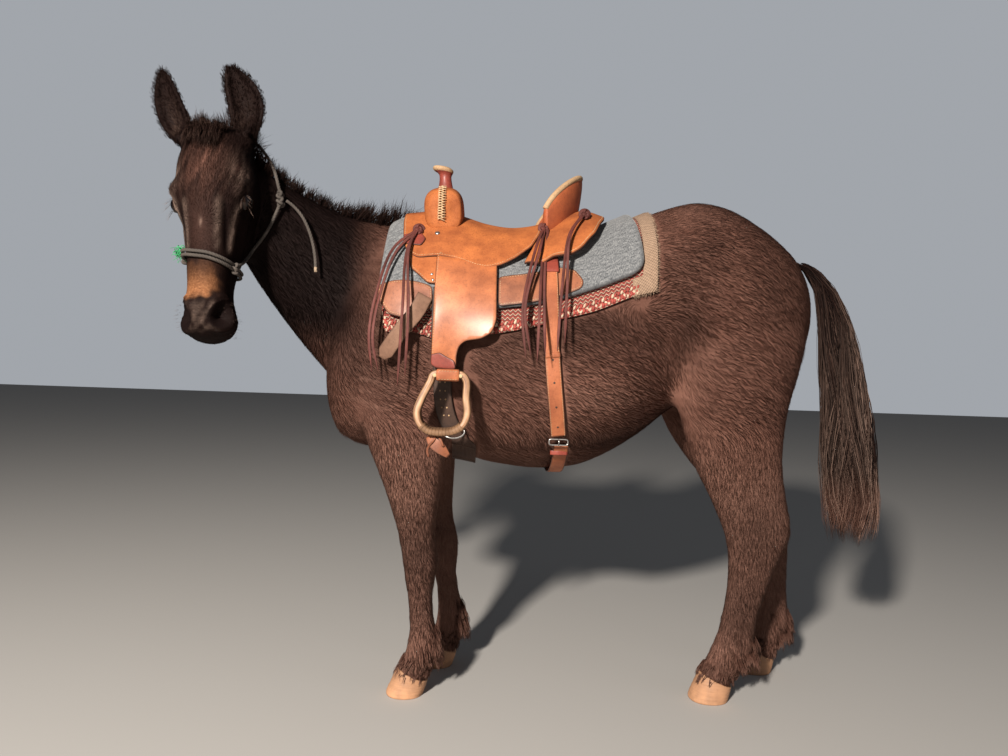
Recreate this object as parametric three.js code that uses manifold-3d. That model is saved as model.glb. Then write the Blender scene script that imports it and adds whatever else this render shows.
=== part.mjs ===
// A life-size standing mule in winter coat, wearing a western saddle and a rope halter.
// Units are millimetres. +Z is up, the mule faces -X, and its left side is towards -Y.
import * as THREE from "three";
import { mergeVertices } from "three/addons/utils/BufferGeometryUtils.js";
import Module from "manifold-3d";

const wasm = await Module();
wasm.setup();

// Driving sizes
const GAP = 0.3; // air between touching pieces
const WITHERS = 1394;
const CROUP = 1484;
const HEAD = {
  poll: [-747, -262, 1577], // where the head's own frame starts
  pitch: 80, // degrees that the nose points below the horizon
  yaw: 86, // degrees that the head is turned to the mule's left
  roll: 4.2, // degrees that it is tipped
  eye: { along: 193, left: 86, out: -54 },
};
const EARS = {
  half: 50,
  bulge: 14, // how far the middle bows outward
  left: { side: 1, tip: [-696, -205, 1768], turn: 0.05 },
  right: { side: -1, tip: [-896, -195, 1744], turn: -0.5 },
};

// Vector helpers
const V = (x, y, z) => new THREE.Vector3(x, y, z);
const lerp = (a, b, t) => a + (b - a) * t;
const clamp01 = (t) => Math.min(1, Math.max(0, t));
const smooth = (t) => clamp01(t) ** 2 * (3 - 2 * clamp01(t));
const bell = (t) => Math.exp(-t * t);

// Cubic interpolation of rows of numbers; row[0] is the key that the others follow.
function curveRow(rows, key) {
  let i = 0;
  while (i < rows.length - 2 && key > rows[i + 1][0]) i++;
  const [a, b] = [rows[i], rows[i + 1]];
  const before = rows[i - 1] ?? a;
  const after = rows[i + 2] ?? b;
  const span = b[0] - a[0];
  const t = clamp01((key - a[0]) / span);
  return a.map((va, n) => {
    const ma = before === a ? (b[n] - va) / span : (b[n] - before[n]) / (b[0] - before[0]);
    const mb = after === b ? (b[n] - va) / span : (after[n] - va) / (after[0] - a[0]);
    const t2 = t * t;
    const t3 = t2 * t;
    return (
      (2 * t3 - 3 * t2 + 1) * va + (t3 - 2 * t2 + t) * span * ma +
      (3 * t2 - 2 * t3) * b[n] + (t3 - t2) * span * mb
    );
  });
}

// Keys that walk from the first row to the last, with so many steps between neighbours.
function keysOf(rows, steps) {
  const keys = [];
  for (let i = 0; i < rows.length - 1; i++) {
    const count = Array.isArray(steps) ? steps[i] : steps;
    for (let s = 0; s < count; s++) keys.push(lerp(rows[i][0], rows[i + 1][0], s / count));
  }
  keys.push(rows[rows.length - 1][0]);
  return keys;
}

// One closed body through rings of points, with a point in the middle of each end, or without ends.
function skinRings(rings, closed = false) {
  const around = rings[0].length;
  const position = [];
  const index = [];
  for (const ring of rings) for (const p of ring) position.push(p.x, p.y, p.z);
  for (let r = 0; r < rings.length - (closed ? 0 : 1); r++) {
    const next = ((r + 1) % rings.length) * around;
    for (let k = 0; k < around; k++) {
      const side = (k + 1) % around;
      const [a, b] = [r * around + k, r * around + side];
      index.push(a, b, next + side, a, next + side, next + k);
    }
  }
  const capped = (ring, first, flip) => {
    const middle = ring.reduce((s, p) => s.add(p), V(0, 0, 0)).divideScalar(around);
    const m = position.length / 3;
    position.push(middle.x, middle.y, middle.z);
    for (let k = 0; k < around; k++) {
      const [a, b] = [first + k, first + ((k + 1) % around)];
      if (flip) index.push(m, b, a);
      else index.push(m, a, b);
    }
  };
  if (!closed) {
    capped(rings[0], 0, true);
    capped(rings[rings.length - 1], (rings.length - 1) * around, false);
  }
  const geometry = new THREE.BufferGeometry();
  geometry.setAttribute("position", new THREE.Float32BufferAttribute(position, 3));
  geometry.setIndex(index);
  return geometry;
}

// A three.js geometry as a manifold solid, turned to face out.
function solid(geometry) {
  const bare = geometry.clone();
  for (const name of Object.keys(bare.attributes)) if (name !== "position") bare.deleteAttribute(name);
  const merged = mergeVertices(bare, 1e-3);
  const vertProperties = new Float32Array(merged.attributes.position.array);
  const triVerts = new Uint32Array(merged.index.array);
  const make = () => new wasm.Manifold(new wasm.Mesh({ numProp: 3, vertProperties, triVerts }));
  let made = make();
  if (made.volume() < 0) {
    for (let i = 0; i < triVerts.length; i += 3) [triVerts[i + 1], triVerts[i + 2]] = [triVerts[i + 2], triVerts[i + 1]];
    made = make();
  }
  return made;
}
const join = (parts) => parts.reduce((whole, part) => whole.add(part));
const largest = (body) => body.decompose().reduce((a, b) => (b.volume() > a.volume() ? b : a));

// A ring about the line from the ventral to the dorsal point. Row: key, dorsal xyz, ventral xyz,
// half width, share of the height where it is widest, and the roundness of the upper and lower halves.
function sectionRing(row, side, around, grow, phase = 0) {
  const dorsal = V(row[1], row[2], row[3]);
  const ventral = V(row[4], row[5], row[6]);
  const half = row[7] + grow;
  const up = dorsal.clone().sub(ventral).normalize();
  dorsal.addScaledVector(up, grow);
  ventral.addScaledVector(up, -grow);
  const middle = ventral.clone().lerp(dorsal, row[8]);
  const ring = [];
  for (let k = 0; k < around; k++) {
    const angle = ((k + phase) / around) * Math.PI * 2;
    const [c, s] = [Math.cos(angle), Math.sin(angle)];
    const power = 2 / (s >= 0 ? row[9] : row[10]);
    const end = s >= 0 ? dorsal : ventral;
    ring.push(
      middle.clone()
        .addScaledVector(side, Math.sign(c) * half * Math.abs(c) ** power)
        .addScaledVector(end.clone().sub(middle), Math.abs(s) ** power),
    );
  }
  return ring;
}

// A body lofted through section rows. Its sideways direction follows the path and the section's own line.
function loft(rows, { steps = 2, around = 20, grow = 0, shape = null, phase = 0 } = {}) {
  const keys = keysOf(rows, steps);
  const at = (key) => curveRow(rows, key);
  const middleOf = (r) => V(r[1] + r[4], r[2] + r[5], r[3] + r[6]).multiplyScalar(0.5);
  const rings = keys.map((key, i) => {
    const row = at(key);
    const ahead = middleOf(at(keys[Math.min(i + 1, keys.length - 1)]));
    const behind = middleOf(at(keys[Math.max(i - 1, 0)]));
    const path = ahead.sub(behind);
    const line = V(row[1] - row[4], row[2] - row[5], row[3] - row[6]);
    const side = line.cross(path).normalize();
    return sectionRing(row, side, around, grow, phase);
  });
  if (shape) rings.forEach((ring) => ring.forEach((p) => shape(p)));
  return skinRings(rings);
}

// Torso: x, top z, bottom z, half width, share of height where widest, roundness above and below
const TORSO = [
  [-452, 1000, 862, 40, 0.5, 2, 2],
  [-436, 1075, 800, 105, 0.5, 2, 2.1],
  [-405, 1165, 742, 158, 0.48, 2, 2.2],
  [-335, 1290, 708, 192, 0.45, 1.9, 2.2],
  [-250, 1372, 700, 212, 0.43, 1.75, 2.2],
  [-160, WITHERS, 698, 232, 0.43, 1.7, 2.2],
  [-50, 1366, 688, 258, 0.45, 1.8, 2.2],
  [60, 1338, 668, 284, 0.46, 1.95, 2.2],
  [180, 1328, 656, 300, 0.47, 2.05, 2.15],
  [300, 1352, 668, 304, 0.47, 2.1, 2.15],
  [400, 1396, 712, 297, 0.48, 2.15, 2.15],
  [490, 1438, 770, 283, 0.5, 2.2, 2.1],
  [570, 1468, 835, 272, 0.52, 2.2, 2.1],
  [640, CROUP, 880, 268, 0.5, 2.15, 2.1],
  [730, 1472, 890, 264, 0.48, 2.05, 2.1],
  [815, 1432, 900, 246, 0.46, 2, 2.1],
  [885, 1385, 925, 214, 0.46, 2, 2.1],
  [940, 1335, 965, 168, 0.48, 2, 2.1],
  [980, 1270, 1025, 108, 0.5, 2, 2],
  [1000, 1205, 1085, 44, 0.5, 2, 2],
];
const sideRow = ([x, top, bottom, half, k, nd, nv]) => [x, x, 0, top, x, 0, bottom, half, k, nd, nv];
const torsoRows = TORSO.map(sideRow);

// Muscle and hollow: x, z, reach along x, reach along z, how far out
const FORMS = [
  [-215, 1120, 95, 150, 10], // shoulder blade
  [-395, 930, 60, 80, 14], // point of the shoulder
  [-120, 1010, 60, 140, -9], // behind the shoulder
  [525, 1060, 70, 110, -16], // flank
  [600, 1345, 65, 60, 10], // point of the hip
  [700, 1300, 60, 80, -8], // before the thigh
  [860, 1080, 90, 120, 14], // buttock
  [250, 900, 200, 120, 6], // barrel
];
function muscle(p) {
  let out = 0;
  for (const [x, z, rx, rz, amount] of FORMS) out += amount * Math.exp(-(((p.x - x) / rx) ** 2) - ((p.z - z) / rz) ** 2);
  p.y += out * smooth(Math.abs(p.y) / 120) * Math.sign(p.y);
}
const torsoLoft = (grow = 0) => solid(loft(torsoRows, { steps: 1, around: 20, grow, shape: muscle }));

// How far the torso, grown by so much, reaches sideways at x and z
function torsoHalf(x, z, grow = 0) {
  const [, , , top, , , bottom, half, k, nd, nv] = curveRow(torsoRows, x);
  const middle = lerp(bottom, top, k);
  const s = z > middle ? (z - middle) / (top + grow - middle) : (middle - z) / (middle - bottom + grow);
  const p = V(x, s < 1 ? (half + grow) * (1 - s ** (z > middle ? nd : nv)) ** (1 / (z > middle ? nd : nv)) : 0, z);
  muscle(p);
  return p.y;
}

// Neck: crest point, under point, half width, share of height where widest
const NECK = [
  [[-150, 0, 1350], [-250, 0, 830], 128, 0.45],
  [[-258, 0, 1382], [-392, -2, 868], 116, 0.45],
  [[-350, -6, 1398], [-470, -12, 940], 102, 0.47],
  [[-440, -20, 1424], [-552, -24, 1035], 92, 0.5],
  [[-530, -46, 1462], [-628, -36, 1135], 86, 0.52],
  [[-615, -84, 1506], [-688, -44, 1225], 82, 0.54],
  [[-682, -132, 1554], [-728, -52, 1300], 80, 0.56],
  [[-722, -184, 1574], [-742, -72, 1362], 78, 0.56],
  [[-740, -222, 1570], [-750, -108, 1420], 66, 0.56],
];
const neckRows = NECK.map(([crest, under, half, k], i) => [i, ...crest, ...under, half, k, 1.9, 2.1]);
const neckLoft = (grow = 0) => solid(loft(neckRows, { steps: [1, 1, 1, 2, 2, 1, 1, 1], around: 16, grow }));

// Head in its own frame: x along the face from the poll to the lips, z out of the face, y to its left.
// Row: along, face height, jaw height, half width, share of height where widest, roundness
const HEAD_ROWS = [
  [-44, -74, -116, 26, 0.5, 2, 2],
  [-30, -34, -150, 56, 0.5, 2.1, 2],
  [5, 0, -190, 82, 0.55, 2.2, 2],
  [55, 16, -222, 95, 0.62, 2.3, 2.1],
  [115, 24, -246, 100, 0.66, 2.4, 2.2],
  [170, 25, -258, 98, 0.64, 2.6, 2.3],
  [220, 20, -254, 88, 0.6, 2.7, 2.4],
  [270, 13, -232, 76, 0.58, 2.7, 2.4],
  [325, 8, -196, 65, 0.58, 2.6, 2.3],
  [385, 6, -164, 59, 0.56, 2.5, 2.2],
  [440, 7, -146, 56, 0.54, 2.4, 2.2],
  [486, 9, -140, 63, 0.56, 2.3, 2.2],
  [520, 5, -140, 71, 0.58, 2.3, 2.3],
  [545, -8, -138, 63, 0.54, 2.4, 2.4],
  [562, -34, -130, 45, 0.5, 2.4, 2.4],
  [570, -62, -114, 22, 0.5, 2.2, 2.2],
];
const headRows = HEAD_ROWS.map(sideRow);

// The head's frame in the mule's: its x points down the nose and its z out of the face.
const headFrame = (() => {
  const [pitch, yaw, roll] = [HEAD.pitch, HEAD.yaw, HEAD.roll].map(THREE.MathUtils.degToRad);
  const ahead = V(-Math.cos(yaw), -Math.sin(yaw), 0);
  const nose = ahead.clone().multiplyScalar(Math.cos(pitch)).add(V(0, 0, -Math.sin(pitch)));
  const left = V(0, 0, 1).cross(ahead);
  const face = nose.clone().cross(left);
  for (const axis of [nose, left, face]) axis.applyAxisAngle(ahead, roll);
  return new THREE.Matrix4().makeBasis(nose, left, face).setPosition(...HEAD.poll);
})();
const inHead = (along, left, out) => V(along, left, out).applyMatrix4(headFrame);

// Bone and muscle under the skin: along, sideways, out, reach along, reach across, how far out
const HEAD_FORMS = [
  [166, 86, -30, 30, 26, 17], // rim over the eye
  [122, 98, -74, 44, 26, 6], // arch behind the eye
  [118, 74, -12, 34, 24, -8], // hollow over the eye
  [216, 84, -86, 34, 20, 7], // cheekbone under the eye
  [280, 70, -96, 58, 16, 7], // ridge of the cheek
  [252, 66, -40, 44, 26, -6], // before the eye
  [150, 94, -170, 70, 60, 8], // jowl
  [390, 56, -96, 60, 40, -5], // bars of the jaw
  [330, 0, 10, 90, 40, 3], // bridge of the nose
  [502, 50, -26, 30, 28, 12], // wing of the nostril
  [498, 0, 8, 34, 22, -3], // between the nostrils
  [536, 30, -60, 26, 34, 4], // upper lip
  [540, 0, -132, 26, 34, 8], // chin
];
function headShape(p) {
  let push = 0;
  for (const [along, left, out, reach, wide, amount] of HEAD_FORMS) {
    const across = Math.hypot(Math.abs(p.y) - left, p.z - out) / wide;
    push += amount * bell(Math.hypot((p.x - along) / reach, across));
  }
  const outward = V(0, p.y, p.z + 95).normalize();
  p.addScaledVector(outward, push);
}
const headLoft = (grow = 0, steps = [1, 1, 1, 1, 1, 1, 1, 1, 1, 1, 1, 1, 2, 1, 1], around = 20) =>
  solid(loft(headRows, { steps, around, grow, shape: headShape }).applyMatrix4(headFrame));
// A point on the head's surface: angle 0 is its left, 90 the front of the face
function onHead(along, degrees, lift = 0) {
  const ring = sectionRing(curveRow(headRows, along), V(0, 1, 0), 360, lift);
  const p = ring[((Math.round(degrees) % 360) + 360) % 360];
  headShape(p);
  return p.applyMatrix4(headFrame);
}

// Legs: z, front x, back x, y of the middle, half width
const FORE = [
  [960, -315, -140, -120, 66],
  [900, -336, -112, -136, 80],
  [820, -338, -86, -152, 82],
  [750, -318, -76, -158, 74],
  [690, -292, -76, -157, 66],
  [620, -264, -84, -150, 58],
  [540, -236, -96, -146, 52],
  [480, -218, -102, -142, 47],
  [395, -202, -92, -133, 49],
  [350, -196, -98, -130, 45],
  [300, -187, -106, -126, 38],
  [240, -180, -102, -122, 35],
  [170, -179, -89, -116, 39],
  [115, -190, -88, -113, 41],
  [85, -202, -104, -112, 41],
  [60, -214, -112, -111, 46],
  [30, -226, -118, -110, 51],
  [8, -236, -126, -110, 55],
  [0, -237, -128, -110, 55],
];
const HIND = [
  [1180, 580, 910, -100, 84],
  [1080, 560, 950, -140, 104],
  [980, 556, 930, -162, 108],
  [890, 566, 902, -170, 100],
  [820, 584, 890, -172, 86],
  [750, 608, 888, -168, 74],
  [680, 640, 896, -160, 62],
  [610, 680, 912, -152, 54],
  [510, 728, 934, -141, 48],
  [460, 744, 920, -136, 46],
  [400, 752, 898, -131, 41],
  [330, 752, 876, -126, 38],
  [260, 744, 858, -121, 37],
  [200, 734, 850, -117, 39],
  [140, 714, 846, -113, 43],
  [90, 692, 812, -111, 42],
  [60, 680, 790, -110, 46],
  [30, 668, 782, -110, 51],
  [8, 660, 776, -110, 54],
  [0, 659, 774, -110, 54],
];
// How far each foot stands from where the left one does, and where the coronet is cut
const STANCE = {
  front_left: { table: FORE, side: -1, dx: 0 },
  front_right: { table: FORE, side: 1, dx: 78 },
  hind_left: { table: HIND, side: -1, dx: 0 },
  hind_right: { table: HIND, side: 1, dx: 215 },
};
const strideAt = (dx, z) => dx * (1 - smooth(z / 1050));
const legRows = ({ table, side, dx }) =>
  table.map(([z, front, back, y, half]) => {
    const shift = strideAt(dx, z);
    return [-z, front + shift, -side * y, z, back + shift, -side * y, z, half, 0.5, 2.2, 2.2];
  });

// Plain solids
function boxAt([cx, cy, cz], [sx, sy, sz], turn = null) {
  const geometry = new THREE.BoxGeometry(sx, sy, sz);
  if (turn) geometry.applyMatrix4(turn);
  return solid(geometry.translate(cx, cy, cz));
}
function ballAt(center, radii, turn = null, detail = 2) {
  const geometry = new THREE.IcosahedronGeometry(1, detail).scale(...radii);
  if (turn) geometry.applyMatrix4(turn);
  return solid(geometry.translate(center.x, center.y, center.z));
}
// A side outline of x and z pairs, as a block between two y values
function sideBlock(outline, y0 = -500, y1 = 500) {
  const shape = new THREE.Shape(outline.map(([x, z]) => new THREE.Vector2(x, z)));
  const geometry = new THREE.ExtrudeGeometry(shape, { depth: y1 - y0, bevelEnabled: false, steps: 1 });
  return solid(geometry.rotateX(Math.PI / 2).translate(0, y1, 0));
}
// The outline moved outward
function swollen(outline, out) {
  const area = outline.reduce((s, [x, z], i) => {
    const [nx, nz] = outline[(i + 1) % outline.length];
    return s + x * nz - nx * z;
  }, 0);
  return outline.map(([x, z], i) => {
    const [ax, az] = outline[(i - 1 + outline.length) % outline.length];
    const [bx, bz] = outline[(i + 1) % outline.length];
    const d = Math.hypot(bx - ax, bz - az) * Math.sign(area);
    return [x + (out * (bz - az)) / d, z - (out * (bx - ax)) / d];
  });
}
// A tube or strap along points. Each ring is flat or round across the way it runs; "wide" is its broad direction.
function strip(points, wide, width, thick, { sides = 4, taper = null, closed = false } = {}) {
  const last = points.length - 1;
  const rings = points.map((p, i) => {
    const ahead = points[i < last ? i + 1 : closed ? 0 : last];
    const behind = points[i > 0 ? i - 1 : closed ? last : 0];
    const run = ahead.clone().sub(behind).normalize();
    const across = (typeof wide === "function" ? wide(i) : wide).clone();
    across.addScaledVector(run, -across.dot(run)).normalize();
    const up = run.clone().cross(across);
    const size = taper ? taper(i / last) : 1;
    return [...Array(sides).keys()].map((k) => {
      const angle = ((k + (sides === 3 ? 0.25 : 0.5)) / sides) * Math.PI * 2;
      const square = sides === 4 ? Math.SQRT2 : 1;
      return p.clone()
        .addScaledVector(across, (Math.cos(angle) * square * width * size) / 2)
        .addScaledVector(up, (Math.sin(angle) * square * thick * Math.max(size, 0.35)) / 2);
    });
  });
  return solid(skinRings(rings, closed));
}
const rope = (points, across = 10, sides = 6, closed = false) =>
  strip(points, V(0.3, 0.9, 0.5), across, across, { sides, closed });
const curveThrough = (points, count, closed = false) => {
  const got = new THREE.CatmullRomCurve3(points, closed, "centripetal").getPoints(count);
  return closed ? got.slice(0, -1) : got;
};
// A hair lock: flat, bowed and drawn out to a point
function lock(root, tip, bow, wide, width, thick, steps = 4) {
  const middle = root.clone().lerp(tip, 0.5).add(bow);
  const points = [...Array(steps + 1).keys()].map((i) => {
    const t = i / steps;
    return root.clone().multiplyScalar((1 - t) ** 2).addScaledVector(middle, 2 * t * (1 - t)).addScaledVector(tip, t * t);
  });
  const taper = (t) => Math.max(0.04, Math.sin(Math.PI * (0.22 + 0.78 * t)) ** 0.8 * (1 - 0.35 * t));
  return strip(points, wide, width, thick, { sides: 3, taper });
}
// Repeatable scatter
function scatter(seed) {
  let s = seed;
  return () => {
    s = (s * 1664525 + 1013904223) % 4294967296;
    return s / 4294967296;
  };
}

const material = (color, roughness = 0.85, metalness = 0) => new THREE.MeshStandardMaterial({ color, roughness, metalness });
const PAINT = {
  coat: material(0x3d2c26),
  dark: material(0x1f1715),
  hair: material(0x17120f),
  hoof: material(0x9a6a42, 0.7),
  eye: material(0x0c0808, 0.15),
  felt: material(0x8f8d88, 0.95),
  wool: material(0xb98a72, 0.95),
  trim: material(0xc9a77c, 0.95),
  leather: material(0xc07a3e, 0.6),
  cherry: material(0x6a2e22, 0.55),
  wood: material(0xb08a58, 0.6),
  steel: material(0xa8a8a6, 0.35, 1),
  rope: material(0x8c8a88, 0.9),
  twine: material(0x5fae86, 0.8),
};
const mule = new THREE.Group();
function place(name, body, paint) {
  const { numProp, vertProperties, triVerts } = body.getMesh();
  const count = vertProperties.length / numProp;
  const position = new Float32Array(count * 3);
  for (let i = 0; i < count; i++) position.set(vertProperties.subarray(i * numProp, i * numProp + 3), i * 3);
  const geometry = new THREE.BufferGeometry();
  geometry.setAttribute("position", new THREE.BufferAttribute(position, 3));
  geometry.setIndex(new THREE.BufferAttribute(triVerts, 1));
  geometry.computeVertexNormals();
  const mesh = new THREE.Mesh(geometry, paint);
  mesh.name = name;
  mule.add(mesh);
}
// The same body on the other side
function flip(body) {
  const { numProp, vertProperties, triVerts } = body.getMesh();
  const flipped = Float32Array.from(vertProperties);
  for (let i = 1; i < flipped.length; i += numProp) flipped[i] *= -1;
  const turned = Uint32Array.from(triVerts);
  for (let i = 0; i < turned.length; i += 3) [turned[i + 1], turned[i + 2]] = [turned[i + 2], turned[i + 1]];
  return new wasm.Manifold(new wasm.Mesh({ numProp, vertProperties: flipped, triVerts: turned }));
}
// A body with a little more on every side, to cut its neighbours with
function thicker(body, by = 0.34) {
  const steps = [[by, 0, 0], [-by, 0, 0], [0, by, 0], [0, -by, 0], [0, 0, by], [0, 0, -by]];
  return join(steps.map((step) => body.translate(step)));
}
const cut = (body, cutters) => cutters.reduce((rest, cutter) => rest.subtract(cutter), body);
function placePair(name, body, paint, cutters = []) {
  place(`${name}_left`, largest(cut(body, cutters)), paint);
  place(`${name}_right`, largest(cut(flip(body), cutters)), paint);
}
const placeSides = (name, make, paint) => {
  place(`${name}_left`, largest(make(-500, 0)), paint);
  place(`${name}_right`, largest(make(0, 500)), paint);
};

// Flesh: the torso, neck and legs are joined, then parted by thin slabs.
const torsoGrown = torsoLoft(GAP);
const headGrown = headLoft(GAP);
const neckGrown = neckLoft(GAP);
const random = scatter(7);

function feather(stance) {
  const { side, dx } = stance;
  const hind = stance.table === HIND;
  const shift = strideAt(dx, 120);
  const x = (hind ? 838 : -92) + shift;
  return [-1, 0, 1].map((k) => {
    const root = V(x - 16 - Math.abs(k) * 9, side * 115 + k * 15, 168);
    return lock(root, root.clone().add(V(20 - Math.abs(k) * 8, k * 4, -84 + Math.abs(k) * 12)), V(17, k * 4, 6), V(0, 1, 0.1 * k), 36, 30, 3);
  });
}
const legs = Object.fromEntries(
  Object.entries(STANCE).map(([name, stance]) => [name, join([solid(loft(legRows(stance), { steps: 1, around: 10 })), ...feather(stance)])]),
);
const slabTurn = new THREE.Matrix4().makeRotationY(Math.atan2(520, -255));
const partings = [
  boxAt([-342.5, 0, 1140], [900, 700, GAP], slabTurn),
  boxAt([-200, 0, 674], [400, 700, GAP]),
  boxAt([800, 0, 836], [450, 700, GAP]),
];
for (const [name, stance] of Object.entries(STANCE)) {
  const hind = stance.table === HIND;
  const shift = strideAt(stance.dx, 60);
  const tilt = new THREE.Matrix4().makeRotationY(0.42);
  partings.push(boxAt([(hind ? 736 : -162) + shift, stance.side * 111, 60], [190, 130, GAP], tilt));
}
const whole = join([torsoLoft(), neckLoft().subtract(headGrown), ...Object.values(legs)]);
const pieces = partings.reduce((body, slab) => body.subtract(slab), whole).decompose();
for (const piece of pieces) {
  const { min, max } = piece.boundingBox();
  const [x, y, z] = [0, 1, 2].map((i) => (min[i] + max[i]) / 2);
  if (piece.volume() < 30000) continue;
  const sideName = y < 0 ? "left" : "right";
  const endName = x < 300 ? "front" : "hind";
  if (max[2] < 120) place(`hoof_${endName}_${sideName}`, piece, PAINT.hoof);
  else if (max[2] < 900) place(`leg_${endName}_${sideName}`, piece, PAINT.dark);
  else if (x > 0) place("torso", piece, PAINT.coat);
  else place("neck", piece, PAINT.coat);
}

// Head: brows and eye pockets with lids, nostrils and the mouth line
const eyeCenter = (side) => inHead(HEAD.eye.along, side * HEAD.eye.left, HEAD.eye.out);
const gaze = (side) => V(0.1, side * 0.9, 0.42).normalize().transformDirection(headFrame);
let head = headLoft();
for (const side of [1, -1]) {
  head = head.add(ballAt(eyeCenter(side), [32, 32, 32], null, 1));
}
for (const side of [1, -1]) {
  const center = eyeCenter(side);
  head = head.subtract(ballAt(center, [24 + GAP, 24 + GAP, 24 + GAP], null, 1));
  const slit = new THREE.Matrix4().makeBasis(
    V(0.9, side * 0.05, -0.35).normalize().transformDirection(headFrame),
    V(0.35, 0, 0.9).normalize().transformDirection(headFrame),
    gaze(side),
  );
  head = head.subtract(ballAt(center.clone().addScaledVector(gaze(side), 27), [19, 11, 20], slit, 1));
  const flare = new THREE.Matrix4().extractRotation(headFrame).multiply(new THREE.Matrix4().makeRotationX(-side * 0.75));
  head = head.subtract(ballAt(inHead(504, side * 43, -14), [27, 18, 28], flare, 1));
}
const muzzleCore = headLoft(-8, 1);
const slitPlate = solid(new THREE.BoxGeometry(100, 170, 1.4).translate(556, 0, -93).applyMatrix4(headFrame));
head = largest(head.subtract(slitPlate.subtract(muzzleCore)));
place("head", head, PAINT.coat);
placeEyes();
function placeEyes() {
  for (const [name, side] of [["left", 1], ["right", -1]]) place(`eye_${name}`, ballAt(eyeCenter(side), [24, 24, 24], null, 1), PAINT.eye);
}

// Ears: a tube at the root that opens into a deep cup with a blunt tip
function ear({ side, tip: tipAt, turn }, grow = 0) {
  const base = inHead(6, side * 82, -76);
  const tip = V(...tipAt);
  const axis = tip.clone().sub(base);
  const long = axis.length();
  axis.normalize();
  const front = V(turn, -1, 0);
  front.addScaledVector(axis, -front.dot(axis)).normalize();
  const wide = front.clone().cross(axis);
  const shape = [
    [0, 0.6, 27, -27],
    [0.1, 0.7, 31, -26],
    [0.2, 0.84, 33, 0],
    [0.34, 0.98, 32, 20],
    [0.5, 1, 29, 21],
    [0.65, 0.93, 24, 17],
    [0.78, 0.79, 18, 12],
    [0.89, 0.57, 12, 7],
    [0.97, 0.31, 6, 3],
    [1, 0.12, 3, 0],
  ];
  const rings = shape.map(([t, w, back, inner]) => {
    const middle = base.clone().addScaledVector(axis, t * long).addScaledVector(wide, -side * EARS.bulge * Math.sin(Math.PI * t));
    const at = (a, half, depth) =>
      middle.clone().addScaledVector(wide, Math.cos(a) * half).addScaledVector(front, -Math.sin(a) * depth);
    const ring = [];
    for (let k = 0; k <= 6; k++) ring.push(at((Math.PI * k) / 6, EARS.half * w + grow, back + grow));
    const rim = Math.min(7, 20 * w);
    for (let k = 1; k <= 5; k++) ring.push(at(Math.PI - (Math.PI * k) / 6, EARS.half * w - rim + grow, inner - grow));
    return ring;
  });
  return solid(skinRings(rings));
}
const ears = [EARS.left, EARS.right].map((one) => largest(ear(one).subtract(headGrown).subtract(neckGrown)));
place("ear_left", ears[0], PAINT.dark);
place("ear_right", ears[1], PAINT.dark);
const earsGrown = join([ear(EARS.left, 1), ear(EARS.right, 1)]);

// Mane: short locks that fall over one another to both sides, longest behind the ears and before the withers
const crestAt = (key) => {
  const row = curveRow(neckRows, key);
  const up = V(row[1] - row[4], row[2] - row[5], row[3] - row[6]).normalize();
  return { point: V(row[1], row[2], row[3]), up };
};
const MANE = { from: 1.1, to: 7.5, locks: 26, wide: 56, thick: 15 };
const MANE_LENGTHS = [[1.1, 46], [2.4, 62], [3.4, 46], [5, 40], [5.8, 62], [6.6, 88], [7.5, 92]];
const maneRows = [...Array(11).keys()].map((i) => {
  const { point, up } = crestAt(lerp(MANE.from, MANE.to, i / 10));
  const rise = 13 * Math.min(1, (i + 0.6) / 1.5, (10.6 - i) / 1.5);
  return [i, ...point.clone().addScaledVector(up, rise).toArray(), ...point.clone().addScaledVector(up, -12).toArray(), 16, 0.5, 2, 2];
});
const maneLocks = [...Array(MANE.locks).keys()].map((i) => {
  const key = lerp(MANE.from, MANE.to, (i + 0.6 * random()) / MANE.locks);
  const { point, up } = crestAt(key);
  const along = crestAt(key + 0.2).point.sub(crestAt(key - 0.2).point).normalize();
  const across = along.clone().cross(up).normalize();
  const side = i % 2 ? 1 : -1;
  const lean = side * (0.35 + 0.75 * random());
  const long = curveRow(MANE_LENGTHS, key)[1] * (0.85 + 0.3 * random());
  const root = point.clone().addScaledVector(up, -5).addScaledVector(across, side * 5);
  const tip = root.clone()
    .addScaledVector(up, long * Math.cos(lean))
    .addScaledVector(across, long * Math.sin(lean))
    .addScaledVector(along, (random() - 0.7) * 34);
  const bow = up.clone().multiplyScalar(6).addScaledVector(across, side * 7);
  return lock(root, tip, bow, along, MANE.wide, MANE.thick, 3);
});

// Forelock: a bush that stands between the ears, with short locks falling on the forehead
const forelock = [ballAt(inHead(0, 0, -16), [26, 50, 22], new THREE.Matrix4().extractRotation(headFrame), 1)];
for (let i = 0; i < 8; i++) {
  const y = lerp(-44, 44, i / 7);
  const root = inHead(4, y, -12 - 12 * random());
  const tip = inHead(-58 - 16 * random() + Math.abs(y) * 0.3, y * 1.1 + 16 * (random() - 0.5), -4 + 30 * random());
  forelock.push(lock(root, tip, inHead(0, y > 0 ? 6 : -6, 8).sub(inHead(0, 0, 0)), V(1, 0.1, 0), 30, 13, 3));
}
for (let i = 0; i < 4; i++) {
  const y = lerp(-32, 32, i / 3);
  const tip = inHead(52 + 16 * random(), y * 1.15, 25);
  forelock.push(lock(inHead(2, y, -2), tip, inHead(0, 0, 9).sub(inHead(0, 0, 0)), V(1, 0, 0), 32, 12, 2));
}

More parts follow.
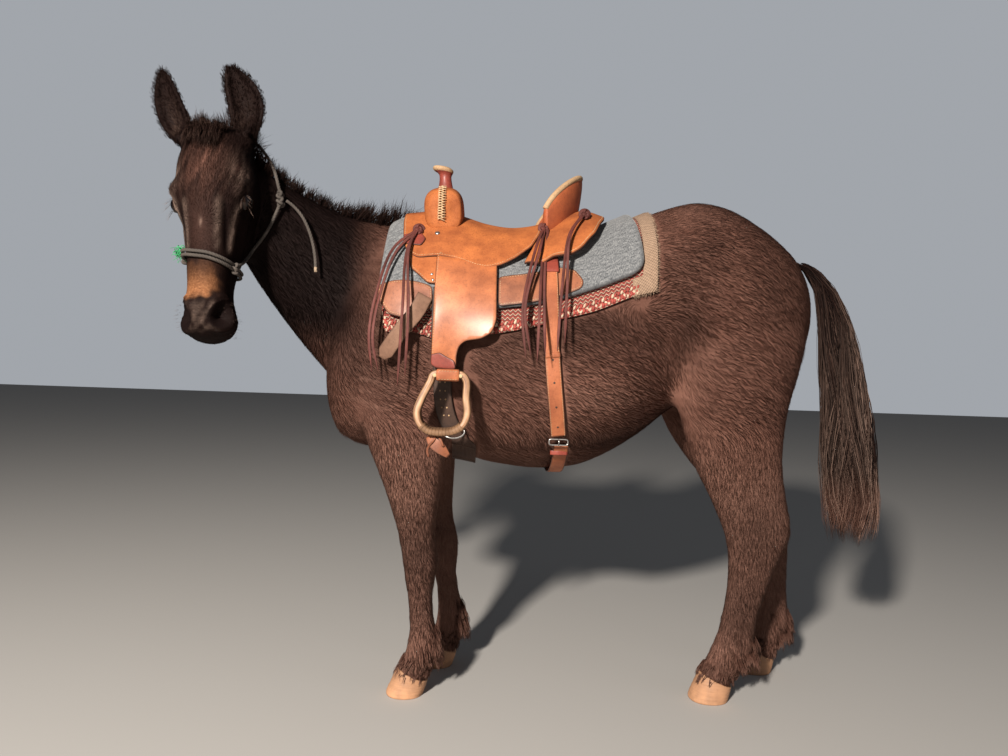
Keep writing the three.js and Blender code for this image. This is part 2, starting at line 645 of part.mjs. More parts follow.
// Tail: a dock under long locks
const TAIL = [
  [0, 965, 1318, 34, 30],
  [1, 1010, 1302, 38, 34],
  [2, 1058, 1252, 44, 40],
  [3, 1096, 1160, 52, 46],
  [4, 1122, 1040, 58, 50],
  [5, 1140, 900, 60, 50],
  [6, 1160, 740, 60, 46],
  [7, 1170, 600, 52, 38],
  [8, 1176, 510, 30, 24],
];
const tailRows = TAIL.map(([i, x, z, deep, half]) => [i, x + deep * 0.8, 0, z + deep * 0.45, x - deep * 0.8, 0, z - deep * 0.45, half, 0.5, 2, 2]);
const tailLocks = [...Array(12).keys()].map((i) => {
  const angle = (i / 12) * Math.PI * 2 + 0.3 * random();
  const start = lerp(1.2, 4.6, random());
  const [, x, z, deep, half] = curveRow(TAIL, start);
  const root = V(x + Math.cos(angle) * deep * 0.6, Math.sin(angle) * half * 0.6, z);
  const foot = lerp(430, 620, random() ** 1.4);
  const tip = V(lerp(1186, 1170, (foot - 430) / 190) + Math.cos(angle) * 68, Math.sin(angle) * 50, foot);
  return lock(root, tip, V(30 + Math.cos(angle) * 30, Math.sin(angle) * 32, 60), V(-Math.sin(angle), Math.cos(angle), 0), 62, 27, 4);
});
place("tail", largest(join([solid(loft(tailRows, { steps: 1, around: 10 })), ...tailLocks]).subtract(torsoGrown)), PAINT.hair);

// Tack lies on the torso in layers. A layer is what lies between two growths of the torso.
const layer = (inner, outer, outline, y0, y1) =>
  torsoLoft(outer).intersect(sideBlock(outline, y0, y1)).subtract(torsoLoft(inner)).subtract(neckGrown);
const LAYERS = { blanket: [1, 7], trim: [1, 8.6], pad: [9, 27], wear: [27.3, 30], plate: [30.5, 35], fender: [40.4, 45] };
const BLANKET = [[-270, 1420], [-268, 1098], [-258, 1046], [-130, 1036], [61, 1056], [225, 1100], [412, 1166], [445, 1176], [452, 1500], [-262, 1500]];
const TRIM = [[412, 1165], [478, 1183], [482, 1240], [486, 1300], [489, 1480], [453, 1480], [448, 1300], [440, 1224], [411, 1214]];
const PAD = [[-262, 1500], [-280, 1168], [-268, 1117], [-129, 1106], [59, 1117], [223, 1147], [301, 1173], [420, 1220], [446, 1248], [446, 1300], [438, 1500]];
const JOCKEY = [[-232, 1600], [-232, 1383], [-224, 1308], [-208, 1278], [-178, 1261], [-114, 1268], [-69, 1259], [-25, 1242], [13, 1234], [56, 1245], [93, 1266], [140, 1305], [166, 1350], [176, 1600]];
const REAR = [[112, 1253], [128, 1262], [166, 1256], [192, 1278], [242, 1283], [274, 1305], [316, 1353], [352, 1405], [361, 1421], [361, 1600], [140, 1600], [140, 1307]];
const trimGrown = sideBlock(swollen(TRIM, GAP));
place("blanket", largest(layer(...LAYERS.blanket, BLANKET).subtract(trimGrown)), PAINT.wool);
place("blanket_trim", largest(layer(...LAYERS.blanket, TRIM)), PAINT.trim);
place("felt_pad", largest(layer(...LAYERS.pad, PAD)), PAINT.felt);
const WEAR_FRONT = [[-279, 1167], [-129, 1169], [-126, 1113], [-160, 1094], [-200, 1083], [-240, 1092], [-268, 1124]];
const WEAR_REAR = [[51, 1196], [216, 1226], [259, 1221], [283, 1192], [277, 1172], [222, 1150], [53, 1118]];
placeSides("wear_leather_front", (y0, y1) => layer(...LAYERS.wear, WEAR_FRONT, y0, y1), PAINT.leather);
placeSides("wear_leather_rear", (y0, y1) => layer(...LAYERS.wear, WEAR_REAR, y0, y1), PAINT.leather);

// The saddle's own surface over its tree: x, seat height
const SEAT = [[-260, 1412], [-200, 1422], [-130, 1428], [-57, 1414], [10, 1394], [82, 1384], [140, 1390], [181, 1402], [240, 1432], [300, 1448], [365, 1430], [400, 1420]];
const treeRows = SEAT.map(([x, top]) => {
  const [, , , torsoTop, , , bottom, half, k, nd, nv] = curveRow(torsoRows, x);
  const wide = lerp(bottom, torsoTop, k);
  return sideRow([x, top, bottom - 48, half + 48, (wide - bottom + 48) / (top - bottom + 48), nd, nv]);
});
const treeLoft = (grow) => solid(loft(treeRows, { steps: 1, around: 28, grow, shape: muscle }));
const tree = treeLoft(0);
const underSaddle = torsoLoft(LAYERS.plate[1] + GAP).add(neckLoft(30));
const saddleBody = tree.subtract(underSaddle);
place("seat", largest(saddleBody.intersect(sideBlock(JOCKEY))), PAINT.leather);
const rearJockey = largest(treeLoft(-5).subtract(underSaddle).intersect(sideBlock(REAR)).subtract(sideBlock(swollen(JOCKEY, GAP))));
place("rear_jockey", rearJockey, PAINT.leather);
const onTree = treeLoft(GAP);

// Fork, horn and cantle stand on the seat
const SWELL = [
  [-139, 1440, 1392, -116, 22],
  [-131, 1462, 1350, -116, 46],
  [-108, 1476, 1350, -116, 55],
  [-60, 1488, 1350, -116, 58],
  [0, 1496, 1350, -116, 58],
];
const swellRows = [...SWELL, ...SWELL.slice(0, -1).reverse().map(([y, ...rest]) => [-y, ...rest])].map(
  ([y, top, bottom, x, half]) => [y, x - 4, y, top, x + 6, y, bottom, half, 0.55, 2.6, 3],
);
const swell = solid(loft(swellRows, { steps: 1, around: 16 })).subtract(onTree);
place("swell", largest(swell), PAINT.leather);
const hornRows = [[0, 1488, 27, 27, 0], [1, 1506, 21, 21, 0], [2, 1532, 18, 18, -2], [3, 1543, 22, 22, -4], [4, 1548, 33, 32, -8], [5, 1556, 35, 33, -11], [6, 1562, 31, 29, -13]];
const hornLoft = solid(
  loft(hornRows.map(([i, z, a, b, dx]) => [i, -116 + dx + a, 0, z - a * 0.12, -116 + dx - a, 0, z + a * 0.1, b, 0.5, 2, 2]), { steps: 1, around: 12 }),
);
const swellGrown = solid(loft(swellRows, { steps: 1, around: 16, grow: GAP }));
place("horn", largest(hornLoft.subtract(swellGrown)), PAINT.cherry);
const cantleRows = [-78, -66, -52, -36, -18, 0, 18, 36, 52, 66, 78].map((degrees) => {
  const [c, s] = [Math.cos(THREE.MathUtils.degToRad(degrees)), Math.sin(THREE.MathUtils.degToRad(degrees))];
  const rise = 1376 + 168 * c ** 1.15;
  return [degrees, 168 + 122 * c, 168 * s, rise, 162 + 92 * c, 150 * s, 1352, 10 + 4 * c, 0.4, 2.6, 2.2];
});
const cantle = solid(loft(cantleRows, { steps: 1, around: 12 })).subtract(onTree);
place("cantle", largest(cantle), PAINT.cherry);

// Rigging plates, fenders and the stirrup leathers below them
const jockeyGrown = sideBlock(swollen(JOCKEY, GAP));
const PLATE = [[-206, 1290], [-100, 1290], [-106, 1177], [-129, 1174], [-145, 1176], [-192, 1215]];
const FENDER = [[-121, 1290], [45, 1290], [53, 1078], [43, 1048], [19, 1033], [-26, 1026], [-40, 1014], [-45, 990], [-45, 956], [-117, 966], [-120, 1112]];
placeSides("rigging_plate", (y0, y1) => layer(...LAYERS.plate, PLATE, y0, y1), PAINT.leather);
placeSides("fender", (y0, y1) => layer(...LAYERS.fender, FENDER, y0, y1).subtract(jockeyGrown), PAINT.leather);
placeSides("hobble_strap", (y0, y1) => layer(45.4, 50, [[-117, 993], [-88, 998], [-48, 978], [-44, 957], [-99, 958], [-116, 966]], y0, y1), PAINT.cherry);

const STIRRUP = { y: -314 };
const hoopPoints = [[-40, 940, 17, 46], [-28, 925, 16, 48], [-27, 880, 16, 52], [-22, 838, 17, 58], [-34, 808, 17, 64], [-60, 792, 16, 70],
  [-93, 788, 16, 74], [-126, 792, 16, 70], [-150, 812, 17, 64], [-158, 840, 17, 58], [-148, 872, 16, 52], [-124, 922, 16, 48], [-116, 940, 17, 46], [-93, 945, 15, 44], [-62, 945, 15, 44]];
function hoop(grow = 0) {
  const n = hoopPoints.length;
  const position = [];
  const index = [];
  hoopPoints.forEach(([x, z, thick, deep], i) => {
    const [ax, az] = hoopPoints[(i - 1 + n) % n];
    const [bx, bz] = hoopPoints[(i + 1) % n];
    const d = Math.hypot(bx - ax, bz - az);
    const [nx, nz] = [(bz - az) / d, -(bx - ax) / d];
    for (const [out, side] of [[1, -0.7], [1, 0.7], [0, 1], [-1, 0.7], [-1, -0.7], [0, -1]]) {
      position.push(x + nx * out * (thick / 2 + grow), STIRRUP.y + side * (deep / 2 + grow), z + nz * out * (thick / 2 + grow));
    }
    for (let k = 0; k < 6; k++) {
      const [a, b] = [i * 6 + k, i * 6 + ((k + 1) % 6)];
      const [c, e] = [((i + 1) % n) * 6 + k, ((i + 1) % n) * 6 + ((k + 1) % 6)];
      index.push(a, b, e, a, e, c);
    }
  });
  const geometry = new THREE.BufferGeometry();
  geometry.setAttribute("position", new THREE.Float32BufferAttribute(position, 3));
  geometry.setIndex(index);
  return solid(geometry);
}
placePair("stirrup", hoop(), PAINT.wood);
const loopEnd = boxAt([-78, STIRRUP.y, 939], [60, 54, 32]).subtract(hoop(GAP));
placePair("stirrup_leather", largest(loopEnd), PAINT.leather);

// Straps that follow the torso: x, z and how far off it
const onBody = (x, z, lift) => V(x, -torsoHalf(x, z, lift), z);
const along = V(1, 0, 0);
const fromSide = (points, count) => curveThrough(points.map(([x, z, lift]) => onBody(x, z, lift)), count);
const forelegs = [legs.front_left, legs.front_right].map((leg) => thicker(leg));
const latigo = strip(fromSide([[-118, 1166, 33.5], [-116, 1100, 33.5], [-112, 1040, 30], [-108, 990, 20], [-106, 930, 9], [-98, 870, 8], [-82, 828, 8], [-66, 796, 8]], 9), along, 56, 4);
const padGrown = torsoLoft(LAYERS.pad[1] + GAP).intersect(sideBlock(swollen(PAD, GAP)));
placePair("latigo", latigo, PAINT.dark, [torsoGrown, padGrown, ...forelegs]);
place("latigo_tail_left", largest(strip([[-146, 1140, 42], [-170, 1096, 44], [-196, 1062, 44], [-226, 1018, 42], [-252, 980, 40]].map(([x, z, lift]) => onBody(x, z, lift)), V(0.75, 0, -0.66), 44, 3.4).subtract(thicker(latigo))), PAINT.leather);

// A band that runs round under the belly at one x, between two angles of the section
function girth(x, width, lift, thick, from, to, count) {
  const points = [...Array(count + 1).keys()].map((i) => {
    const ring = sectionRing(curveRow(torsoRows, x), V(0, 1, 0), 360, lift);
    const p = ring[Math.round(lerp(from, to, i / count))];
    muscle(p);
    return p;
  });
  return strip(points, along, width, thick);
}
place("cinch_front", largest(cut(girth(-32, 68, 8, 6, 224, 316, 14), [torsoGrown, ...forelegs])), PAINT.rope);
placePair("flank_billet", strip(fromSide([[190, 1246, 36], [192, 1200, 36], [193, 1130, 34], [194, 1080, 18], [196, 1010, 8], [200, 1000, 6]], 8), along, 42, 4), PAINT.leather);
placePair("flank_strap", strip(fromSide([[198, 992, 6], [206, 920, 6], [216, 850, 6], [226, 786, 6]], 6), along, 42, 4), PAINT.leather);
placePair("flank_buckle", strip(fromSide([[227, 776, 7], [229, 762, 7]], 1), along, 58, 9), PAINT.steel);
place("cinch_flank", girth(238, 42, 6, 4, 224, 316, 14), PAINT.leather);

// Saddle strings hang from knots on the seat
const treeHalf = (x, z) => {
  const [, , , top, , , bottom, half, k, nd] = curveRow(treeRows, x);
  const middle = lerp(bottom, top, k);
  const s = (z - middle) / (top - middle);
  return s > 0 && s < 1 ? half * (1 - s ** nd) ** (1 / nd) : s <= 0 ? half : 0;
};
const outside = (x, z, lift) => {
  const onSaddle = z > 1230 ? treeHalf(x, z) + lift - 46 : 0;
  return V(x, -Math.max(torsoHalf(x, z, lift), onSaddle), z);
};
const hanging = (points, count = 8) =>
  strip(curveThrough(points.map(([x, z, lift]) => outside(x, z, lift + 8)), count), along, 10, 3.2, { taper: (t) => 1 - 0.6 * Math.max(0, t - 0.85) / 0.15 });
const knotAt = (x, z, lift) => ballAt(outside(x, z, lift + 14), [12, 9, 12], null, 0);
const stringSets = {
  strings_front: [knotAt(-182, 1350, 52), hanging([[-182, 1350, 52], [-244, 1286, 56], [-279, 1159, 54], [-291, 1045, 54], [-278, 940, 54]]), hanging([[-182, 1350, 56], [-204, 1279, 60], [-202, 1110, 60], [-207, 906, 58]])],
  strings_middle: [knotAt(176, 1366, 52), hanging([[176, 1366, 54], [150, 1290, 58], [118, 1117, 58], [131, 991, 56]]), hanging([[176, 1366, 58], [166, 1205, 62], [160, 981, 58]])],
  strings_rear: [knotAt(290, 1408, 52), hanging([[290, 1408, 54], [240, 1330, 62], [222, 1182, 60], [211, 1012, 58]])],
};
for (const [name, parts] of Object.entries(stringSets)) placePair(name, join(parts), PAINT.cherry);

// Rope halter: a double noseband, cheek ropes that leave the jaw for knots on the throat, and the rope behind the ears
const HALTER = { rope: 9.5, nose: 352, tilt: 18, apart: 12, knot: 15 };
const noseAt = (degrees, lift) => {
  const along = HALTER.nose + HALTER.tilt * Math.cos(THREE.MathUtils.degToRad(degrees + 10));
  return (shift) => onHead(along + shift, degrees, lift);
};
const noseband = (shift, grow) => {
  const points = [...Array(14).keys()].map((i) => noseAt((i * 360) / 14, 8.5)(shift));
  return rope(points, HALTER.rope + grow, 5, true);
};
// The cheek's free stretch, in the head's frame: along, sideways, out
const CHEEK = [[233, 112, -169], [185, 137, -165], [154, 150, -163]];
const CROWN = [[118, 146, -166], [43, 124, -168], [-14, 88, -152], [-46, 44, -132], [-56, 0, -124]];
function halterOf(grow) {
  const parts = [noseband(0, grow), noseband(HALTER.apart, grow)];
  const knot = (at, size) => parts.push(ballAt(at, [size, size, size].map((r) => r + grow / 2), null, 0));
  const run = (points, count) => parts.push(rope(curveThrough(points, count), HALTER.rope + grow, 5));
  for (const side of [1, -1]) {
    const start = side > 0 ? 5 : 175;
    const jaw = [noseAt(start, 8)(4), onHead(340, side > 0 ? -20 : 200, 9), onHead(286, side > 0 ? -38 : 218, 9)];
    run([...jaw, ...CHEEK.map(([u, y, z]) => inHead(u, side * y, z))], 8);
    knot(noseAt(start, 9)(6), HALTER.knot);
    const [u, y, z] = CHEEK[2];
    knot(inHead(u, side * y, z), HALTER.knot + 2);
    knot(inHead(u - 24, side * (y - 2), z - 2), HALTER.knot - 1);
  }
  const half = (side) => CROWN.map(([u, y, z]) => inHead(u, side * y, z));
  run([...half(1), ...half(-1).reverse().slice(1)], 12);
  const throat = [[CHEEK[2][0], CHEEK[2][1], -168], [190, 104, -214], [210, 50, -262], [214, 0, -272]];
  const under = (side) => throat.map(([u, y, z]) => inHead(u, side * y, z));
  run([...under(1), ...under(-1).reverse().slice(1)], 8);
  return join(parts);
}
const halterBody = largest(cut(halterOf(0), [headGrown, neckGrown, earsGrown]));
place("halter", halterBody, PAINT.rope);
// The loose end of the halter hangs from the left knot down the side of the neck
const ROPE_END = [[-556, -150, 1412], [-538, -141, 1399], [-514, -137, 1372], [-494, -136, 1333], [-481, -136, 1292], [-474, -137, 1255], [-471, -139, 1216]];
place("halter_rope_end", rope(curveThrough(ROPE_END.map(([x, y, z]) => V(x, y, z)), 12), 9, 8), PAINT.rope);
const twine = ballAt(noseAt(172, 16)(-6), [10, 13, 11], null, 0);
const halterGrown = halterOf(1.2);
place("twine_knot", largest(twine.subtract(halterGrown).subtract(headGrown)), PAINT.twine);
place("forelock", largest(cut(join(forelock), [headGrown, neckGrown, earsGrown, halterGrown])), PAINT.hair);
const mane = join([solid(loft(maneRows, { steps: 1, around: 8 })), ...maneLocks]);
place("mane", largest(cut(mane, [neckGrown, torsoGrown, headGrown, padGrown, halterGrown, earsGrown])), PAINT.hair);

// The bottom centre of the whole model's box is the origin.
const bounds = new THREE.Box3().setFromObject(mule);
const middle = bounds.getCenter(V(0, 0, 0));
for (const mesh of mule.children) mesh.geometry.translate(-middle.x, -middle.y, -bounds.min.z);
export default mule;
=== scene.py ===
# A live-size saddled mule: skin, coat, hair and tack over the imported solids, with its camera, light
# and floor.
# The mule's own measures are in millimetres, its face towards -X and its left side towards -Y.
import math

import bmesh
import bpy
import numpy as np
from mathutils import Matrix, Vector
from mathutils.bvhtree import BVHTree
from mathutils.geometry import delaunay_2d_cdt


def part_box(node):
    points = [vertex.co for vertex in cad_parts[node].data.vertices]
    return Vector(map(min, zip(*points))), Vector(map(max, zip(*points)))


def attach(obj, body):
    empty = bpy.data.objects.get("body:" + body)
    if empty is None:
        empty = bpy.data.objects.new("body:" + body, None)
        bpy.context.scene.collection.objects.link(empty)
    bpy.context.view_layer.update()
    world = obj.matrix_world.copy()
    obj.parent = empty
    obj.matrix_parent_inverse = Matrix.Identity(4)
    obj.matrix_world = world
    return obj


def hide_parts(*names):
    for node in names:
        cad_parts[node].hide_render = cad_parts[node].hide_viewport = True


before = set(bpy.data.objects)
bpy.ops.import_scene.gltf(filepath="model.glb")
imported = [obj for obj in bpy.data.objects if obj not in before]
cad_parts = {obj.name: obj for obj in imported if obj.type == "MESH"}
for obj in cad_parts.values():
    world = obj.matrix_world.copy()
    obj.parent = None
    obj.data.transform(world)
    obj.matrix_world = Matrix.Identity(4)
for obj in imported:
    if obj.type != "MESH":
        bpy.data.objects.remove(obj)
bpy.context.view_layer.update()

# Where the mule's own zero lies in the frame: its buttock is at x = 1000 mm
RUMP_X = 1000.0
OFFSET = np.array([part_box("torso")[1].x * 1000 - RUMP_X, 0.0, 0.0])


def metres(points):
    return (np.asarray(points, float) + OFFSET) / 1000


def in_mm(points):
    return points * 1000 - OFFSET


# Plain mathematics
def smooth(t):
    t = np.clip(t, 0, 1)
    return t * t * (3 - 2 * t)


def lerp(a, b, t):
    return a + (b - a) * t


def unit(v):
    v = np.asarray(v, float)
    return v / np.maximum(np.linalg.norm(v, axis=-1, keepdims=True), 1e-9)


def dots(a, b):
    return np.sum(a * b, axis=-1)


def hill(*places):
    """1 in the middle and falling away round it, by distances from there over the reach."""
    return np.exp(-sum(place ** 2 for place in places))


def circle(count):
    return np.linspace(0, 2 * math.pi, count, endpoint=False)


def walked(path):
    """The length walked along a path up to each of its points."""
    return np.concatenate([[0], np.cumsum(np.linalg.norm(np.diff(path, axis=0), axis=1))])


def round_loop(line):
    """The direction of a closed line at each of its points."""
    return unit(np.roll(line, -1, 0) - np.roll(line, 1, 0))


def bowed(start, middle, end, count):
    """Paths of so many points that leave a start for an end by way of a middle."""
    t = np.linspace(0, 1, count)[None, :, None]
    return (1 - t) ** 2 * start[:, None] + 2 * t * (1 - t) * middle[:, None] + t * t * end[:, None]


def between(table, i, j):
    """Values of a table at places between its rows and columns."""
    i, j = (np.clip(k, 0, size - 1.001) for k, size in zip((i, j), table.shape))
    row, column = i.astype(int), j.astype(int)
    down, along = i - row, j - column
    if table.ndim > 2:
        down, along = down[:, None], along[:, None]
    left = table[row, column] * (1 - down) + table[row + 1, column] * down
    right = table[row, column + 1] * (1 - down) + table[row + 1, column + 1] * down
    return left * (1 - along) + right * along


def curve_rows(rows, keys):
    """Cubic curves through rows of numbers, at each key; the first number of a row is its key."""
    rows = np.asarray(rows, float)
    keys = np.atleast_1d(np.asarray(keys, float))
    i = np.clip(np.searchsorted(rows[:, 0], keys, side="right") - 1, 0, len(rows) - 2)
    a, b = rows[i], rows[i + 1]
    before, after = rows[np.maximum(i - 1, 0)], rows[np.minimum(i + 2, len(rows) - 1)]
    span = b[:, :1] - a[:, :1]
    t = np.clip((keys[:, None] - a[:, :1]) / span, 0, 1)
    slope_a = (b - before) / np.maximum(b[:, :1] - before[:, :1], 1e-9)
    slope_b = (after - a) / np.maximum(after[:, :1] - a[:, :1], 1e-9)
    t2, t3 = t * t, t * t * t
    rises = (t3 - 2 * t2 + t) * span * slope_a, (t3 - t2) * span * slope_b
    return (2 * t3 - 3 * t2 + 1) * a + rises[0] + (3 * t2 - 2 * t3) * b + rises[1]


def loft(rows, keys, angles, grow=0.0):
    """Points on the body that the section rows describe. A row is its key, the dorsal and ventral points, the
    half width, the share of the height where it is widest, and the roundness above and below."""
    keys = np.asarray(keys, float)
    r = curve_rows(rows, keys)
    low, high = rows[0][0], rows[-1][0]
    step = (high - low) / 400
    ahead = curve_rows(rows, np.minimum(keys + step, high))
    behind = curve_rows(rows, np.maximum(keys - step, low))
    path = (ahead[:, 1:4] + ahead[:, 4:7]) / 2 - (behind[:, 1:4] + behind[:, 4:7]) / 2
    line = r[:, 1:4] - r[:, 4:7]
    side, up = unit(np.cross(line, path)), unit(line)
    dorsal, ventral = r[:, 1:4] + up * grow, r[:, 4:7] - up * grow
    centre = lerp(ventral, dorsal, r[:, 8:9])
    c, s = np.cos(angles)[None, :], np.sin(angles)[None, :]
    power = np.where(s >= 0, 2 / r[:, 9:10], 2 / r[:, 10:11])
    out = np.sign(c) * (r[:, 7:8] + grow) * np.abs(c) ** power
    reach = np.where((s >= 0)[..., None], (dorsal - centre)[:, None, :], (ventral - centre)[:, None, :])
    return centre[:, None, :] + side[:, None, :] * out[..., None] + reach * (np.abs(s) ** power)[..., None]


def side_row(x, top, bottom, half, k, above, below):
    return [x, x, 0, top, x, 0, bottom, half, k, above, below]


# The mule's build
# Torso: x, top z, bottom z, half width, share of height where widest, roundness above and below
TORSO = [side_row(*row) for row in (
    (-452, 1000, 862, 40, 0.5, 2, 2), (-436, 1075, 800, 105, 0.5, 2, 2.1),
    (-405, 1165, 742, 158, 0.48, 2, 2.2),
    (-335, 1290, 708, 192, 0.45, 1.9, 2.2), (-250, 1372, 700, 212, 0.43, 1.75, 2.2),
    (-160, 1394, 698, 232, 0.43, 1.7, 2.2), (-50, 1366, 688, 258, 0.45, 1.8, 2.2),
    (60, 1338, 668, 284, 0.46, 1.95, 2.2), (180, 1328, 656, 300, 0.47, 2.05, 2.15),
    (300, 1352, 668, 304, 0.47, 2.1, 2.15), (400, 1396, 712, 297, 0.48, 2.15, 2.15),
    (490, 1438, 770, 283, 0.5, 2.2, 2.1), (570, 1468, 835, 272, 0.52, 2.2, 2.1),
    (640, 1484, 880, 268, 0.5, 2.15, 2.1), (730, 1472, 890, 264, 0.48, 2.05, 2.1),
    (815, 1432, 900, 246, 0.46, 2, 2.1), (885, 1385, 925, 214, 0.46, 2, 2.1),
    (940, 1335, 965, 168, 0.48, 2, 2.1), (980, 1270, 1025, 108, 0.5, 2, 2), (1000, 1205, 1085, 44, 0.5, 2, 2),
)]
# Muscle and hollow on the torso: x, z, reach along x, reach along z, how far out
TORSO_FORMS = (
    (-215, 1120, 95, 150, 10), (-395, 930, 60, 80, 14), (-120, 1010, 60, 140, -9), (525, 1060, 70, 110, -16),
    (600, 1345, 65, 60, 10), (700, 1300, 60, 80, -8), (860, 1080, 90, 120, 14), (250, 900, 200, 120, 6),
)
# Neck: crest point, under point, half width, share of height where widest
NECK = [[i, *crest, *under, half, k, 1.9, 2.1] for i, (crest, under, half, k) in enumerate((
    ((-150, 0, 1350), (-250, 0, 830), 128, 0.45), ((-258, 0, 1382), (-392, -2, 868), 116, 0.45),
    ((-350, -6, 1398), (-470, -12, 940), 102, 0.47), ((-440, -20, 1424), (-552, -24, 1035), 92, 0.5),
    ((-530, -46, 1462), (-628, -36, 1135), 86, 0.52), ((-615, -84, 1506), (-688, -44, 1225), 82, 0.54),
    ((-682, -132, 1554), (-728, -52, 1300), 80, 0.56), ((-722, -184, 1574), (-742, -72, 1362), 78, 0.56),
    ((-740, -222, 1570), (-750, -108, 1420), 66, 0.56),
))]
# Head, in its own frame: along the face from the poll, face height, jaw height, half width, and as
# the torso's
HEAD = [side_row(*row) for row in (
    (-44, -74, -116, 26, 0.5, 2, 2), (-30, -34, -150, 56, 0.5, 2.1, 2), (5, 0, -190, 82, 0.55, 2.2, 2),
    (55, 16, -222, 95, 0.62, 2.3, 2.1), (115, 24, -246, 100, 0.66, 2.4, 2.2),
    (170, 25, -258, 98, 0.64, 2.6, 2.3),
    (220, 20, -254, 88, 0.6, 2.7, 2.4), (270, 13, -232, 76, 0.58, 2.7, 2.4),
    (325, 8, -196, 65, 0.58, 2.6, 2.3),
    (385, 6, -164, 59, 0.56, 2.5, 2.2), (440, 7, -146, 56, 0.54, 2.4, 2.2),
    (486, 9, -140, 63, 0.56, 2.3, 2.2),
    (520, 5, -140, 71, 0.58, 2.3, 2.3), (545, -8, -138, 63, 0.54, 2.4, 2.4),
    (562, -34, -130, 45, 0.5, 2.4, 2.4),
    (570, -62, -114, 22, 0.5, 2.2, 2.2),
)]
# Bone and muscle of the head: along, sideways, out, reach along, reach across, how far out
HEAD_FORMS = (
    (166, 86, -30, 30, 26, 17), (122, 98, -74, 44, 26, 6), (118, 74, -12, 34, 24, -8),
    (216, 84, -86, 34, 20, 7),
    (280, 70, -96, 58, 16, 7), (252, 66, -40, 44, 26, -6), (150, 94, -170, 70, 60, 8),
    (390, 56, -96, 60, 40, -5),
    (330, 0, 10, 90, 40, 3), (502, 50, -26, 30, 28, 12), (498, 0, 8, 34, 22, -3), (536, 30, -60, 26, 34, 4),
    (540, 0, -132, 26, 34, 8),
)
HEAD_CORE = -95.0  # the forms swell away from this line in the head's frame
POLL = np.array([-747.0, -262.0, 1577.0])
HEAD_PITCH, HEAD_YAW, HEAD_ROLL = (math.radians(a) for a in (80, 86, 4.2))
EYE = np.array([193.0, 86.0, -54.0])
EYE_RADIUS = 24.0
GAZE = {side: unit(np.array([0.1, side * 0.9, 0.42])) for side in (1, -1)}
NOSTRIL_AT = np.array([508.0, 46.0, -25.0])
EAR_TIPS = {1: np.array([-706.0, -205.0, 1760.0]), -1: np.array([-896.0, -195.0, 1744.0])}
EAR_TURN = {1: 0.05, -1: -0.5}
EAR_HALF, EAR_BULGE = 50.0, 19.0
# Legs: z, front x, back x, y of the middle, half width
FORE = (
    (960, -315, -140, -120, 66), (900, -336, -112, -136, 80), (820, -338, -86, -152, 82),
    (750, -318, -76, -158, 74),
    (690, -292, -76, -157, 66), (620, -264, -84, -150, 58), (540, -236, -96, -146, 52),
    (480, -218, -102, -142, 47),
    (395, -202, -92, -133, 49), (350, -196, -98, -130, 45), (300, -187, -106, -126, 38),
    (240, -180, -102, -122, 35),
    (170, -179, -89, -116, 39), (115, -190, -88, -113, 41), (85, -202, -104, -112, 41),
    (60, -214, -112, -111, 46),
    (30, -226, -118, -110, 51), (8, -236, -126, -110, 55), (0, -237, -128, -110, 55),
)
HIND = (
    (1180, 580, 910, -100, 84), (1080, 560, 950, -140, 104), (980, 556, 930, -162, 108),
    (890, 566, 902, -170, 100),
    (820, 584, 890, -172, 86), (750, 608, 888, -168, 74), (680, 640, 896, -160, 62),
    (610, 680, 912, -152, 54),
    (510, 728, 934, -141, 48), (460, 744, 920, -136, 46), (400, 752, 898, -131, 41),
    (330, 752, 876, -126, 38),
    (260, 744, 858, -121, 37), (200, 734, 850, -117, 39), (140, 714, 846, -113, 43), (90, 692, 812, -111, 42),
    (60, 680, 790, -110, 46), (30, 668, 782, -110, 51), (8, 660, 776, -110, 54), (0, 659, 774, -110, 54),
)
# Each foot: its table, its side, and how far back it stands from where the left one does
FEET = {"front_left": (FORE, -1, 0), "front_right": (FORE, 1, 78), "hind_left": (HIND, -1, 0),
        "hind_right": (HIND, 1, 215)}
COAT_DEPTH, FACE_DEPTH, LEG_DEPTH = 6.0, 3.0, 4.0  # how far the skin lies inside the solids


def stride(dx, z):
    return dx * (1 - smooth(np.asarray(z, float) / 1050))


def leg_rows(table, side, dx):
    return [[-z, front + stride(dx, z), -side * y, z, back + stride(dx, z), -side * y, z, half, 0.5, 2.2, 2.2]
            for z, front, back, y, half in table]


def torso_muscle(p):
    out = sum(a * hill((p[..., 0] - x) / rx, (p[..., 2] - z) / rz) for x, z, rx, rz, a in TORSO_FORMS)
    moved = p.copy()
    moved[..., 1] += out * smooth(np.abs(p[..., 1]) / 120) * np.sign(p[..., 1])
    return moved


def head_bones(p):
    push = np.zeros(p.shape[:-1])
    for along, left, out, reach, wide, amount in HEAD_FORMS:
        across = np.hypot(np.abs(p[..., 1]) - left, p[..., 2] - out) / wide
        push += amount * hill((p[..., 0] - along) / reach, across)
    outward = unit(np.stack([np.zeros_like(push), p[..., 1], p[..., 2] - HEAD_CORE], -1))
    return p + outward * push[..., None]


def turned(vector, axis, angle):
    return np.array(Matrix.Rotation(angle, 3, Vector(axis)) @ Vector(vector))


def head_axes():
    ahead = np.array([-math.cos(HEAD_YAW), -math.sin(HEAD_YAW), 0])
    nose = ahead * math.cos(HEAD_PITCH) + np.array([0, 0, -math.sin(HEAD_PITCH)])
    left = np.cross([0, 0, 1], ahead)
    face = np.cross(nose, left)
    return np.stack([turned(axis, ahead, HEAD_ROLL) for axis in (nose, left, face)])


HEAD_AXES = head_axes()  # rows: down the nose, to its left, out of the face


def from_head(p):
    return np.asarray(p, float) @ HEAD_AXES + POLL


def to_head(p):
    return (np.asarray(p, float) - POLL) @ HEAD_AXES.T


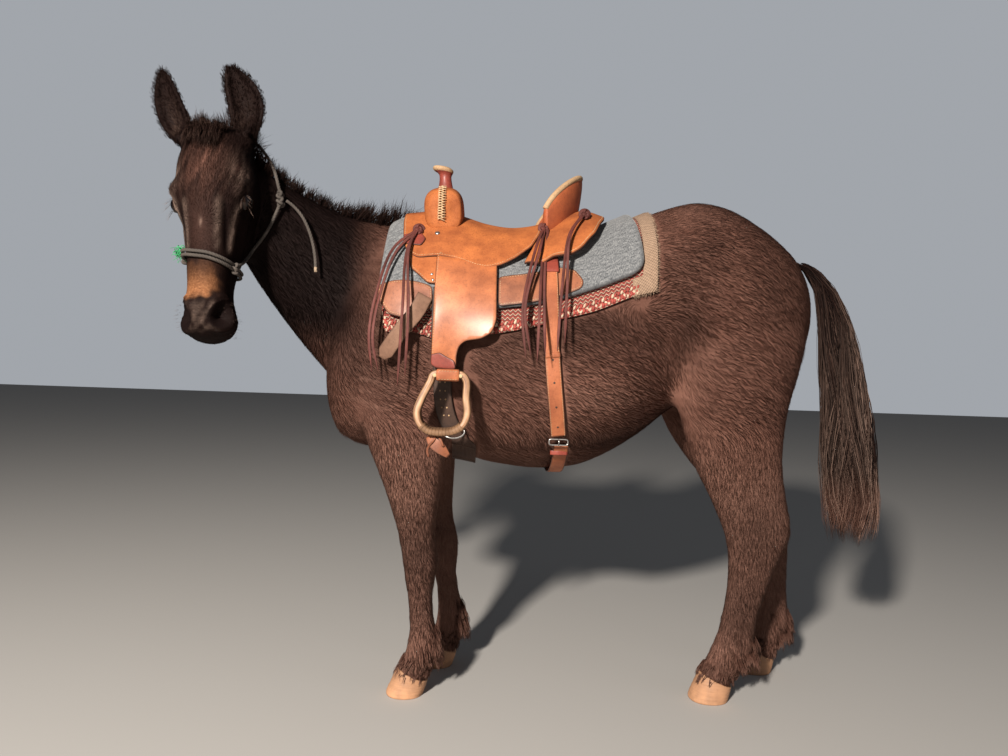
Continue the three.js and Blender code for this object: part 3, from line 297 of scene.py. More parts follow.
def on_head(along, degrees, lift):
    """A point off the head: angle 0 is its left side and 90 the front of its face."""
    p = loft(HEAD, [along], np.radians(np.atleast_1d(degrees)), lift)[0]
    return from_head(head_bones(p))


def round_head(h):
    """The direction round the head of points in its frame, in degrees, and their distance from its core
    line."""
    y, z = h[..., 1], h[..., 2] - HEAD_CORE
    return np.degrees(np.arctan2(z, y)), np.hypot(y, z)


def from_brow(degrees):
    """The same direction on the left half of the head."""
    return 90 - np.abs(degrees - 90)


def ear_root(side, out=82):
    return from_head([6, side * out, -76])


def eye_axes(side):
    """Directions along an eye's slit, across it towards the brow, and out of the eye."""
    gaze, long = GAZE[side], np.array([0.9, side * 0.05, -0.35])
    long = unit(long - gaze * long.dot(gaze))
    up = np.cross(gaze, long)
    return long, up if up[2] > 0 else -up, gaze


# Mesh making
def make_mesh(name, points, faces, flat=False):
    """A mesh from points in metres and faces as arrays of corner numbers."""
    faces = [np.asarray(f, int) for f in (faces if isinstance(faces, list) else [faces]) if len(f)]
    mesh = bpy.data.meshes.new(name)
    points = np.asarray(points, float).reshape(-1, 3)
    mesh.vertices.add(len(points))
    mesh.vertices.foreach_set("co", points.astype(np.float32).ravel())
    corners = np.concatenate([f.ravel() for f in faces])
    sizes = np.concatenate([np.full(len(f), f.shape[1]) for f in faces])
    mesh.loops.add(len(corners))
    mesh.loops.foreach_set("vertex_index", corners.astype(np.int32))
    mesh.polygons.add(len(sizes))
    mesh.polygons.foreach_set("loop_start", np.concatenate([[0], np.cumsum(sizes)[:-1]]).astype(np.int32))
    mesh.polygons.foreach_set("use_smooth", np.full(len(sizes), not flat))
    mesh.update(calc_edges=True)
    return mesh


def show(name, mesh, material, stands_for=()):
    """A piece of the mule from a mesh: it rides on the root and stands for the CAD nodes that it names."""
    piece = bpy.data.objects.new(name, mesh)
    bpy.context.scene.collection.objects.link(piece)
    mesh.materials.clear()
    mesh.materials.append(material)
    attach(piece, "root")
    if stands_for:
        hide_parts(*([stands_for] if isinstance(stands_for, str) else stands_for))
    return piece


def rows_of(items, name, kind=np.float32, wide=3):
    """One value of each of a mesh's points, corners, edges or triangles, as rows of numbers."""
    got = np.empty(len(items) * wide, kind)
    items.foreach_get(name, got)
    return got.reshape(-1, wide)


def points_of(mesh):
    return rows_of(mesh.vertices, "co").astype(float)


def normals_of(mesh):
    return rows_of(mesh.vertices, "normal").astype(float)


def set_points(mesh, points):
    mesh.vertices.foreach_set("co", np.asarray(points, np.float32).ravel())
    mesh.update()


def triangles_of(mesh):
    mesh.calc_loop_triangles()
    return rows_of(mesh.loop_triangles, "vertices", np.int32)


def unwrap_of(mesh):
    return rows_of(mesh.uv_layers["OFBake"].data, "uv", wide=2)


def lay_flat(mesh, name, places):
    """A UV map from the flat place of each of a mesh's points."""
    corner = rows_of(mesh.loops, "vertex_index", np.int32, 1).ravel()
    mesh.uv_layers.new(name=name).data.foreach_set("uv", np.asarray(places, np.float32)[corner].ravel())


def mark(mesh, name, values):
    """A colour attribute on a mesh's points."""
    layer = mesh.attributes.new(name, "FLOAT_COLOR", "POINT")
    rows = np.concatenate([values, np.ones((len(values), 4 - values.shape[1]))], 1)
    layer.data.foreach_set("color", rows.astype(np.float32).ravel())


def mark_border(mesh, far):
    """How far each of a piece's points is from its cut edge, from 0 to 1."""
    mark(mesh, "border", np.stack([np.clip(far, 0, 1)] * 3, -1))


def tube_faces(rings, around, closed=False):
    """Faces of a tube whose rings follow one another, with fans at its ends."""
    number = np.arange(rings * around).reshape(rings, around)
    after = np.roll(number, -1, 0) if closed else number[1:]
    here = number if closed else number[:-1]
    quads = np.stack([here, np.roll(here, -1, 1), np.roll(after, -1, 1), after], -1).reshape(-1, 4)
    if closed:
        return [quads]
    first, last = rings * around, rings * around + 1
    low = np.stack([np.full(around, first), np.roll(number[0], -1), number[0]], -1)
    high = np.stack([np.full(around, last), number[-1], np.roll(number[-1], -1)], -1)
    return [quads, np.concatenate([low, high])]


def capped(rings):
    """A closed body through rings of points (rings, around, 3)."""
    rings = np.asarray(rings, float)
    points = np.concatenate([rings.reshape(-1, 3), rings[:1].mean(1), rings[-1:].mean(1)])
    faces = tube_faces(*rings.shape[:2])
    first = points[faces[0][:, :3]]
    if dots(np.cross(first[:, 1] - first[:, 0], first[:, 2] - first[:, 0]),
            first.mean(1) - rings.mean((0, 1))).sum() < 0:
        faces = [f[:, ::-1] for f in faces]
    return points, faces


def merged(bodies):
    """Several bodies of points and faces as one."""
    points, faces, start = [], {}, 0
    for body, lists in bodies:
        points.append(body)
        for f in (lists if isinstance(lists, list) else [lists]):
            if len(f):
                faces.setdefault(np.asarray(f).shape[1], []).append(np.asarray(f) + start)
        start += len(body)
    return np.concatenate(points), [np.concatenate(f) for f in faces.values()]


def finished(piece):
    """Applies a piece's modifiers to its mesh."""
    bpy.context.view_layer.update()
    ready = piece.evaluated_get(bpy.context.evaluated_depsgraph_get())
    old, mesh = piece.data, bpy.data.meshes.new_from_object(ready)
    piece.modifiers.clear()
    piece.data = mesh
    bpy.data.meshes.remove(old)
    return piece


def relaxed(mesh, weights, rounds):
    """Evens out a mesh's points towards their neighbours, each by its weight."""
    points = points_of(mesh)
    a, b = rows_of(mesh.edges, "vertices", np.int32, 2).T
    count = np.maximum(np.bincount(np.concatenate([a, b]), minlength=len(points)), 1)[:, None]
    for _ in range(rounds):
        near = [[np.bincount(i, points[j, k], len(points)) for i, j in ((a, b), (b, a))] for k in range(3)]
        total = np.stack([one + other for one, other in near], -1)
        points += (total / count - points) * weights[:, None]
    set_points(mesh, points)


# Camera, light and floor
CAMERA_AT = (0.0, -2320.0, 984.0)
SENSOR_WIDTH = 36.0
PHOTO_WIDTH, FOCAL_PIXELS = 1008, 757.0
CAMERA_YAW, CAMERA_PITCH, CAMERA_ROLL = (math.radians(a) for a in (2.0, 1.36, 2.0))


def set_camera():
    level = math.cos(CAMERA_PITCH)
    ahead = Vector((math.sin(CAMERA_YAW) * level, math.cos(CAMERA_YAW) * level, -math.sin(CAMERA_PITCH)))
    side = ahead.cross(Vector((0, 0, 1))).normalized()
    upright = side.cross(ahead)
    right = side * math.cos(CAMERA_ROLL) + upright * math.sin(CAMERA_ROLL)
    up = upright * math.cos(CAMERA_ROLL) - side * math.sin(CAMERA_ROLL)
    camera = bpy.data.objects.new("camera", bpy.data.cameras.new("camera"))
    bpy.context.scene.collection.objects.link(camera)
    camera.matrix_world = Matrix((right, up, -ahead)).transposed().to_4x4()
    camera.location = metres(CAMERA_AT)
    camera.data.sensor_width = SENSOR_WIDTH
    camera.data.lens = SENSOR_WIDTH * FOCAL_PIXELS / PHOTO_WIDTH
    camera.data.clip_end = 60
    bpy.context.scene.camera = camera


def lamp(name, at, aim, size, watts, colour):
    light = bpy.data.lights.new(name, "AREA")
    light.shape, light.size, light.energy, light.color = "DISK", size, watts, colour
    stand = bpy.data.objects.new(name, light)
    bpy.context.scene.collection.objects.link(stand)
    stand.location = at
    stand.rotation_euler = (Vector(aim) - Vector(at)).to_track_quat("-Z", "Y").to_euler()


def feed(tree, socket, value):
    """Links a node's output to a socket, or sets the socket to a plain value."""
    if isinstance(value, bpy.types.NodeSocket):
        tree.links.new(value, socket)
    elif hasattr(value, "__len__") and socket.type == "RGBA" and len(value) == 3:
        socket.default_value = (*value, 1)
    else:
        socket.default_value = value


def add(tree, kind, **inputs):
    """A shader node. An input is named for its socket, with _ for a space, or for one of the node's own
    settings."""
    made = tree.nodes.new("ShaderNode" + kind)
    for name, value in inputs.items():
        if hasattr(made, name) and name not in made.inputs:
            setattr(made, name, value)
            continue
        counted = name[0] == "i" and name[1:].isdigit()
        socket = made.inputs[int(name[1:]) if counted else name.replace("_", " ")]
        feed(tree, socket, value)
    return made


def finish_named(name):
    """A new material and its node tree."""
    material = bpy.data.materials.new(name)
    material.use_nodes = True
    return material, material.node_tree


def shade(tree, **inputs):
    """Sets or links inputs of a material's Principled shader, each named for its socket with _ for a
    space."""
    shader = tree.nodes["Principled BSDF"]
    for name, value in inputs.items():
        feed(tree, shader.inputs[name.replace("_", " ")], value)


def set_stage():
    material, tree = finish_named("pale_floor")
    shade(tree, Base_Color=(0.40, 0.385, 0.37), Roughness=0.9)
    x, y = OFFSET[0] / 1000, 0.0
    corners = [(x - 14, y - 9, 0), (x + 14, y - 9, 0), (x + 14, y + 16, 0), (x - 14, y + 16, 0)]
    floor = bpy.data.objects.new("floor", make_mesh("floor", corners, np.array([[0, 1, 2, 3]]), flat=True))
    floor.data.materials.append(material)
    bpy.context.scene.collection.objects.link(floor)
    world = bpy.data.worlds.new("studio")
    bpy.context.scene.world = world
    world.use_nodes = True
    backdrop = world.node_tree.nodes["Background"]
    backdrop.inputs["Color"].default_value = (0.72, 0.76, 0.82, 1)
    seen = add(world.node_tree, "LightPath").outputs["Is Camera Ray"]
    strength = add(world.node_tree, "Math", operation="MULTIPLY_ADD", i0=seen, i1=0.37, i2=0.13)
    world.node_tree.links.new(strength.outputs[0], backdrop.inputs["Strength"])
    lamp("key", (-2.2, -5.1, 3.3), (0.1, 0, 0.9), 0.5, 800, (1, 0.93, 0.84))
    lamp("fill", (4.2, -2.4, 2.6), (0.1, 0, 0.9), 3.0, 12, (0.86, 0.92, 1))
    bpy.context.scene.view_settings.view_transform = "Standard"


set_camera()
set_stage()

# Curves, tubes and rope
ROPE_END = (
    (-556, -150, 1412), (-538, -141, 1399), (-514, -137, 1372), (-494, -136, 1333), (-481, -136, 1292),
    (-474, -137, 1255), (-471, -139, 1216),
)
ROPE_END_WIDE = 9.0
ACROSS_ROPE = (0.31, 0.9, 0.3)  # a direction that no tube here runs along


def curve_through(points, count, closed=False):
    """A smooth centripetal curve through points, at evenly spread places along its length."""
    p = np.asarray(points, float)
    p = np.concatenate([p[-1:], p, p[:2]]) if closed else np.concatenate([2 * p[:1] - p[1:2], p,
                                                                          2 * p[-1:] - p[-2:-1]])
    knots = np.concatenate([[0], np.cumsum(np.linalg.norm(np.diff(p, axis=0), axis=1) ** 0.5)])
    fine = []
    for i in range(1, len(p) - 2):
        t0, t1, t2, t3 = knots[i - 1:i + 3]
        t = np.linspace(t1, t2, 24, endpoint=False)[:, None]
        a1 = (t1 - t) / (t1 - t0) * p[i - 1] + (t - t0) / (t1 - t0) * p[i]
        a2 = (t2 - t) / (t2 - t1) * p[i] + (t - t1) / (t2 - t1) * p[i + 1]
        a3 = (t3 - t) / (t3 - t2) * p[i + 1] + (t - t2) / (t3 - t2) * p[i + 2]
        b1 = (t2 - t) / (t2 - t0) * a1 + (t - t0) / (t2 - t0) * a2
        b2 = (t3 - t) / (t3 - t1) * a2 + (t - t1) / (t3 - t1) * a3
        fine.append((t2 - t) / (t2 - t1) * b1 + (t - t1) / (t2 - t1) * b2)
    fine = np.concatenate(fine + [p[-2:-1]])
    return even(fine, count)


def even(path, count):
    """The same path at evenly spread places."""
    gone = walked(path)
    at = np.linspace(0, gone[-1], count)
    return np.stack([np.interp(at, gone, path[:, k]) for k in range(path.shape[1])], -1)


def frames(path, wide):
    """Directions along, across and out of a path, from the direction that is broadly across it."""
    run = unit(np.gradient(path, axis=0))
    wide = np.broadcast_to(np.asarray(wide, float), path.shape)
    across = unit(wide - run * dots(wide, run)[:, None])
    return run, across, np.cross(run, across)


def rings_along(line, across, out, radius, sides):
    c, s = (way(circle(sides))[None, :, None] for way in (np.cos, np.sin))
    return line[:, None] + radius * (across[:, None] * c + out[:, None] * s)


def tube(path, radius, sides):
    _, across, out = frames(path, ACROSS_ROPE)
    return capped(rings_along(path, across, out, np.broadcast_to(radius, len(path))[:, None, None], sides))


def ring_tube(line, radius, sides, normal=None):
    """A tube along a closed line."""
    if normal is None:
        middle = line.mean(0)
        normal = unit(np.cross(line[0] - middle, line[len(line) // 4] - middle))
    run = round_loop(line)
    across = unit(np.cross(run, normal))
    rings = rings_along(line, across, np.cross(run, across), radius, sides)
    return rings.reshape(-1, 3), tube_faces(len(line), sides, closed=True)


STRANDS, STRAND_TURN, ROPE_STEP = 3, 26.0, 3.2


def laid_rope(path, across, closed=False):
    """A laid rope of twisted strands along a path."""
    long = walked(path)[-1]
    line = even(path, int(long / ROPE_STEP))
    _, side, out = frames(line, ACROSS_ROPE)
    turns = round(long / STRAND_TURN) if closed else long / STRAND_TURN
    turn = np.linspace(0, 2 * math.pi * turns, len(line))
    bodies = []
    for start in circle(STRANDS):
        a = turn + start
        offset = (side * np.cos(a)[:, None] + out * np.sin(a)[:, None]) * across * 0.2
        bodies.append(tube(line + offset, across * 0.33, 6))
    return merged(bodies)


# The mule's skin
def blank_body():
    """Closed lofts of the torso, neck, head and legs, inside the solids by the coat's depth."""
    bodies = [capped(torso_muscle(loft(TORSO, np.linspace(-446, 996, 130), circle(80), -COAT_DEPTH)))]
    bodies.append(capped(loft(NECK, np.linspace(0, 8, 70), circle(56), -COAT_DEPTH)))
    bodies.append(capped(from_head(head_bones(loft(HEAD, np.linspace(-42, 569, 130), circle(72),
                                                   -FACE_DEPTH)))))
    for table, side, dx in FEET.values():
        rows = leg_rows(table, side, dx)
        bodies.append(capped(loft(rows, np.linspace(rows[0][0], -40, 120), circle(40), -LEG_DEPTH)))
    for side in (1, -1):
        root = ear_root(side, 80)
        line = np.linspace(root - unit(EAR_TIPS[side] - root) * 22, root + (EAR_TIPS[side] - root) * 0.16, 6)
        bodies.append(tube(line, np.linspace(32, 24, 6), 20))
    return merged(bodies)


VOXEL = 10.6


def joined_skin():
    points, faces = blank_body()
    mesh = make_mesh("mule_skin", metres(points), faces)
    piece = bpy.data.objects.new("mule_skin", mesh)
    bpy.context.scene.collection.objects.link(piece)
    blend = piece.modifiers.new("join", "REMESH")
    blend.mode, blend.voxel_size, blend.adaptivity = "VOXEL", VOXEL / 1000, 0
    finished(piece)
    mesh = piece.data
    p = in_mm(points_of(mesh))
    relaxed(mesh, np.full(len(p), 0.5), 4)
    seam = dots(p - np.array([-342.5, 0, 1140]), unit(np.array([520.0, 0, 255.0])))
    neck = hill(np.minimum(seam, 0) / 75, np.maximum(seam, 0) / 120) * (p[:, 0] < 0)
    elbows = hill((p[:, 2] - 850) / 110) * (np.abs(p[:, 0] + 210) < 190)
    flanks = hill((p[:, 2] - 960) / 130) * (p[:, 0] > 520)
    head = to_head(p)
    throat = hill((head[:, 0] - 60) / 70) * (head[:, 0] > -120) * (head[:, 0] < 200)
    throat *= np.linalg.norm(head[:, 1:] - [0, -120], axis=1) < 260
    relaxed(mesh, np.clip(np.maximum.reduce([neck, elbows, flanks, throat * 0.8]), 0, 1) * 0.6, 26)
    return piece


REACH_FROM, REACH_STEP = (-44.0, -180.0), 2.0


def head_reach():
    """How far the head's surface lies from its core line, for each place along it and direction round
    it."""
    alongs, turns = np.arange(REACH_FROM[0], 571, REACH_STEP), np.radians(np.arange(0, 360, REACH_STEP))
    ring = head_bones(loft(HEAD, alongs, turns, -FACE_DEPTH))
    grid = np.arange(REACH_FROM[1], 181, REACH_STEP)
    rows = []
    for one_way, one_reach in zip(*round_head(ring)):
        order = np.argsort(one_way)
        rows.append(np.interp(grid, one_way[order], one_reach[order], period=360))
    return np.array(rows)


HEAD_REACH = head_reach()


def reach_at(along, degrees):
    return between(HEAD_REACH, (along - REACH_FROM[0]) / REACH_STEP, (degrees - REACH_FROM[1]) / REACH_STEP)


def refined(piece, near):
    """Divides the faces whose middles, in the head's frame, are near, so that finer forms can be shaped
    there."""
    grid = bmesh.new()
    grid.from_mesh(piece.data)
    middles = np.array([f.calc_center_median() for f in grid.faces])
    chosen = near(to_head(in_mm(middles)))
    edges = {e for f, inside in zip(grid.faces, chosen) if inside for e in f.edges}
    bmesh.ops.subdivide_edges(grid, edges=list(edges), cuts=1, use_grid_fill=True)
    grid.to_mesh(piece.data)
    grid.free()


def eye_place(p, side):
    """Places about an eye, in the head's frame: along its slit, across it, out of it and from its
    middle."""
    q = p - EYE * [1, side, 1]
    return (*[dots(q, way) for way in eye_axes(side)], np.linalg.norm(q, axis=-1))


def nostril_place(p):
    q = np.stack([p[..., 0], np.abs(p[..., 1]), p[..., 2]], -1) - NOSTRIL_AT
    out = unit(np.array([0.18, 0.76, 0.6]))
    long = unit(np.array([0.86, -0.4, 0.32]))
    long = unit(long - out * long.dot(out))
    return dots(q, long), dots(q, np.cross(out, long)), dots(q, out)


def nostril_opening(p):
    """How far out of a nostril's middle a point is, 1 at its rim."""
    along, across, out = nostril_place(p)
    opening = np.hypot(along / 38, (across + 4 * (along / 38) ** 2 - 1) / 34)
    return np.where((out > -60) & (out < 30) & (p[..., 0] > 455) & (p[..., 0] < 560), opening, 9.0)


def on_face(h):
    return (h[:, 0] > 0) & (h[:, 0] < 590) & (np.abs(h[:, 1]) < 150) & (h[:, 2] > -285) & (h[:, 2] < 70)


def near_eyes(h, reach):
    return np.linalg.norm(np.stack([h[:, 0] - 193, np.abs(h[:, 1]) - 96, h[:, 2] + 46], -1), axis=1) < reach


def lids(p):
    """Brings the skin about the eyes to the rims of the lids and the folds round them."""
    for side in (1, -1):
        along, across, out, far = eye_place(p, side)
        slit = np.hypot((along + 1) / 20.5, across / np.where(across > 0, 11.5, 9.0))
        near = smooth((2.5 - slit) / 1.3) * (out > -8) * (far < 60)
        folds = -2.2 * hill((slit - 1.62) / 0.14) - 1.3 * hill((slit - 2.1) / 0.12)
        wanted = lerp(19.5, 25.6, smooth((slit - 0.9) / 0.16)) + (1.5 * hill((slit - 1.18) / 0.16)
                                                                  + folds * smooth(across / 8))
        middle = EYE * [1, side, 1]
        moved = middle + (p - middle) * (lerp(far, wanted, near) / np.maximum(far, 1))[:, None]
        p = np.where((near > 0)[:, None], moved, p)
    return p


def face_relief(p):
    """How far nostrils, lips, wrinkles, veins and the lines of bone stand out of the face."""
    opening = nostril_opening(p)
    push = -36 * smooth((1.0 - opening) / 0.42) + 3.6 * hill((opening - 1.24) / 0.2)
    above = p[:, 2] - (-92 + 10 * smooth((500 - p[:, 0]) / 40))
    lips = -6.0 * hill(above / 2.6) + 2.0 * hill((above - 9) / 6) + 1.6 * hill((above + 9) / 6)
    push += lips * smooth((p[:, 0] - 462) / 22) * (p[:, 0] > 455)
    ripple = np.sin(p[:, 0] * 0.42 + 2.2 * np.sin(p[:, 2] * 0.09)) * 0.5
    push += ripple * smooth((p[:, 0] - 430) / 30) * smooth((535 - p[:, 0]) / 20)
    vein = hill((p[:, 2] + 52 + 0.32 * (p[:, 0] - 300)) / 4.5)
    vein *= smooth((p[:, 0] - 255) / 30) * smooth((420 - p[:, 0]) / 30) * (np.abs(p[:, 1]) > 30)
    nasal, trough, crest = face_lines(p)
    push += 1.6 * vein + 1.5 * nasal - 3.5 * trough + 4.5 * crest
    return push - 11 * hill((p[:, 0] - 548) / 30, (from_brow(round_head(p)[0]) + 30) / 30)


def shaped_head(piece):
    """Brings the skin's head to its own finer form, with lids, nostrils, mouth and wrinkles."""
    refined(piece, on_face)
    refined(piece, lambda h: on_face(h) & (near_eyes(h, 56) | (h[:, 0] > 462)))
    refined(piece, lambda h: on_face(h) & near_eyes(h, 40))
    mesh = piece.data
    p = to_head(in_mm(points_of(mesh)))
    inside = on_face(p)
    way, now = round_head(p)
    wanted = reach_at(p[:, 0], way)
    weight = smooth((p[:, 0] - 20) / 90) * smooth((568 - p[:, 0]) / 12) * inside
    weight *= smooth((22 - np.abs(now - wanted)) / 8)
    weight *= 1 - smooth((190 - p[:, 0]) / 60) * smooth((-120 - p[:, 2]) / 60)
    core = [0, 0, HEAD_CORE]
    p = core + (p - core) * np.stack([np.ones(len(p)),
                                      *[lerp(1, wanted / np.maximum(now, 1), weight)] * 2], -1)
    p = lids(p)
    set_points(mesh, metres(from_head(p)))
    normal = normals_of(mesh) @ HEAD_AXES.T
    set_points(mesh, metres(from_head(p + normal * (face_relief(p) * inside)[:, None])))


EAR_SHAPE = ((0, 0.6, 27, -27), (0.1, 0.7, 31, -26), (0.2, 0.84, 33, 0), (0.34, 0.98, 32, 20),
             (0.5, 1, 29, 21), (0.65, 0.93, 24, 17),
             (0.78, 0.79, 18, 12), (0.89, 0.57, 12, 7), (0.97, 0.31, 6, 3), (1, 0.12, 3, 0))


EAR_PLACES, EAR_AROUND = 56, 22


def ear_rings(side, grow):
    """An ear: a tube at its root that opens into a deep cup with a blunt tip. The first half of a ring
    is its back."""
    base = ear_root(side)
    axis = EAR_TIPS[side] - base
    long = np.linalg.norm(axis)
    axis = axis / long
    front = np.array([EAR_TURN[side], -1.0, 0.0])
    front = unit(front - axis * front.dot(axis))
    wide = np.cross(front, axis)
    t = np.linspace(0, 1, EAR_PLACES)
    t = smooth(t) * 0.35 + t * 0.65
    rows = curve_rows(EAR_SHAPE, t)
    middle = base + axis * (t * long)[:, None] - wide * (side * EAR_BULGE * np.sin(math.pi * t))[:, None]
    back = np.linspace(0, math.pi, EAR_AROUND)
    inner = np.linspace(math.pi, 0, EAR_AROUND)[1:-1]
    half, rim = EAR_HALF * rows[:, 1:2], np.minimum(13, 20 * rows[:, 1:2])
    w = np.concatenate([np.cos(back) * (half + grow), np.cos(inner) * (half - rim + grow)], 1)
    d = np.concatenate([-np.sin(back) * (rows[:, 2:3] + grow), -np.sin(inner) * (rows[:, 3:4] - grow)], 1)
    return middle[:, None] + wide * w[..., None] + front * d[..., None], front


def with_ears(piece):
    """Adds the ear cups to the skin, their roots sunk in the head."""
    points, faces = merged([capped(ear_rings(side, -2.5)[0]) for side in (1, -1)])
    ears = make_mesh("ears", metres(points), faces)
    both = bmesh.new()
    both.from_mesh(piece.data)
    both.from_mesh(ears)
    both.to_mesh(piece.data)
    both.free()
    bpy.data.meshes.remove(ears)
    piece.data.polygons.foreach_set("use_smooth", np.ones(len(piece.data.polygons), bool))


# Coat: where it is tan, frosted, warm brown, and how long it is
def wavy(p, long, seed):
    """A smooth wandering value between about -1 and 1, with waves about so long."""
    pick = np.random.default_rng(seed)
    total = np.zeros(p.shape[:-1])
    for _ in range(5):
        way = pick.normal(size=3)
        way *= 2 * math.pi / (long * pick.uniform(0.7, 1.5)) / np.linalg.norm(way)
        total += np.sin(p @ way + pick.uniform(0, 6.28))
    return total / 2.6


def head_part(h):
    """How much a point in the head's frame belongs to the head, from 0 on the neck to 1."""
    way, far = round_head(h)
    return smooth((reach_at(h[:, 0], way) + 30 - far) / 22) * smooth((h[:, 0] + 60) / 50) * (h[:, 0] < 600)


def ear_part(p):
    """How far up an ear a point is, from 0 to 1, or below 0 away from the ears."""
    found = np.full(len(p), -1.0)
    for side in (1, -1):
        base = ear_root(side)
        axis = EAR_TIPS[side] - base
        t = (p - base) @ axis / axis.dot(axis)
        off = np.linalg.norm(p - base - np.clip(t, 0, 1)[:, None] * axis, axis=1)
        found = np.where((off < 66) & (t > 0.1) & (t < 1.1), np.maximum(found, t), found)
    return found


# Where the brown coat is darker or paler: partly its own colour, as on the darker lower legs, and partly
# painted light, with painted shade under the saddle and the belly, painted highlight on the barrel and croup,
# and painted bounce light low on the body. Columns: x, z, half width, half height and how much
COAT_TONES_AND_PAINTED_LIGHT = (
    (-290, 935, 120, 150, -0.4), (170, 1070, 330, 70, -0.5), (324, 1074, 70, 45, -0.3),
    (60, 950, 90, 90, -0.25), (340, 890, 130, 55, 0.9),
    (350, 765, 200, 28, -0.4), (545, 905, 60, 60, 0.4), (578, 1090, 52, 120, -0.4),
    (610, 1280, 90, 60, -0.25), (620, 1425, 90, 36, 0.6),
    (810, 1190, 60, 100, -0.25), (-147, 430, 90, 110, -0.5), (-120, 260, 60, 60, -0.25),
    (815, 500, 80, 100, -0.38), (795, 270, 80, 130, -0.45),
    (-125, 140, 120, 45, 0.4), (780, 146, 120, 45, 0.4), (0, 700, 900, 120, 0.25),
)


def muzzle_tan_with_painted_shade(p, h, degrees, on_head):
    edge = 5 * wavy(p, 30, 5)
    tan = smooth((h[:, 0] - 366 + edge) / 14) * smooth((472 + edge - h[:, 0] - 0.12 * h[:, 1]) / 18) * on_head
    # Tan only from 56 degrees round towards the right side: the muzzle's left side is kept dark as painted
    # shade.
    tan *= smooth((degrees - 56 + edge) / 26) * smooth((200 - degrees) / 60) * (h[:, 0] > 330)
    return tan * (0.16 + 0.84 * smooth((h[:, 0] - 378) / 82))


def coat_masks(p):
    """Tan, frost and warmth of the coat at points of the mule, which also carry painted shade and painted
    highlight.
    """
    h = to_head(p)
    ear = ear_part(p)
    on_head = head_part(h) * (ear < 0)
    degrees, _ = round_head(h)
    tan = muzzle_tan_with_painted_shade(p, h, degrees, on_head)
    streak, fine = wavy(p * [1, 1, 2.2], 60, 8), wavy(p * [1, 1, 0.5], 14, 61)
    frost = 0.04 + 0.04 * streak + 0.15 * smooth((840 - p[:, 2]) / 240)
    brow = hill((h[:, 0] - 128) / 48, (from_brow(degrees) - 34) / 20)
    nasal, trough, crest = face_lines(h)
    right_lids = hill((np.linalg.norm(h - EYE * [1, -1, 1], axis=1) - 32) / 11) * (h[:, 1] < 0)
    # The cheek's crest is frosted pale: pale hair there, and also a painted highlight along the ridge.
    face = 0.7 * brow * (0.55 + 0.45 * fine) + (0.5 * nasal + 0.75 * crest) * (0.7
                                                                               + 0.3
                                                                               * fine) + 0.7 * right_lids
    face += 0.3 * smooth((h[:, 0] - 470) / 20) * smooth((h[:, 2] + 30) / 30) * (0.5 + 0.5 * fine)
    face = lerp(frost, face, on_head)
    shoulder = hill((p[:, 0] + 330) / 120, (p[:, 2] - 960) / 150)
    frost = np.clip(frost + 0.06 * shoulder * (0.6 + streak), 0, 1)
    warm = 0.72 + 0.07 * streak
    for x, z, wide, tall, change in COAT_TONES_AND_PAINTED_LIGHT:
        near = hill((p[:, 0] - x) / wide, (p[:, 2] - z) / tall)
        warm *= 1 + change * near
        # Paler patches also add frost there: a painted sheen where the light grazes the coat.
        frost = frost * (1 + 0.7 * min(change, 0) * near) + 0.18 * max(change, 0) * near
    # The neck's coat darkens to near black towards the head and loses its frost: partly its own black coat,
    # partly painted shadow of the head.
    neck = smooth((-215 - p[:, 0]) / 190) * smooth((p[:, 2] - 850) / 250)
    frost = lerp(frost * (1 - 0.9 * neck), face, on_head)
    warm = lerp(warm, 0.15 * smooth((p[:, 0] + 410) / 190), neck)
    high = smooth((h[:, 2] + 60) / 50)
    forehead = hill((h[:, 0] - 110) / 75, h[:, 1] / 62) * high
    bridge = hill((h[:, 0] - 290) / 90, h[:, 1] / 34) * high
    face = 0.02 + 0.30 * forehead * (1 + 0.6 * fine) + 0.13 * bridge + 0.08 * brow
    # The hollow beside the nose bridge is darkened: painted shade.
    warm = lerp(warm, face * (1 - 0.8 * trough), on_head)
    # About both eyes the coat is darkened, for the dark skin there and for painted shade in the sockets;
    # about the left eye it also loses its frost, as painted shade.
    for side in (1, -1):
        warm *= 1 - 0.9 * hill(np.linalg.norm(h - EYE * [1, side, 1], axis=1) / 36)
    frost = frost * (1 - 0.85 * hill(np.linalg.norm(h - EYE, axis=1) / 34))
    star = 0.7 * hill((h[:, 0] - 268) / 10, h[:, 1] / 2.6) * (h[:, 2] > -30)
    frost = np.maximum(np.where(ear > 0, 0.015, frost), star)
    warm = np.maximum(np.clip(np.where(ear > 0, 0.01, warm), 0, 1), 0.5 * star)
    # Inside the nostrils the coat goes black: painted shade in the openings.
    hollow = smooth((1.12 - nostril_opening(h)) / 0.12)
    return np.stack([np.clip(tan * (1 - hollow), 0, 1), frost * (1 - hollow), warm * (1 - hollow)], -1)


def face_lines(h):
    """The edge of the nose bridge, the hollow beside it and the cheek's crest, each from 0 to 1."""
    degrees = from_brow(round_head(h)[0])
    span = smooth((h[:, 0] - 196) / 26) * smooth((350 - h[:, 0]) / 24)
    lines = (67, 4.5), (55 - 0.06 * (h[:, 0] - 250), 5.5), (39 + 0.05 * (h[:, 0] - 260), 6)
    return [hill((degrees - middle) / wide) * span for middle, wide in lines]


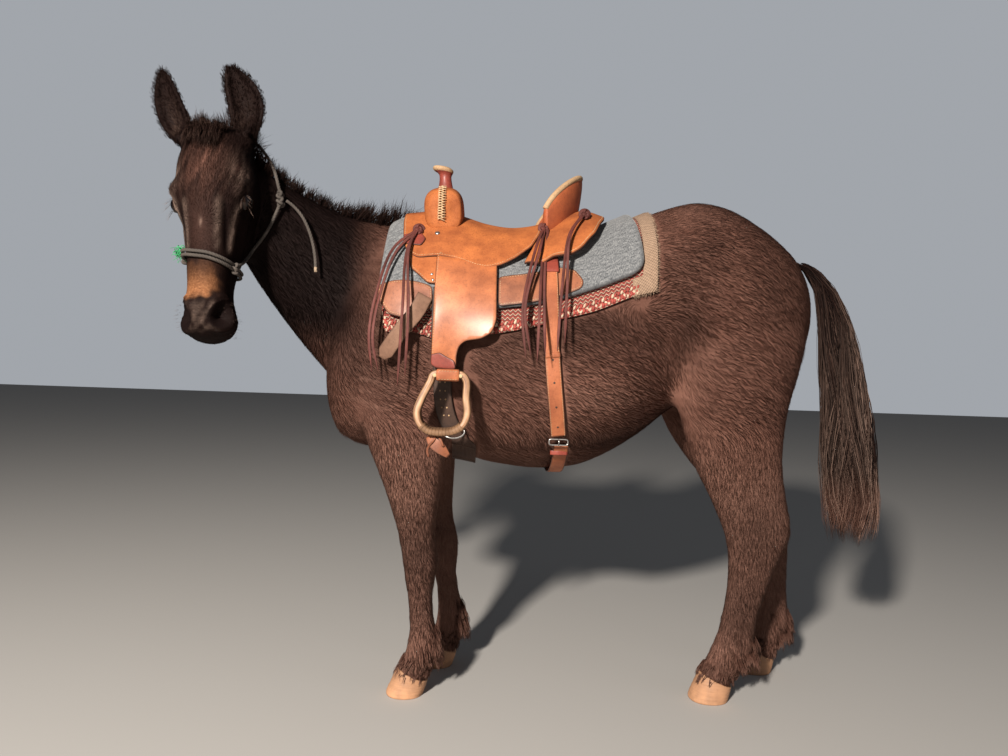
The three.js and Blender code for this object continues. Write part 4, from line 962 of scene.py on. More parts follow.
def coat_length(p, normal):
    """The coat's length in mm, by place: shortest on the muzzle, lids and nose, longest on belly and
    jaw."""
    h = to_head(p)
    long = np.full(len(p), 22.0) + 3 * wavy(p, 150, 9)
    long += 8 * smooth((-normal[:, 2] - 0.2) / 0.5) * smooth((p[:, 2] - 600) / 100)
    legs = smooth((780 - p[:, 2]) / 160)
    long = lerp(long, 19, legs)
    long += 7 * legs * smooth(normal[:, 0]) + 9 * smooth((210 - p[:, 2]) / 90) * smooth((p[:, 2] - 60) / 30)
    inside = head_part(h)
    face = 15 - 8.5 * smooth((h[:, 0] - 200) / 130) + 14 * smooth((-h[:, 2] - 150)
                                                                  / 60) * smooth((360 - h[:, 0]) / 120)
    face -= 2.4 * smooth((h[:, 0] - 440) / 50)
    for side in (1, -1):
        far = eye_place(h, side)[3]
        face = np.where(h[:, 1] * side > 0, lerp(face, 3.5, smooth((44 - far) / 18)), face)
    long = lerp(long, np.maximum(face, 3.2), inside)
    return np.where(ear_part(p) > 0, 9.0, long)


def ways(*parts):
    return np.stack(np.broadcast_arrays(*parts), -1).astype(float)


def coat_lie(p, normal):
    """The way the coat lies at points of the skin."""
    h = to_head(p)
    x, z = p[:, 0], p[:, 2]
    way = ways(1.0, 0.0, -0.5 - 0.5 * smooth((x - 700) / 200) + 0.25 * smooth((z - 1250) / 150))
    a, b = (x - 440) / 75, (z - 1150) / 75
    way = lerp(way, ways(a - 0.8 * b, 0.0, b + 0.8 * a) * 1.4, hill(a, b)[:, None])
    fields = (
        (hill((x - 560) / 60, (z - 1000) / 110), ways(0.4, 0, -1.0)),
        (smooth((-230 - x) / 120) * smooth((z - 800) / 200), ways(0.62, 0.1, -0.75)),
        (smooth((-360 - x) / 60) * smooth((1150 - z) / 100), ways(0.15, 0, -1.0)),
        (smooth((860 - z) / 140) * (normal[:, 2] > -0.7), ways(0.1 + 0.45 * smooth(normal[:, 0]), 0, -1.0)),
    )
    for share, lie in fields:
        way = lerp(way, lie, share[:, None])
    down = np.clip((h[:, 0] - 268) / 36, -1, 1)
    sides = smooth((np.abs(h[:, 1]) - 45) / 40)
    fan = ways(down, np.clip(h[:, 1] / 22, -1, 1) * (0.12 + 0.8 * (1 - np.abs(down))) * (1 - sides),
               -0.55 * sides)
    way = lerp(unit(way), unit(fan @ HEAD_AXES), head_part(h)[:, None])
    ear = ear_part(p)
    for side in (1, -1):
        axis = unit(EAR_TIPS[side] - ear_root(side))
        mine = (ear > 0) & (h[:, 1] * side > 0)
        way = np.where(mine[:, None], axis, way)
    way = way + 0.08 * np.stack([wavy(p, long, seed) for long, seed in ((70, 21), (70, 22), (60, 23))], -1)
    return unit(way - normal * dots(way, normal)[:, None])


def hair_taper(t):
    return np.sin(math.pi * (0.3 + 0.7 * t)) ** 0.8


def blades(paths, across, widths, thick, taper):
    """Closed three-sided hairs along paths of (hairs, places, 3), each drawn to a point. Gives points
    and faces."""
    count, places = paths.shape[:2]
    run = unit(np.gradient(paths, axis=1))
    across = unit(across - run * dots(np.broadcast_to(across, run.shape), run)[..., None])
    out = np.cross(run, across)
    t = np.linspace(0, 1, places)[:-1]
    size = taper(t)[None, :, None] * widths[:, None, None] / 2
    c, a, o = paths[:, :-1], across[:, :-1], out[:, :-1]
    ring = np.stack([c + a * size, c + o * size * thick * 2, c - a * size], 2)
    body = np.concatenate([ring.reshape(count, -1, 3), paths[:, -1:]], 1)
    each = body.shape[1]
    faces = []
    for k in range(places - 2):
        for i, j in ((0, 1), (1, 2), (2, 0)):
            faces.append([3 * k + i, 3 * k + 3 + i, 3 * k + 3 + j])
            faces.append([3 * k + i, 3 * k + 3 + j, 3 * k + j])
    last = 3 * (places - 2)
    faces += [[last + i, last + 3, last + j] for i, j in ((0, 1), (1, 2), (2, 0))]
    all_faces = (np.array(faces)[None] + (np.arange(count) * each)[:, None, None]).reshape(-1, 3)
    t_points = np.concatenate([np.repeat(t, 3), [1.0]])
    return body.reshape(-1, 3), all_faces, each, t_points


def skin_roots(density, seed):
    """Random places on the skin, by a density in hairs per square metre: points, normals and unwrap
    places."""
    mesh = skin.data
    points, normals, corners = points_of(mesh), normals_of(mesh), triangles_of(mesh)
    uv = unwrap_of(mesh)[rows_of(mesh.loop_triangles, "loops", np.int32)]
    a, b, c = (points[corners[:, k]] for k in range(3))
    area = np.linalg.norm(np.cross(b - a, c - a), axis=1) / 2
    middle, facing = in_mm((a + b + c) / 3), unit(normals[corners].sum(1))
    pick = np.random.default_rng(seed)
    expected = density(middle, facing) * area
    counts = np.floor(expected + pick.random(len(expected))).astype(int)
    chosen = np.repeat(np.arange(len(corners)), counts)
    u, v = pick.random((2, len(chosen)))
    over = u + v > 1
    u[over], v[over] = 1 - u[over], 1 - v[over]
    share = np.stack([1 - u - v, u, v], -1)
    at, facing, flat = ((v[chosen] * share[..., None]).sum(1)
                        for v in (points[corners], normals[corners], uv))
    return in_mm(at), unit(facing), flat


def covered(points, directions):
    """Which places the tack lies over, within 60 mm along their directions."""
    rays = zip(metres(points), directions)
    return np.array([TACK_TREE.ray_cast(Vector(start), Vector(way), 0.06)[0] is not None for start,
                     way in rays])


def tack_tree():
    meshes = [bpy.data.objects[name].data for name in TACK_NODES]
    points, faces = merged([(points_of(mesh), triangles_of(mesh)) for mesh in meshes])
    return BVHTree.FromPolygons(points.tolist(), faces[0].tolist())


def hair_piece(name, paths, across, widths, masks, tint, uv, material, slot, stands_for=(), thick=0.4,
               taper=hair_taper):
    """Joined hairs as one piece of the coat, with their colour masks and a small patch each on the
    skin's unwrap."""
    body, faces, each, t = blades(paths, across, widths, thick, taper)
    mesh = make_mesh(name, metres(body), faces)
    count = len(paths)
    mark(mesh, "coat", masks if len(masks) == count * each else np.repeat(masks, each, axis=0))
    strand = np.stack([np.repeat(tint, each), np.tile(t, count), np.zeros(count * each)], -1)
    mark(mesh, "strand", strand)
    patch = np.stack([np.tile(np.resize([-1.0, 0.0, 1.0], each), count), np.tile(t * 2 - 1, count)],
                     -1) * 0.0015
    lay_flat(mesh, "OFBake", np.clip(np.repeat(uv, each, axis=0) + patch, 0.001, 0.999))
    return show(name, mesh, material, stands_for)


def unwrap(piece):
    """Unwraps the skin's own shape on a UV map named OFBake."""
    piece.data.uv_layers.new(name="OFBake")
    bpy.context.view_layer.objects.active = piece
    piece.select_set(True)
    bpy.ops.object.mode_set(mode="EDIT")
    bpy.ops.mesh.select_all(action="SELECT")
    bpy.ops.uv.smart_project(angle_limit=math.radians(72), island_margin=0.002)
    bpy.ops.object.mode_set(mode="OBJECT")
    piece.select_set(False)


# Finishes of the coat
def group_named(name, inputs, outputs):
    """An effect as a node group: inputs as (name, kind, value), outputs as (name, kind)."""
    tree = bpy.data.node_groups.new(name, "ShaderNodeTree")
    for label, kind, value in inputs:
        socket = tree.interface.new_socket(label, in_out="INPUT", socket_type="NodeSocket" + kind)
        if value is not None:
            socket.default_value = (*value, 1) if kind == "Color" and len(value) == 3 else value
    for label, kind in outputs:
        tree.interface.new_socket(label, in_out="OUTPUT", socket_type="NodeSocket" + kind)
    return tree, tree.nodes.new("NodeGroupInput").outputs, tree.nodes.new("NodeGroupOutput").inputs


def placed(tree, group, **inputs):
    """A group placed in a material with its own values."""
    made = tree.nodes.new("ShaderNodeGroup")
    made.node_tree = group
    for name, value in inputs.items():
        feed(tree, made.inputs[name], value)
    return made.outputs


def mixed(tree, factor, a, b, blend="MIX"):
    made = tree.nodes.new("ShaderNodeMix")
    made.data_type, made.blend_type, made.clamp_factor = "RGBA", blend, True
    for socket, value in ((made.inputs[0], factor), (made.inputs[6], a), (made.inputs[7], b)):
        feed(tree, socket, value)
    return made.outputs[2]


def calc(tree, operation, a, b=0.0, clamp=False):
    made = add(tree, "Math", operation=operation, use_clamp=clamp)
    for socket, value in zip(made.inputs, (a, b)):
        feed(tree, socket, value)
    return made.outputs[0]


def times(tree, a, b, clamp=False):
    return calc(tree, "MULTIPLY", a, b, clamp)


def place(tree, kind="Object"):
    return add(tree, "TexCoord").outputs[kind]


def drawn_out(tree, where, scale, **turn):
    return add(tree, "Mapping", Vector=where, Scale=scale, **turn).outputs[0]


def noise(tree, where, scale, detail, **more):
    return add(tree, "TexNoise", Vector=where, Scale=scale, Detail=detail, **more).outputs["Fac"]


def masks_of(tree, name):
    """A colour attribute of the mesh, and its three parts."""
    colour = add(tree, "Attribute", attribute_name=name).outputs["Color"]
    return colour, add(tree, "SeparateColor", Color=colour).outputs


def relief(tree, height, strength, distance):
    """Raises a material's surface by a height."""
    shade(tree, Normal=add(tree, "Bump", Strength=strength, Distance=distance, Height=height).outputs[0])


def ramp(tree, value, *stops):
    """A colour ramp: stops as (place, colour or grey)."""
    made = tree.nodes.new("ShaderNodeValToRGB")
    band = made.color_ramp
    while len(band.elements) < len(stops):
        band.elements.new(0.5)
    for element, (place, colour) in zip(band.elements, stops):
        element.position = place
        element.color = (*((colour,) * 3 if np.isscalar(colour) else colour), 1)
    tree.links.new(value, made.inputs[0])
    return made.outputs[0]


def coat_colour_group():
    """The coat's colour from its masks, a hair's own tint and the place along it; each hair is darker towards
    its root as painted shade between the hairs.
    """
    given = [("Masks", "Color", (0, 0, 1)), ("Tint", "Float", 0.5), ("Tip", "Float", 0.5)]
    tree, given, out = group_named("coat_colour", given, [("Color", "Color")])
    tan, frost, warm = add(tree, "SeparateColor", Color=given["Masks"]).outputs
    spots = noise(tree, place(tree), 34.0, 3.0)
    body = mixed(tree, warm, (0.006, 0.0034, 0.0032), (0.150, 0.064, 0.045))
    body = mixed(tree, spots, body, mixed(tree, warm, (0.0115, 0.0065, 0.006), (0.222, 0.107, 0.079)))
    pale = times(tree, times(tree, given["Tip"], given["Tint"]), frost, clamp=True)
    body = mixed(tree, times(tree, pale, 2.0, clamp=True), body, (0.40, 0.28, 0.225))
    body = mixed(tree, tan, body, mixed(tree, given["Tint"], (0.13, 0.040, 0.014), (0.40, 0.185, 0.088)))
    # Each hair darker towards its root: painted shade between the hairs.
    body = mixed(tree, 1.0, body, ramp(tree, given["Tip"], (0.0, 0.6), (0.6, 1.0)), "MULTIPLY")
    tint = ramp(tree, given["Tint"], (0.0, 0.75), (1.0, 1.2))
    tree.links.new(mixed(tree, 1.0, body, tint, "MULTIPLY"), out["Color"])
    return tree


COAT_COLOUR = coat_colour_group()


def skin_finish():
    """The skin between the tufts, coloured as the tufts are partway up, with part of their painted root
    shade, and streaked with hair.
    """
    material, tree = finish_named("skin_under_coat")
    hairs = noise(tree, drawn_out(tree, place(tree), (60, 200, 90)), 2.2, 4.0)
    colour = placed(tree, COAT_COLOUR, Masks=masks_of(tree, "coat")[0], Tint=hairs, Tip=0.45)["Color"]
    relief(tree, hairs, 0.6, 0.003)
    shade(tree, Base_Color=colour, Roughness=0.58, Specular_IOR_Level=0.03)
    return material


def hair_finish(name, rough):
    material, tree = finish_named(name)
    tint, tip, _ = masks_of(tree, "strand")[1]
    colour = placed(tree, COAT_COLOUR, Masks=masks_of(tree, "coat")[0], Tint=tint, Tip=tip)["Color"]
    shade(tree, Base_Color=colour, Roughness=rough, Specular_IOR_Level=0.03)
    return material


def eye_finish():
    """A dark pupil in a brown iris under a wet coat; the iris is darkened nearly to black as painted shade
    for an eye lying in shadow.
    """
    material, tree = finish_named("eye_gloss")
    far = add(tree, "VectorMath", operation="LENGTH", i0=place(tree, "UV")).outputs["Value"]
    # The iris's brown is kept near black: painted shade.
    pupil, iris = (0.002, 0.002, 0.003), (0.012, 0.006, 0.004)
    colour = ramp(tree, far, (0.0, pupil), (0.42, pupil), (0.5, iris), (0.85, (0.008, 0.004, 0.003)),
                  (1.0, (0.003, 0.002, 0.002)))
    shade(tree, Base_Color=colour, Roughness=0.2, Specular_IOR_Level=0.1, Coat_Weight=0.35,
          Coat_Roughness=0.04)
    return material


def hoof_finish():
    """Ringed horn, dusty towards the floor."""
    material, tree = finish_named("dusty_horn")
    where = place(tree)
    height = add(tree, "SeparateXYZ", Vector=where).outputs[2]
    rings = noise(tree, drawn_out(tree, where, (6, 6, 210)), 2.0, 3.0)
    dust = noise(tree, where, 42.0, 5.0)
    horn = mixed(tree, rings, (0.18, 0.085, 0.045), (0.37, 0.20, 0.112))
    mask = times(tree, ramp(tree, height, (0.0, 1.0), (0.075, 0.25)),
                 ramp(tree, dust, (0.3, 0.4), (0.6, 1.0)))
    shade(tree, Base_Color=mixed(tree, mask, horn, (0.54, 0.28, 0.15)),
          Roughness=ramp(tree, mask, (0.0, 0.5), (1.0, 0.95)))
    relief(tree, rings, 0.5, 0.002)
    return material


# The coat's pieces
TUFT_COVER = 1.12  # how many times over the tufts would cover the skin
BARREL_FROM, BARREL_TO = -235, 480


def tuft_width(long):
    return np.clip(long * 0.075, 0.75, 1.6)


def tuft_density(p, normal):
    long = coat_length(p, normal)
    thin = lerp(1.0, 0.36, smooth((17 - long) / 9))
    bare = smooth((p[:, 2] - 46) / 10) * (nostril_opening(to_head(p)) > 1.0)
    return TUFT_COVER * thin * bare / (0.5 * long * tuft_width(long) * 1e-6)


def coat_regions(p):
    """Which piece of the short coat each root belongs to: the first of these that holds."""
    h = to_head(p)
    face = (head_part(h) > 0.5) | (ear_part(p) > 0)
    left, barrel = p[:, 1] < 0, (p[:, 0] >= BARREL_FROM) & (p[:, 0] < BARREL_TO) & (p[:, 2] > 620)
    rump = (p[:, 0] >= BARREL_TO) & (p[:, 2] > 700)
    return {
        "coat_head_left": face & (h[:, 1] > 0), "coat_head_right": face,
        "coat_neck": ~face & (p[:, 0] < BARREL_FROM) & (p[:, 2] > 800),
        "coat_barrel_left": barrel & left, "coat_barrel_right": barrel & ~left,
        "coat_rump_left": rump & left, "coat_rump_right": rump & ~left,
        "coat_legs_left": left, "coat_legs_right": ~left,
    }


def short_coat():
    """Tufts all over the skin in pieces by region, none under the tack."""
    roots, normal, uv = skin_roots(tuft_density, 31)
    keep = ~covered(roots, normal)
    roots, normal, uv = roots[keep], normal[keep], uv[keep]
    long = coat_length(roots, normal)
    pick = np.random.default_rng(32)
    long *= pick.uniform(0.72, 1.28, len(roots))
    lie = coat_lie(roots, normal)
    turn = pick.normal(0, 0.15, len(roots)) + 0.05 * wavy(roots, 30, 33)
    lie = unit(lie + np.cross(normal, lie) * turn[:, None])
    side = np.cross(normal, lie)[:, None]
    rise = 0.085 + 0.012 * wavy(roots, 46, 34) + pick.normal(0, 0.026,
                                                             len(roots)) + 0.10 * smooth((10 - long) / 6)
    tip = roots + (lie + normal * np.clip(rise, 0.02, 0.5)[:, None]) * long[:, None]
    paths = np.stack([roots - normal * 0.8, tip], 1)
    masks, tint, wide = coat_masks(roots), np.clip(pick.normal(0.5, 0.22, len(roots)), 0, 1), tuft_width(long)
    left = np.ones(len(roots), bool)
    for name, inside in coat_regions(roots).items():
        mine = left & inside
        left &= ~mine
        parts = (part[mine] for part in (paths, side, wide, masks, tint, uv))
        hair_piece(name, *parts, COAT, "coat", thick=0.3, taper=np.ones_like)


def unwrap_at(roots):
    """The unwrap's place of the skin nearest to each root."""
    mesh = skin.data
    uv, corners = unwrap_of(mesh), triangles_of(mesh)
    first = [t.loops[0] for t in mesh.loop_triangles]
    tree = BVHTree.FromPolygons(points_of(mesh).tolist(), corners.tolist())
    return np.array([uv[first[tree.find_nearest(Vector(p))[2]]] for p in metres(roots)])


def locks(roots, tips, bows, strands, loose_root, loose_tip, places, pick, curl=0.0):
    """Hairs grouped in locks: each lock's hairs start near its root and gather near its tip."""
    i = np.repeat(np.arange(len(roots)), strands)

    def jitter(size):
        return pick.normal(0, 1, (len(i), 3)) * size
    root = roots[i] + jitter(loose_root)
    tip = tips[i] + jitter(loose_tip)
    tip = root + (tip - root) * pick.uniform(0.7, 1.04, (len(i), 1))
    middle = (root + tip) / 2 + bows[i] + jitter(loose_tip * 0.6)
    phase = pick.uniform(0, 6.28, (len(i), 1, 1))
    t = np.linspace(0, 1, places)[None, :, None]
    waves = curl * np.sin(t * 9 + phase) * t
    return bowed(root, middle, tip, places) + waves * unit(jitter(1.0))[:, None], root


def hair_masks(count, frost, warm, vary, pick):
    return np.clip(np.array([0, frost, warm]) + pick.normal(0, vary, (count, 1)) * [0, 1, 1], 0, 1)


def tints(count, middle, vary, pick):
    return np.clip(pick.normal(middle, vary, count), 0, 1)


def long_hair(name, paths, roots, tint, wide, masks, pick, node=()):
    """A piece of long hair. Its widths are a size or a range, and its masks are rows or what hair_masks
    takes."""
    count = len(paths)
    across = unit(pick.normal(size=(count, 3)))[:, None]
    widths = np.full(count, wide) if np.isscalar(wide) else pick.uniform(*wide, count)
    masks = hair_masks(count, *masks, pick) if isinstance(masks, tuple) else masks
    hair_piece(name, paths, across, widths, masks, tint, unwrap_at(roots), HAIR, "hair", node)


def crest_at(keys):
    rows = curve_rows(NECK, keys)
    up = unit(rows[:, 1:4] - rows[:, 4:7])
    ahead, behind = (curve_rows(NECK, np.clip(keys + step, 0, 8))[:, 1:4] for step in (0.2, -0.2))
    along = unit(ahead - behind)
    return rows[:, 1:4], up, along, unit(np.cross(along, up))


# The mane's length by place on the neck, from the withers to the poll
MANE_LENGTHS = ((0.5, 92), (1.1, 82), (2.0, 58), (3.4, 34), (5, 44), (5.8, 78), (6.6, 98), (7.5, 94))


def mane():
    pick = np.random.default_rng(41)
    count = 330
    keys = np.sort(pick.uniform(0.55, 7.0, count))
    point, up, along, across = crest_at(keys)
    long = curve_rows(MANE_LENGTHS, np.clip(keys, 0.5, 7.5))[:, 1] * pick.uniform(0.6, 1.12, count)
    side = pick.choice([-1.0, 1.0], count)
    lean = side * (pick.uniform(0.0, 0.85, count) + 0.2 * np.sin(keys * 5))
    offset = pick.uniform(-13, 13, count) + side * 4
    root = point - up * 19 + across * offset[:, None]
    tip = root + up * (10 + long * np.cos(lean))[:, None] + across * (long * np.sin(lean))[:, None]
    tip += along * (np.clip(pick.normal(-0.15, 0.3, count), -0.7, 0.2) * long)[:, None]
    bow = up * (long * 0.16)[:, None] + across * (side * 6)[:, None]
    paths, roots = locks(root, tip, bow, 11, 6.0, 9.0, 4, pick, 2.0)
    long_hair("mane_hair", paths, roots, tints(len(paths), 0.4, 0.25, pick), (1.0, 2.0),
              (0.02, 0.04, 0.03), pick, "mane")


def forelock():
    pick = np.random.default_rng(42)
    count = 90
    y = pick.uniform(-46, 46, count)
    root = np.stack([pick.uniform(-14, 16, count), y, pick.uniform(-26, -4, count)], -1)
    tip = np.stack([-8 - pick.uniform(0, 34, count) + np.abs(y) * 0.3,
                    y * 1.12 + pick.normal(0, 9, count), pick.uniform(-26, 28, count)], -1)
    bow = np.stack([np.zeros(count), np.sign(y) * 5, pick.uniform(0, 9, count)], -1)
    fall = np.arange(count) % 3 == 0
    tip[fall] = np.stack([44 + pick.uniform(0, 30, fall.sum()), y[fall] * 1.15, np.full(fall.sum(), 24.0)],
                         -1)
    bow[fall] = [-6, 0, 13]
    paths, roots = locks(from_head(root), from_head(tip), bow @ HEAD_AXES, 18, 5.5, 7.0, 5, pick, 1.5)
    tint = tints(len(paths), 0.4, 0.25, pick)
    long_hair("forelock_hair", paths, roots, tint, (1.0, 1.9), (0.04, 0.06, 0.04), pick, "forelock")


# Tail: x, z, half depth and half width of the hair about its middle line
TAIL = ((0, 965, 1318, 34, 30), (1, 1010, 1302, 38, 34), (2, 1058, 1252, 44, 40), (3, 1096, 1160, 52, 46),
        (4, 1122, 1040, 64, 50),
        (5, 1146, 900, 70, 54), (6, 1160, 740, 78, 56), (7, 1172, 600, 84, 56), (8, 1180, 500, 78, 50),
        (9, 1184, 432, 62, 40))


def tail():
    pick = np.random.default_rng(43)
    count, strands, places = 120, 20, 9
    angle = np.repeat(pick.uniform(0, 2 * math.pi, count), strands)
    start = np.repeat(np.concatenate([pick.uniform(0.1, 2.2, 70),
                                      pick.uniform(1.5, 5.0, count - 70)]), strands)
    end = np.repeat(7.1 + 1.9 * pick.random(count) ** 0.8, strands) - 1.4 * pick.random(count * strands) ** 3
    spread = np.repeat(pick.uniform(0.35, 1.12, count), strands)
    n = count * strands
    angle = angle + pick.normal(0, 0.22, n)
    t = np.linspace(0, 1, places)
    keys = start[:, None] + (end - start)[:, None] * t
    rows = curve_rows(TAIL, keys.ravel()).reshape(n, places, 5)
    out = (0.55 + (spread[:, None] - 0.55) * smooth(t * 1.6)) + pick.normal(0, 0.07, (n, 1)) * t
    gather = 1 - 0.1 * smooth((t - 0.6) / 0.4)
    turn = angle[:, None] + 0.25 * np.sin(keys * 1.7
                                          + np.repeat(pick.uniform(0, 6.28, count), strands)[:, None])
    paths = np.stack([rows[..., 1] + np.cos(turn) * rows[..., 3] * out * gather,
                      np.sin(turn) * rows[..., 4] * out * gather, rows[..., 2]], -1)
    paths += np.cumsum(pick.normal(0, 1.3, paths.shape) * t[None, :, None], 1) * [1, 1, 0.3]
    tint = np.clip(np.repeat(pick.normal(0.5, 0.2, count), strands) + pick.normal(0, 0.18, n), 0, 1)
    masks = hair_masks(n, 0.17, 0.05, 0.1, pick)
    level = np.concatenate([np.repeat(paths[:, :-1, 2], 3, axis=1), paths[:, -1:, 2]], 1)
    masks, level = np.repeat(masks, level.shape[1], axis=0), level.reshape(-1)
    masks[:, 2] = np.clip(masks[:, 2] + 0.6 * smooth((690 - level) / 190), 0, 1)
    roots = np.stack([rows[:, 0, 1], 0 * angle, rows[:, 0, 2]], -1)
    long_hair("tail_hair", paths, roots, tint, (1.6, 3.0), masks, pick, "tail")


def on_leg(rows, heights, angles, grow):
    return np.stack([loft(rows, [-h], [a], grow)[0, 0] for h, a in zip(heights, angles)])


def leg_middle(rows, heights):
    return np.stack([loft(rows, [-h], [math.pi / 2, math.pi * 1.5], 0)[0].mean(0) for h in heights])


def feathers():
    """Shaggy hair behind each fetlock and over the coronet."""
    pick = np.random.default_rng(44)
    all_paths, all_roots = [], []
    for table, side, dx in FEET.values():
        rows = leg_rows(table, side, dx)
        count = 52
        turn = math.pi * 1.5 + pick.normal(0, 0.75, count)
        height = pick.uniform(112, 205, count)
        at, middle = on_leg(rows, height, turn, -5), leg_middle(rows, height)
        out = unit(at - middle)
        long = pick.uniform(44, 82, count) * np.clip((height - 40) / 120, 0.5, 1.0)
        tip = at + out * (long * 0.20)[:, None] + np.array([0.12, 0, -0.94]) * long[:, None]
        paths, roots = locks(at, tip, out * 7, 12, 3.5, 4.5, 4, pick, 2.0)
        all_paths.append(paths), all_roots.append(roots)
        count = 84
        turn = pick.uniform(0, 2 * math.pi, count)
        height = pick.uniform(66, 112, count)
        at = on_leg(rows, height, turn, -5)
        way = unit(on_leg(rows, height - 30, turn, 3) - at)
        long = pick.uniform(20, 32, count)
        out = unit((at - leg_middle(rows, height)) * [1, 1, 0])
        tip = at + way * long[:, None] + out
        paths, roots = locks(at, tip, out * 3.0, 10, 3.2, 2.6, 4, pick, 0.6)
        all_paths.append(paths), all_roots.append(roots)
    paths, roots = np.concatenate(all_paths), np.concatenate(all_roots)
    keep = paths[:, -1, 2] > 6
    paths, roots = paths[keep], roots[keep]
    masks = coat_masks(roots) * [1, 0.7, 0.8]
    long_hair("fetlock_hair", paths, roots, tints(len(paths), 0.45, 0.22, pick), (1.4, 2.8), masks, pick)


def ear_hair():
    """Longer hair inside the ears and a short fringe along their rims and at their roots."""
    pick = np.random.default_rng(45)
    all_paths, all_roots, frost = [], [], []
    for side in (1, -1):
        rings, front = ear_rings(side, -2.0)
        axis = unit(EAR_TIPS[side] - rings[0].mean(0))
        n = 330
        i, j = pick.integers(7, 46, n), pick.integers(23, 41, n)
        root = rings[i, j]
        edge = unit(rings[i, np.where(j < 32, 21, 0)] - root)
        long = pick.uniform(14, 30, n) * (1.15 - i / 60)
        tip = root + (axis * 0.75 + edge * 0.2 + front * 0.33) * long[:, None]
        paths, roots = locks(root, tip, front * np.full((n, 1), 2.5), 3, 1.0, 2.2, 3, pick)
        pale = (0.05 if side > 0 else 0.14) * smooth((6 - np.abs(j - 32)) / 4) * smooth((42 - i) / 22)
        all_paths.append(paths), all_roots.append(roots), frost.append(np.repeat(pale, 3))
        n = 1000
        i, j = pick.integers(3, 55, n), pick.choice([0, 1, 20, 21, 22, 23, 40, 41], n)
        root = rings[i, j] + pick.normal(0, 2.6, (n, 3))
        outward = unit(root - rings[i].mean(1))
        long = pick.uniform(7, 13, n) + 7 * (i < 14)
        tip = root + (axis * 0.8 + outward * 0.22 + front * 0.3) * long[:, None]
        paths, roots = locks(root, tip, outward, 3, 1.6, 1.6, 3, pick)
        all_paths.append(paths), all_roots.append(roots), frost.append(np.full(len(paths), 0.0))
    paths, roots, frost = np.concatenate(all_paths), np.concatenate(all_roots), np.concatenate(frost)
    masks = np.stack([0 * frost, frost, 0.02 + 0.5 * frost], -1)
    long_hair("ear_hair", paths, roots, tints(len(paths), 0.5, 0.22, pick), 0.9, masks, pick)


def face_hair():
    """Pale lashes over the eyes and feelers on the lips."""
    pick = np.random.default_rng(46)
    all_paths, masks = [], []
    for side in (1, -1):
        long, up, gaze = eye_axes(side)
        for lashes, lift, size, frost in ((18, 1.0, 30, 0.6), (6, -1.0, 6, 0.1)):
            a = pick.uniform(0.15, math.pi - 0.15, lashes)
            at = np.cos(a)[:, None] * long * 20 + (np.sin(a) * (10.5 if lift > 0 else 8.5) * lift)[:,
                                                                                                   None] * up
            at = EYE * [1, side, 1] + unit(at + gaze * 21) * 26.0
            way = unit(gaze * 0.85 + up * (0.15 * lift) + long * (np.cos(a) * 0.5)[:, None]
                       + np.array([0.55, 0, -0.1]))
            tip = at + way * pick.uniform(0.6, 1.1, lashes)[:,
                                                            None] * size + np.array([1.0, 0,
                                                                                     -0.2]) * size * 0.25
            all_paths.append(from_head(bowed(at, (at + tip) / 2 + way * size * 0.12, tip, 5)))
            masks.append(np.tile([0.0, frost * 0.7, 0.0], (lashes, 1)))
        n = 60
        along = pick.uniform(470, 560, n)
        degrees = pick.uniform(-78, 40, n)
        at = np.stack([head_bones(loft(HEAD, [u], [math.radians(d)], -3.0)[0, 0]) for u,
                       d in zip(along, degrees)])
        at[:, 1] *= side
        out = unit((at - [0, 0, HEAD_CORE]) * [0, 1, 1])
        size = pick.uniform(8, 22, n)
        tip = at + (out * 0.9 + np.array([0.35, 0, 0])) * size[:, None]
        bow = (at + tip) / 2 + np.array([-0.08, 0, 0.0]) * size[:, None]
        all_paths.append(from_head(bowed(at, bow, tip, 5)))
        masks.append(np.tile([0.0, 0.3, 0.03], (n, 1)))
    paths, masks = np.concatenate(all_paths), np.concatenate(masks)
    tint = pick.uniform(0.5, 1.0, len(paths))
    long_hair("lashes_and_feelers", paths, paths[:, 0], tint, 0.42, masks, pick)


def eyes():
    """Each eye's ball, bulging over its iris, with its flat places spread round the gaze."""
    around = 64
    polar, turn = np.radians(np.linspace(1, 179, 48)), circle(around)
    far = np.concatenate([np.repeat(polar / 1.15, around), [0, 2.7]])
    angle = np.concatenate([np.tile(turn, len(polar)), [0, 0]])
    bulge = (1 + 0.045 * hill(polar / 0.55))[:, None, None] * EYE_RADIUS
    out, away = (way(polar)[:, None, None] for way in (np.cos, np.sin))
    c, s = np.cos(turn)[:, None], np.sin(turn)[:, None]
    for name, side in (("left", 1), ("right", -1)):
        long, up, gaze = eye_axes(side)
        rings = ((long * c + up * s) * away + gaze * out) * bulge + EYE * [1, side, 1]
        points, faces = capped(from_head(rings))
        mesh = make_mesh("eyeball_" + name, metres(points), faces)
        lay_flat(mesh, "iris", np.stack([np.cos(angle) * far * 0.62, np.sin(angle) * far], -1))
        show("eyeball_" + name, mesh, EYE_GLOSS, "eye_" + name)


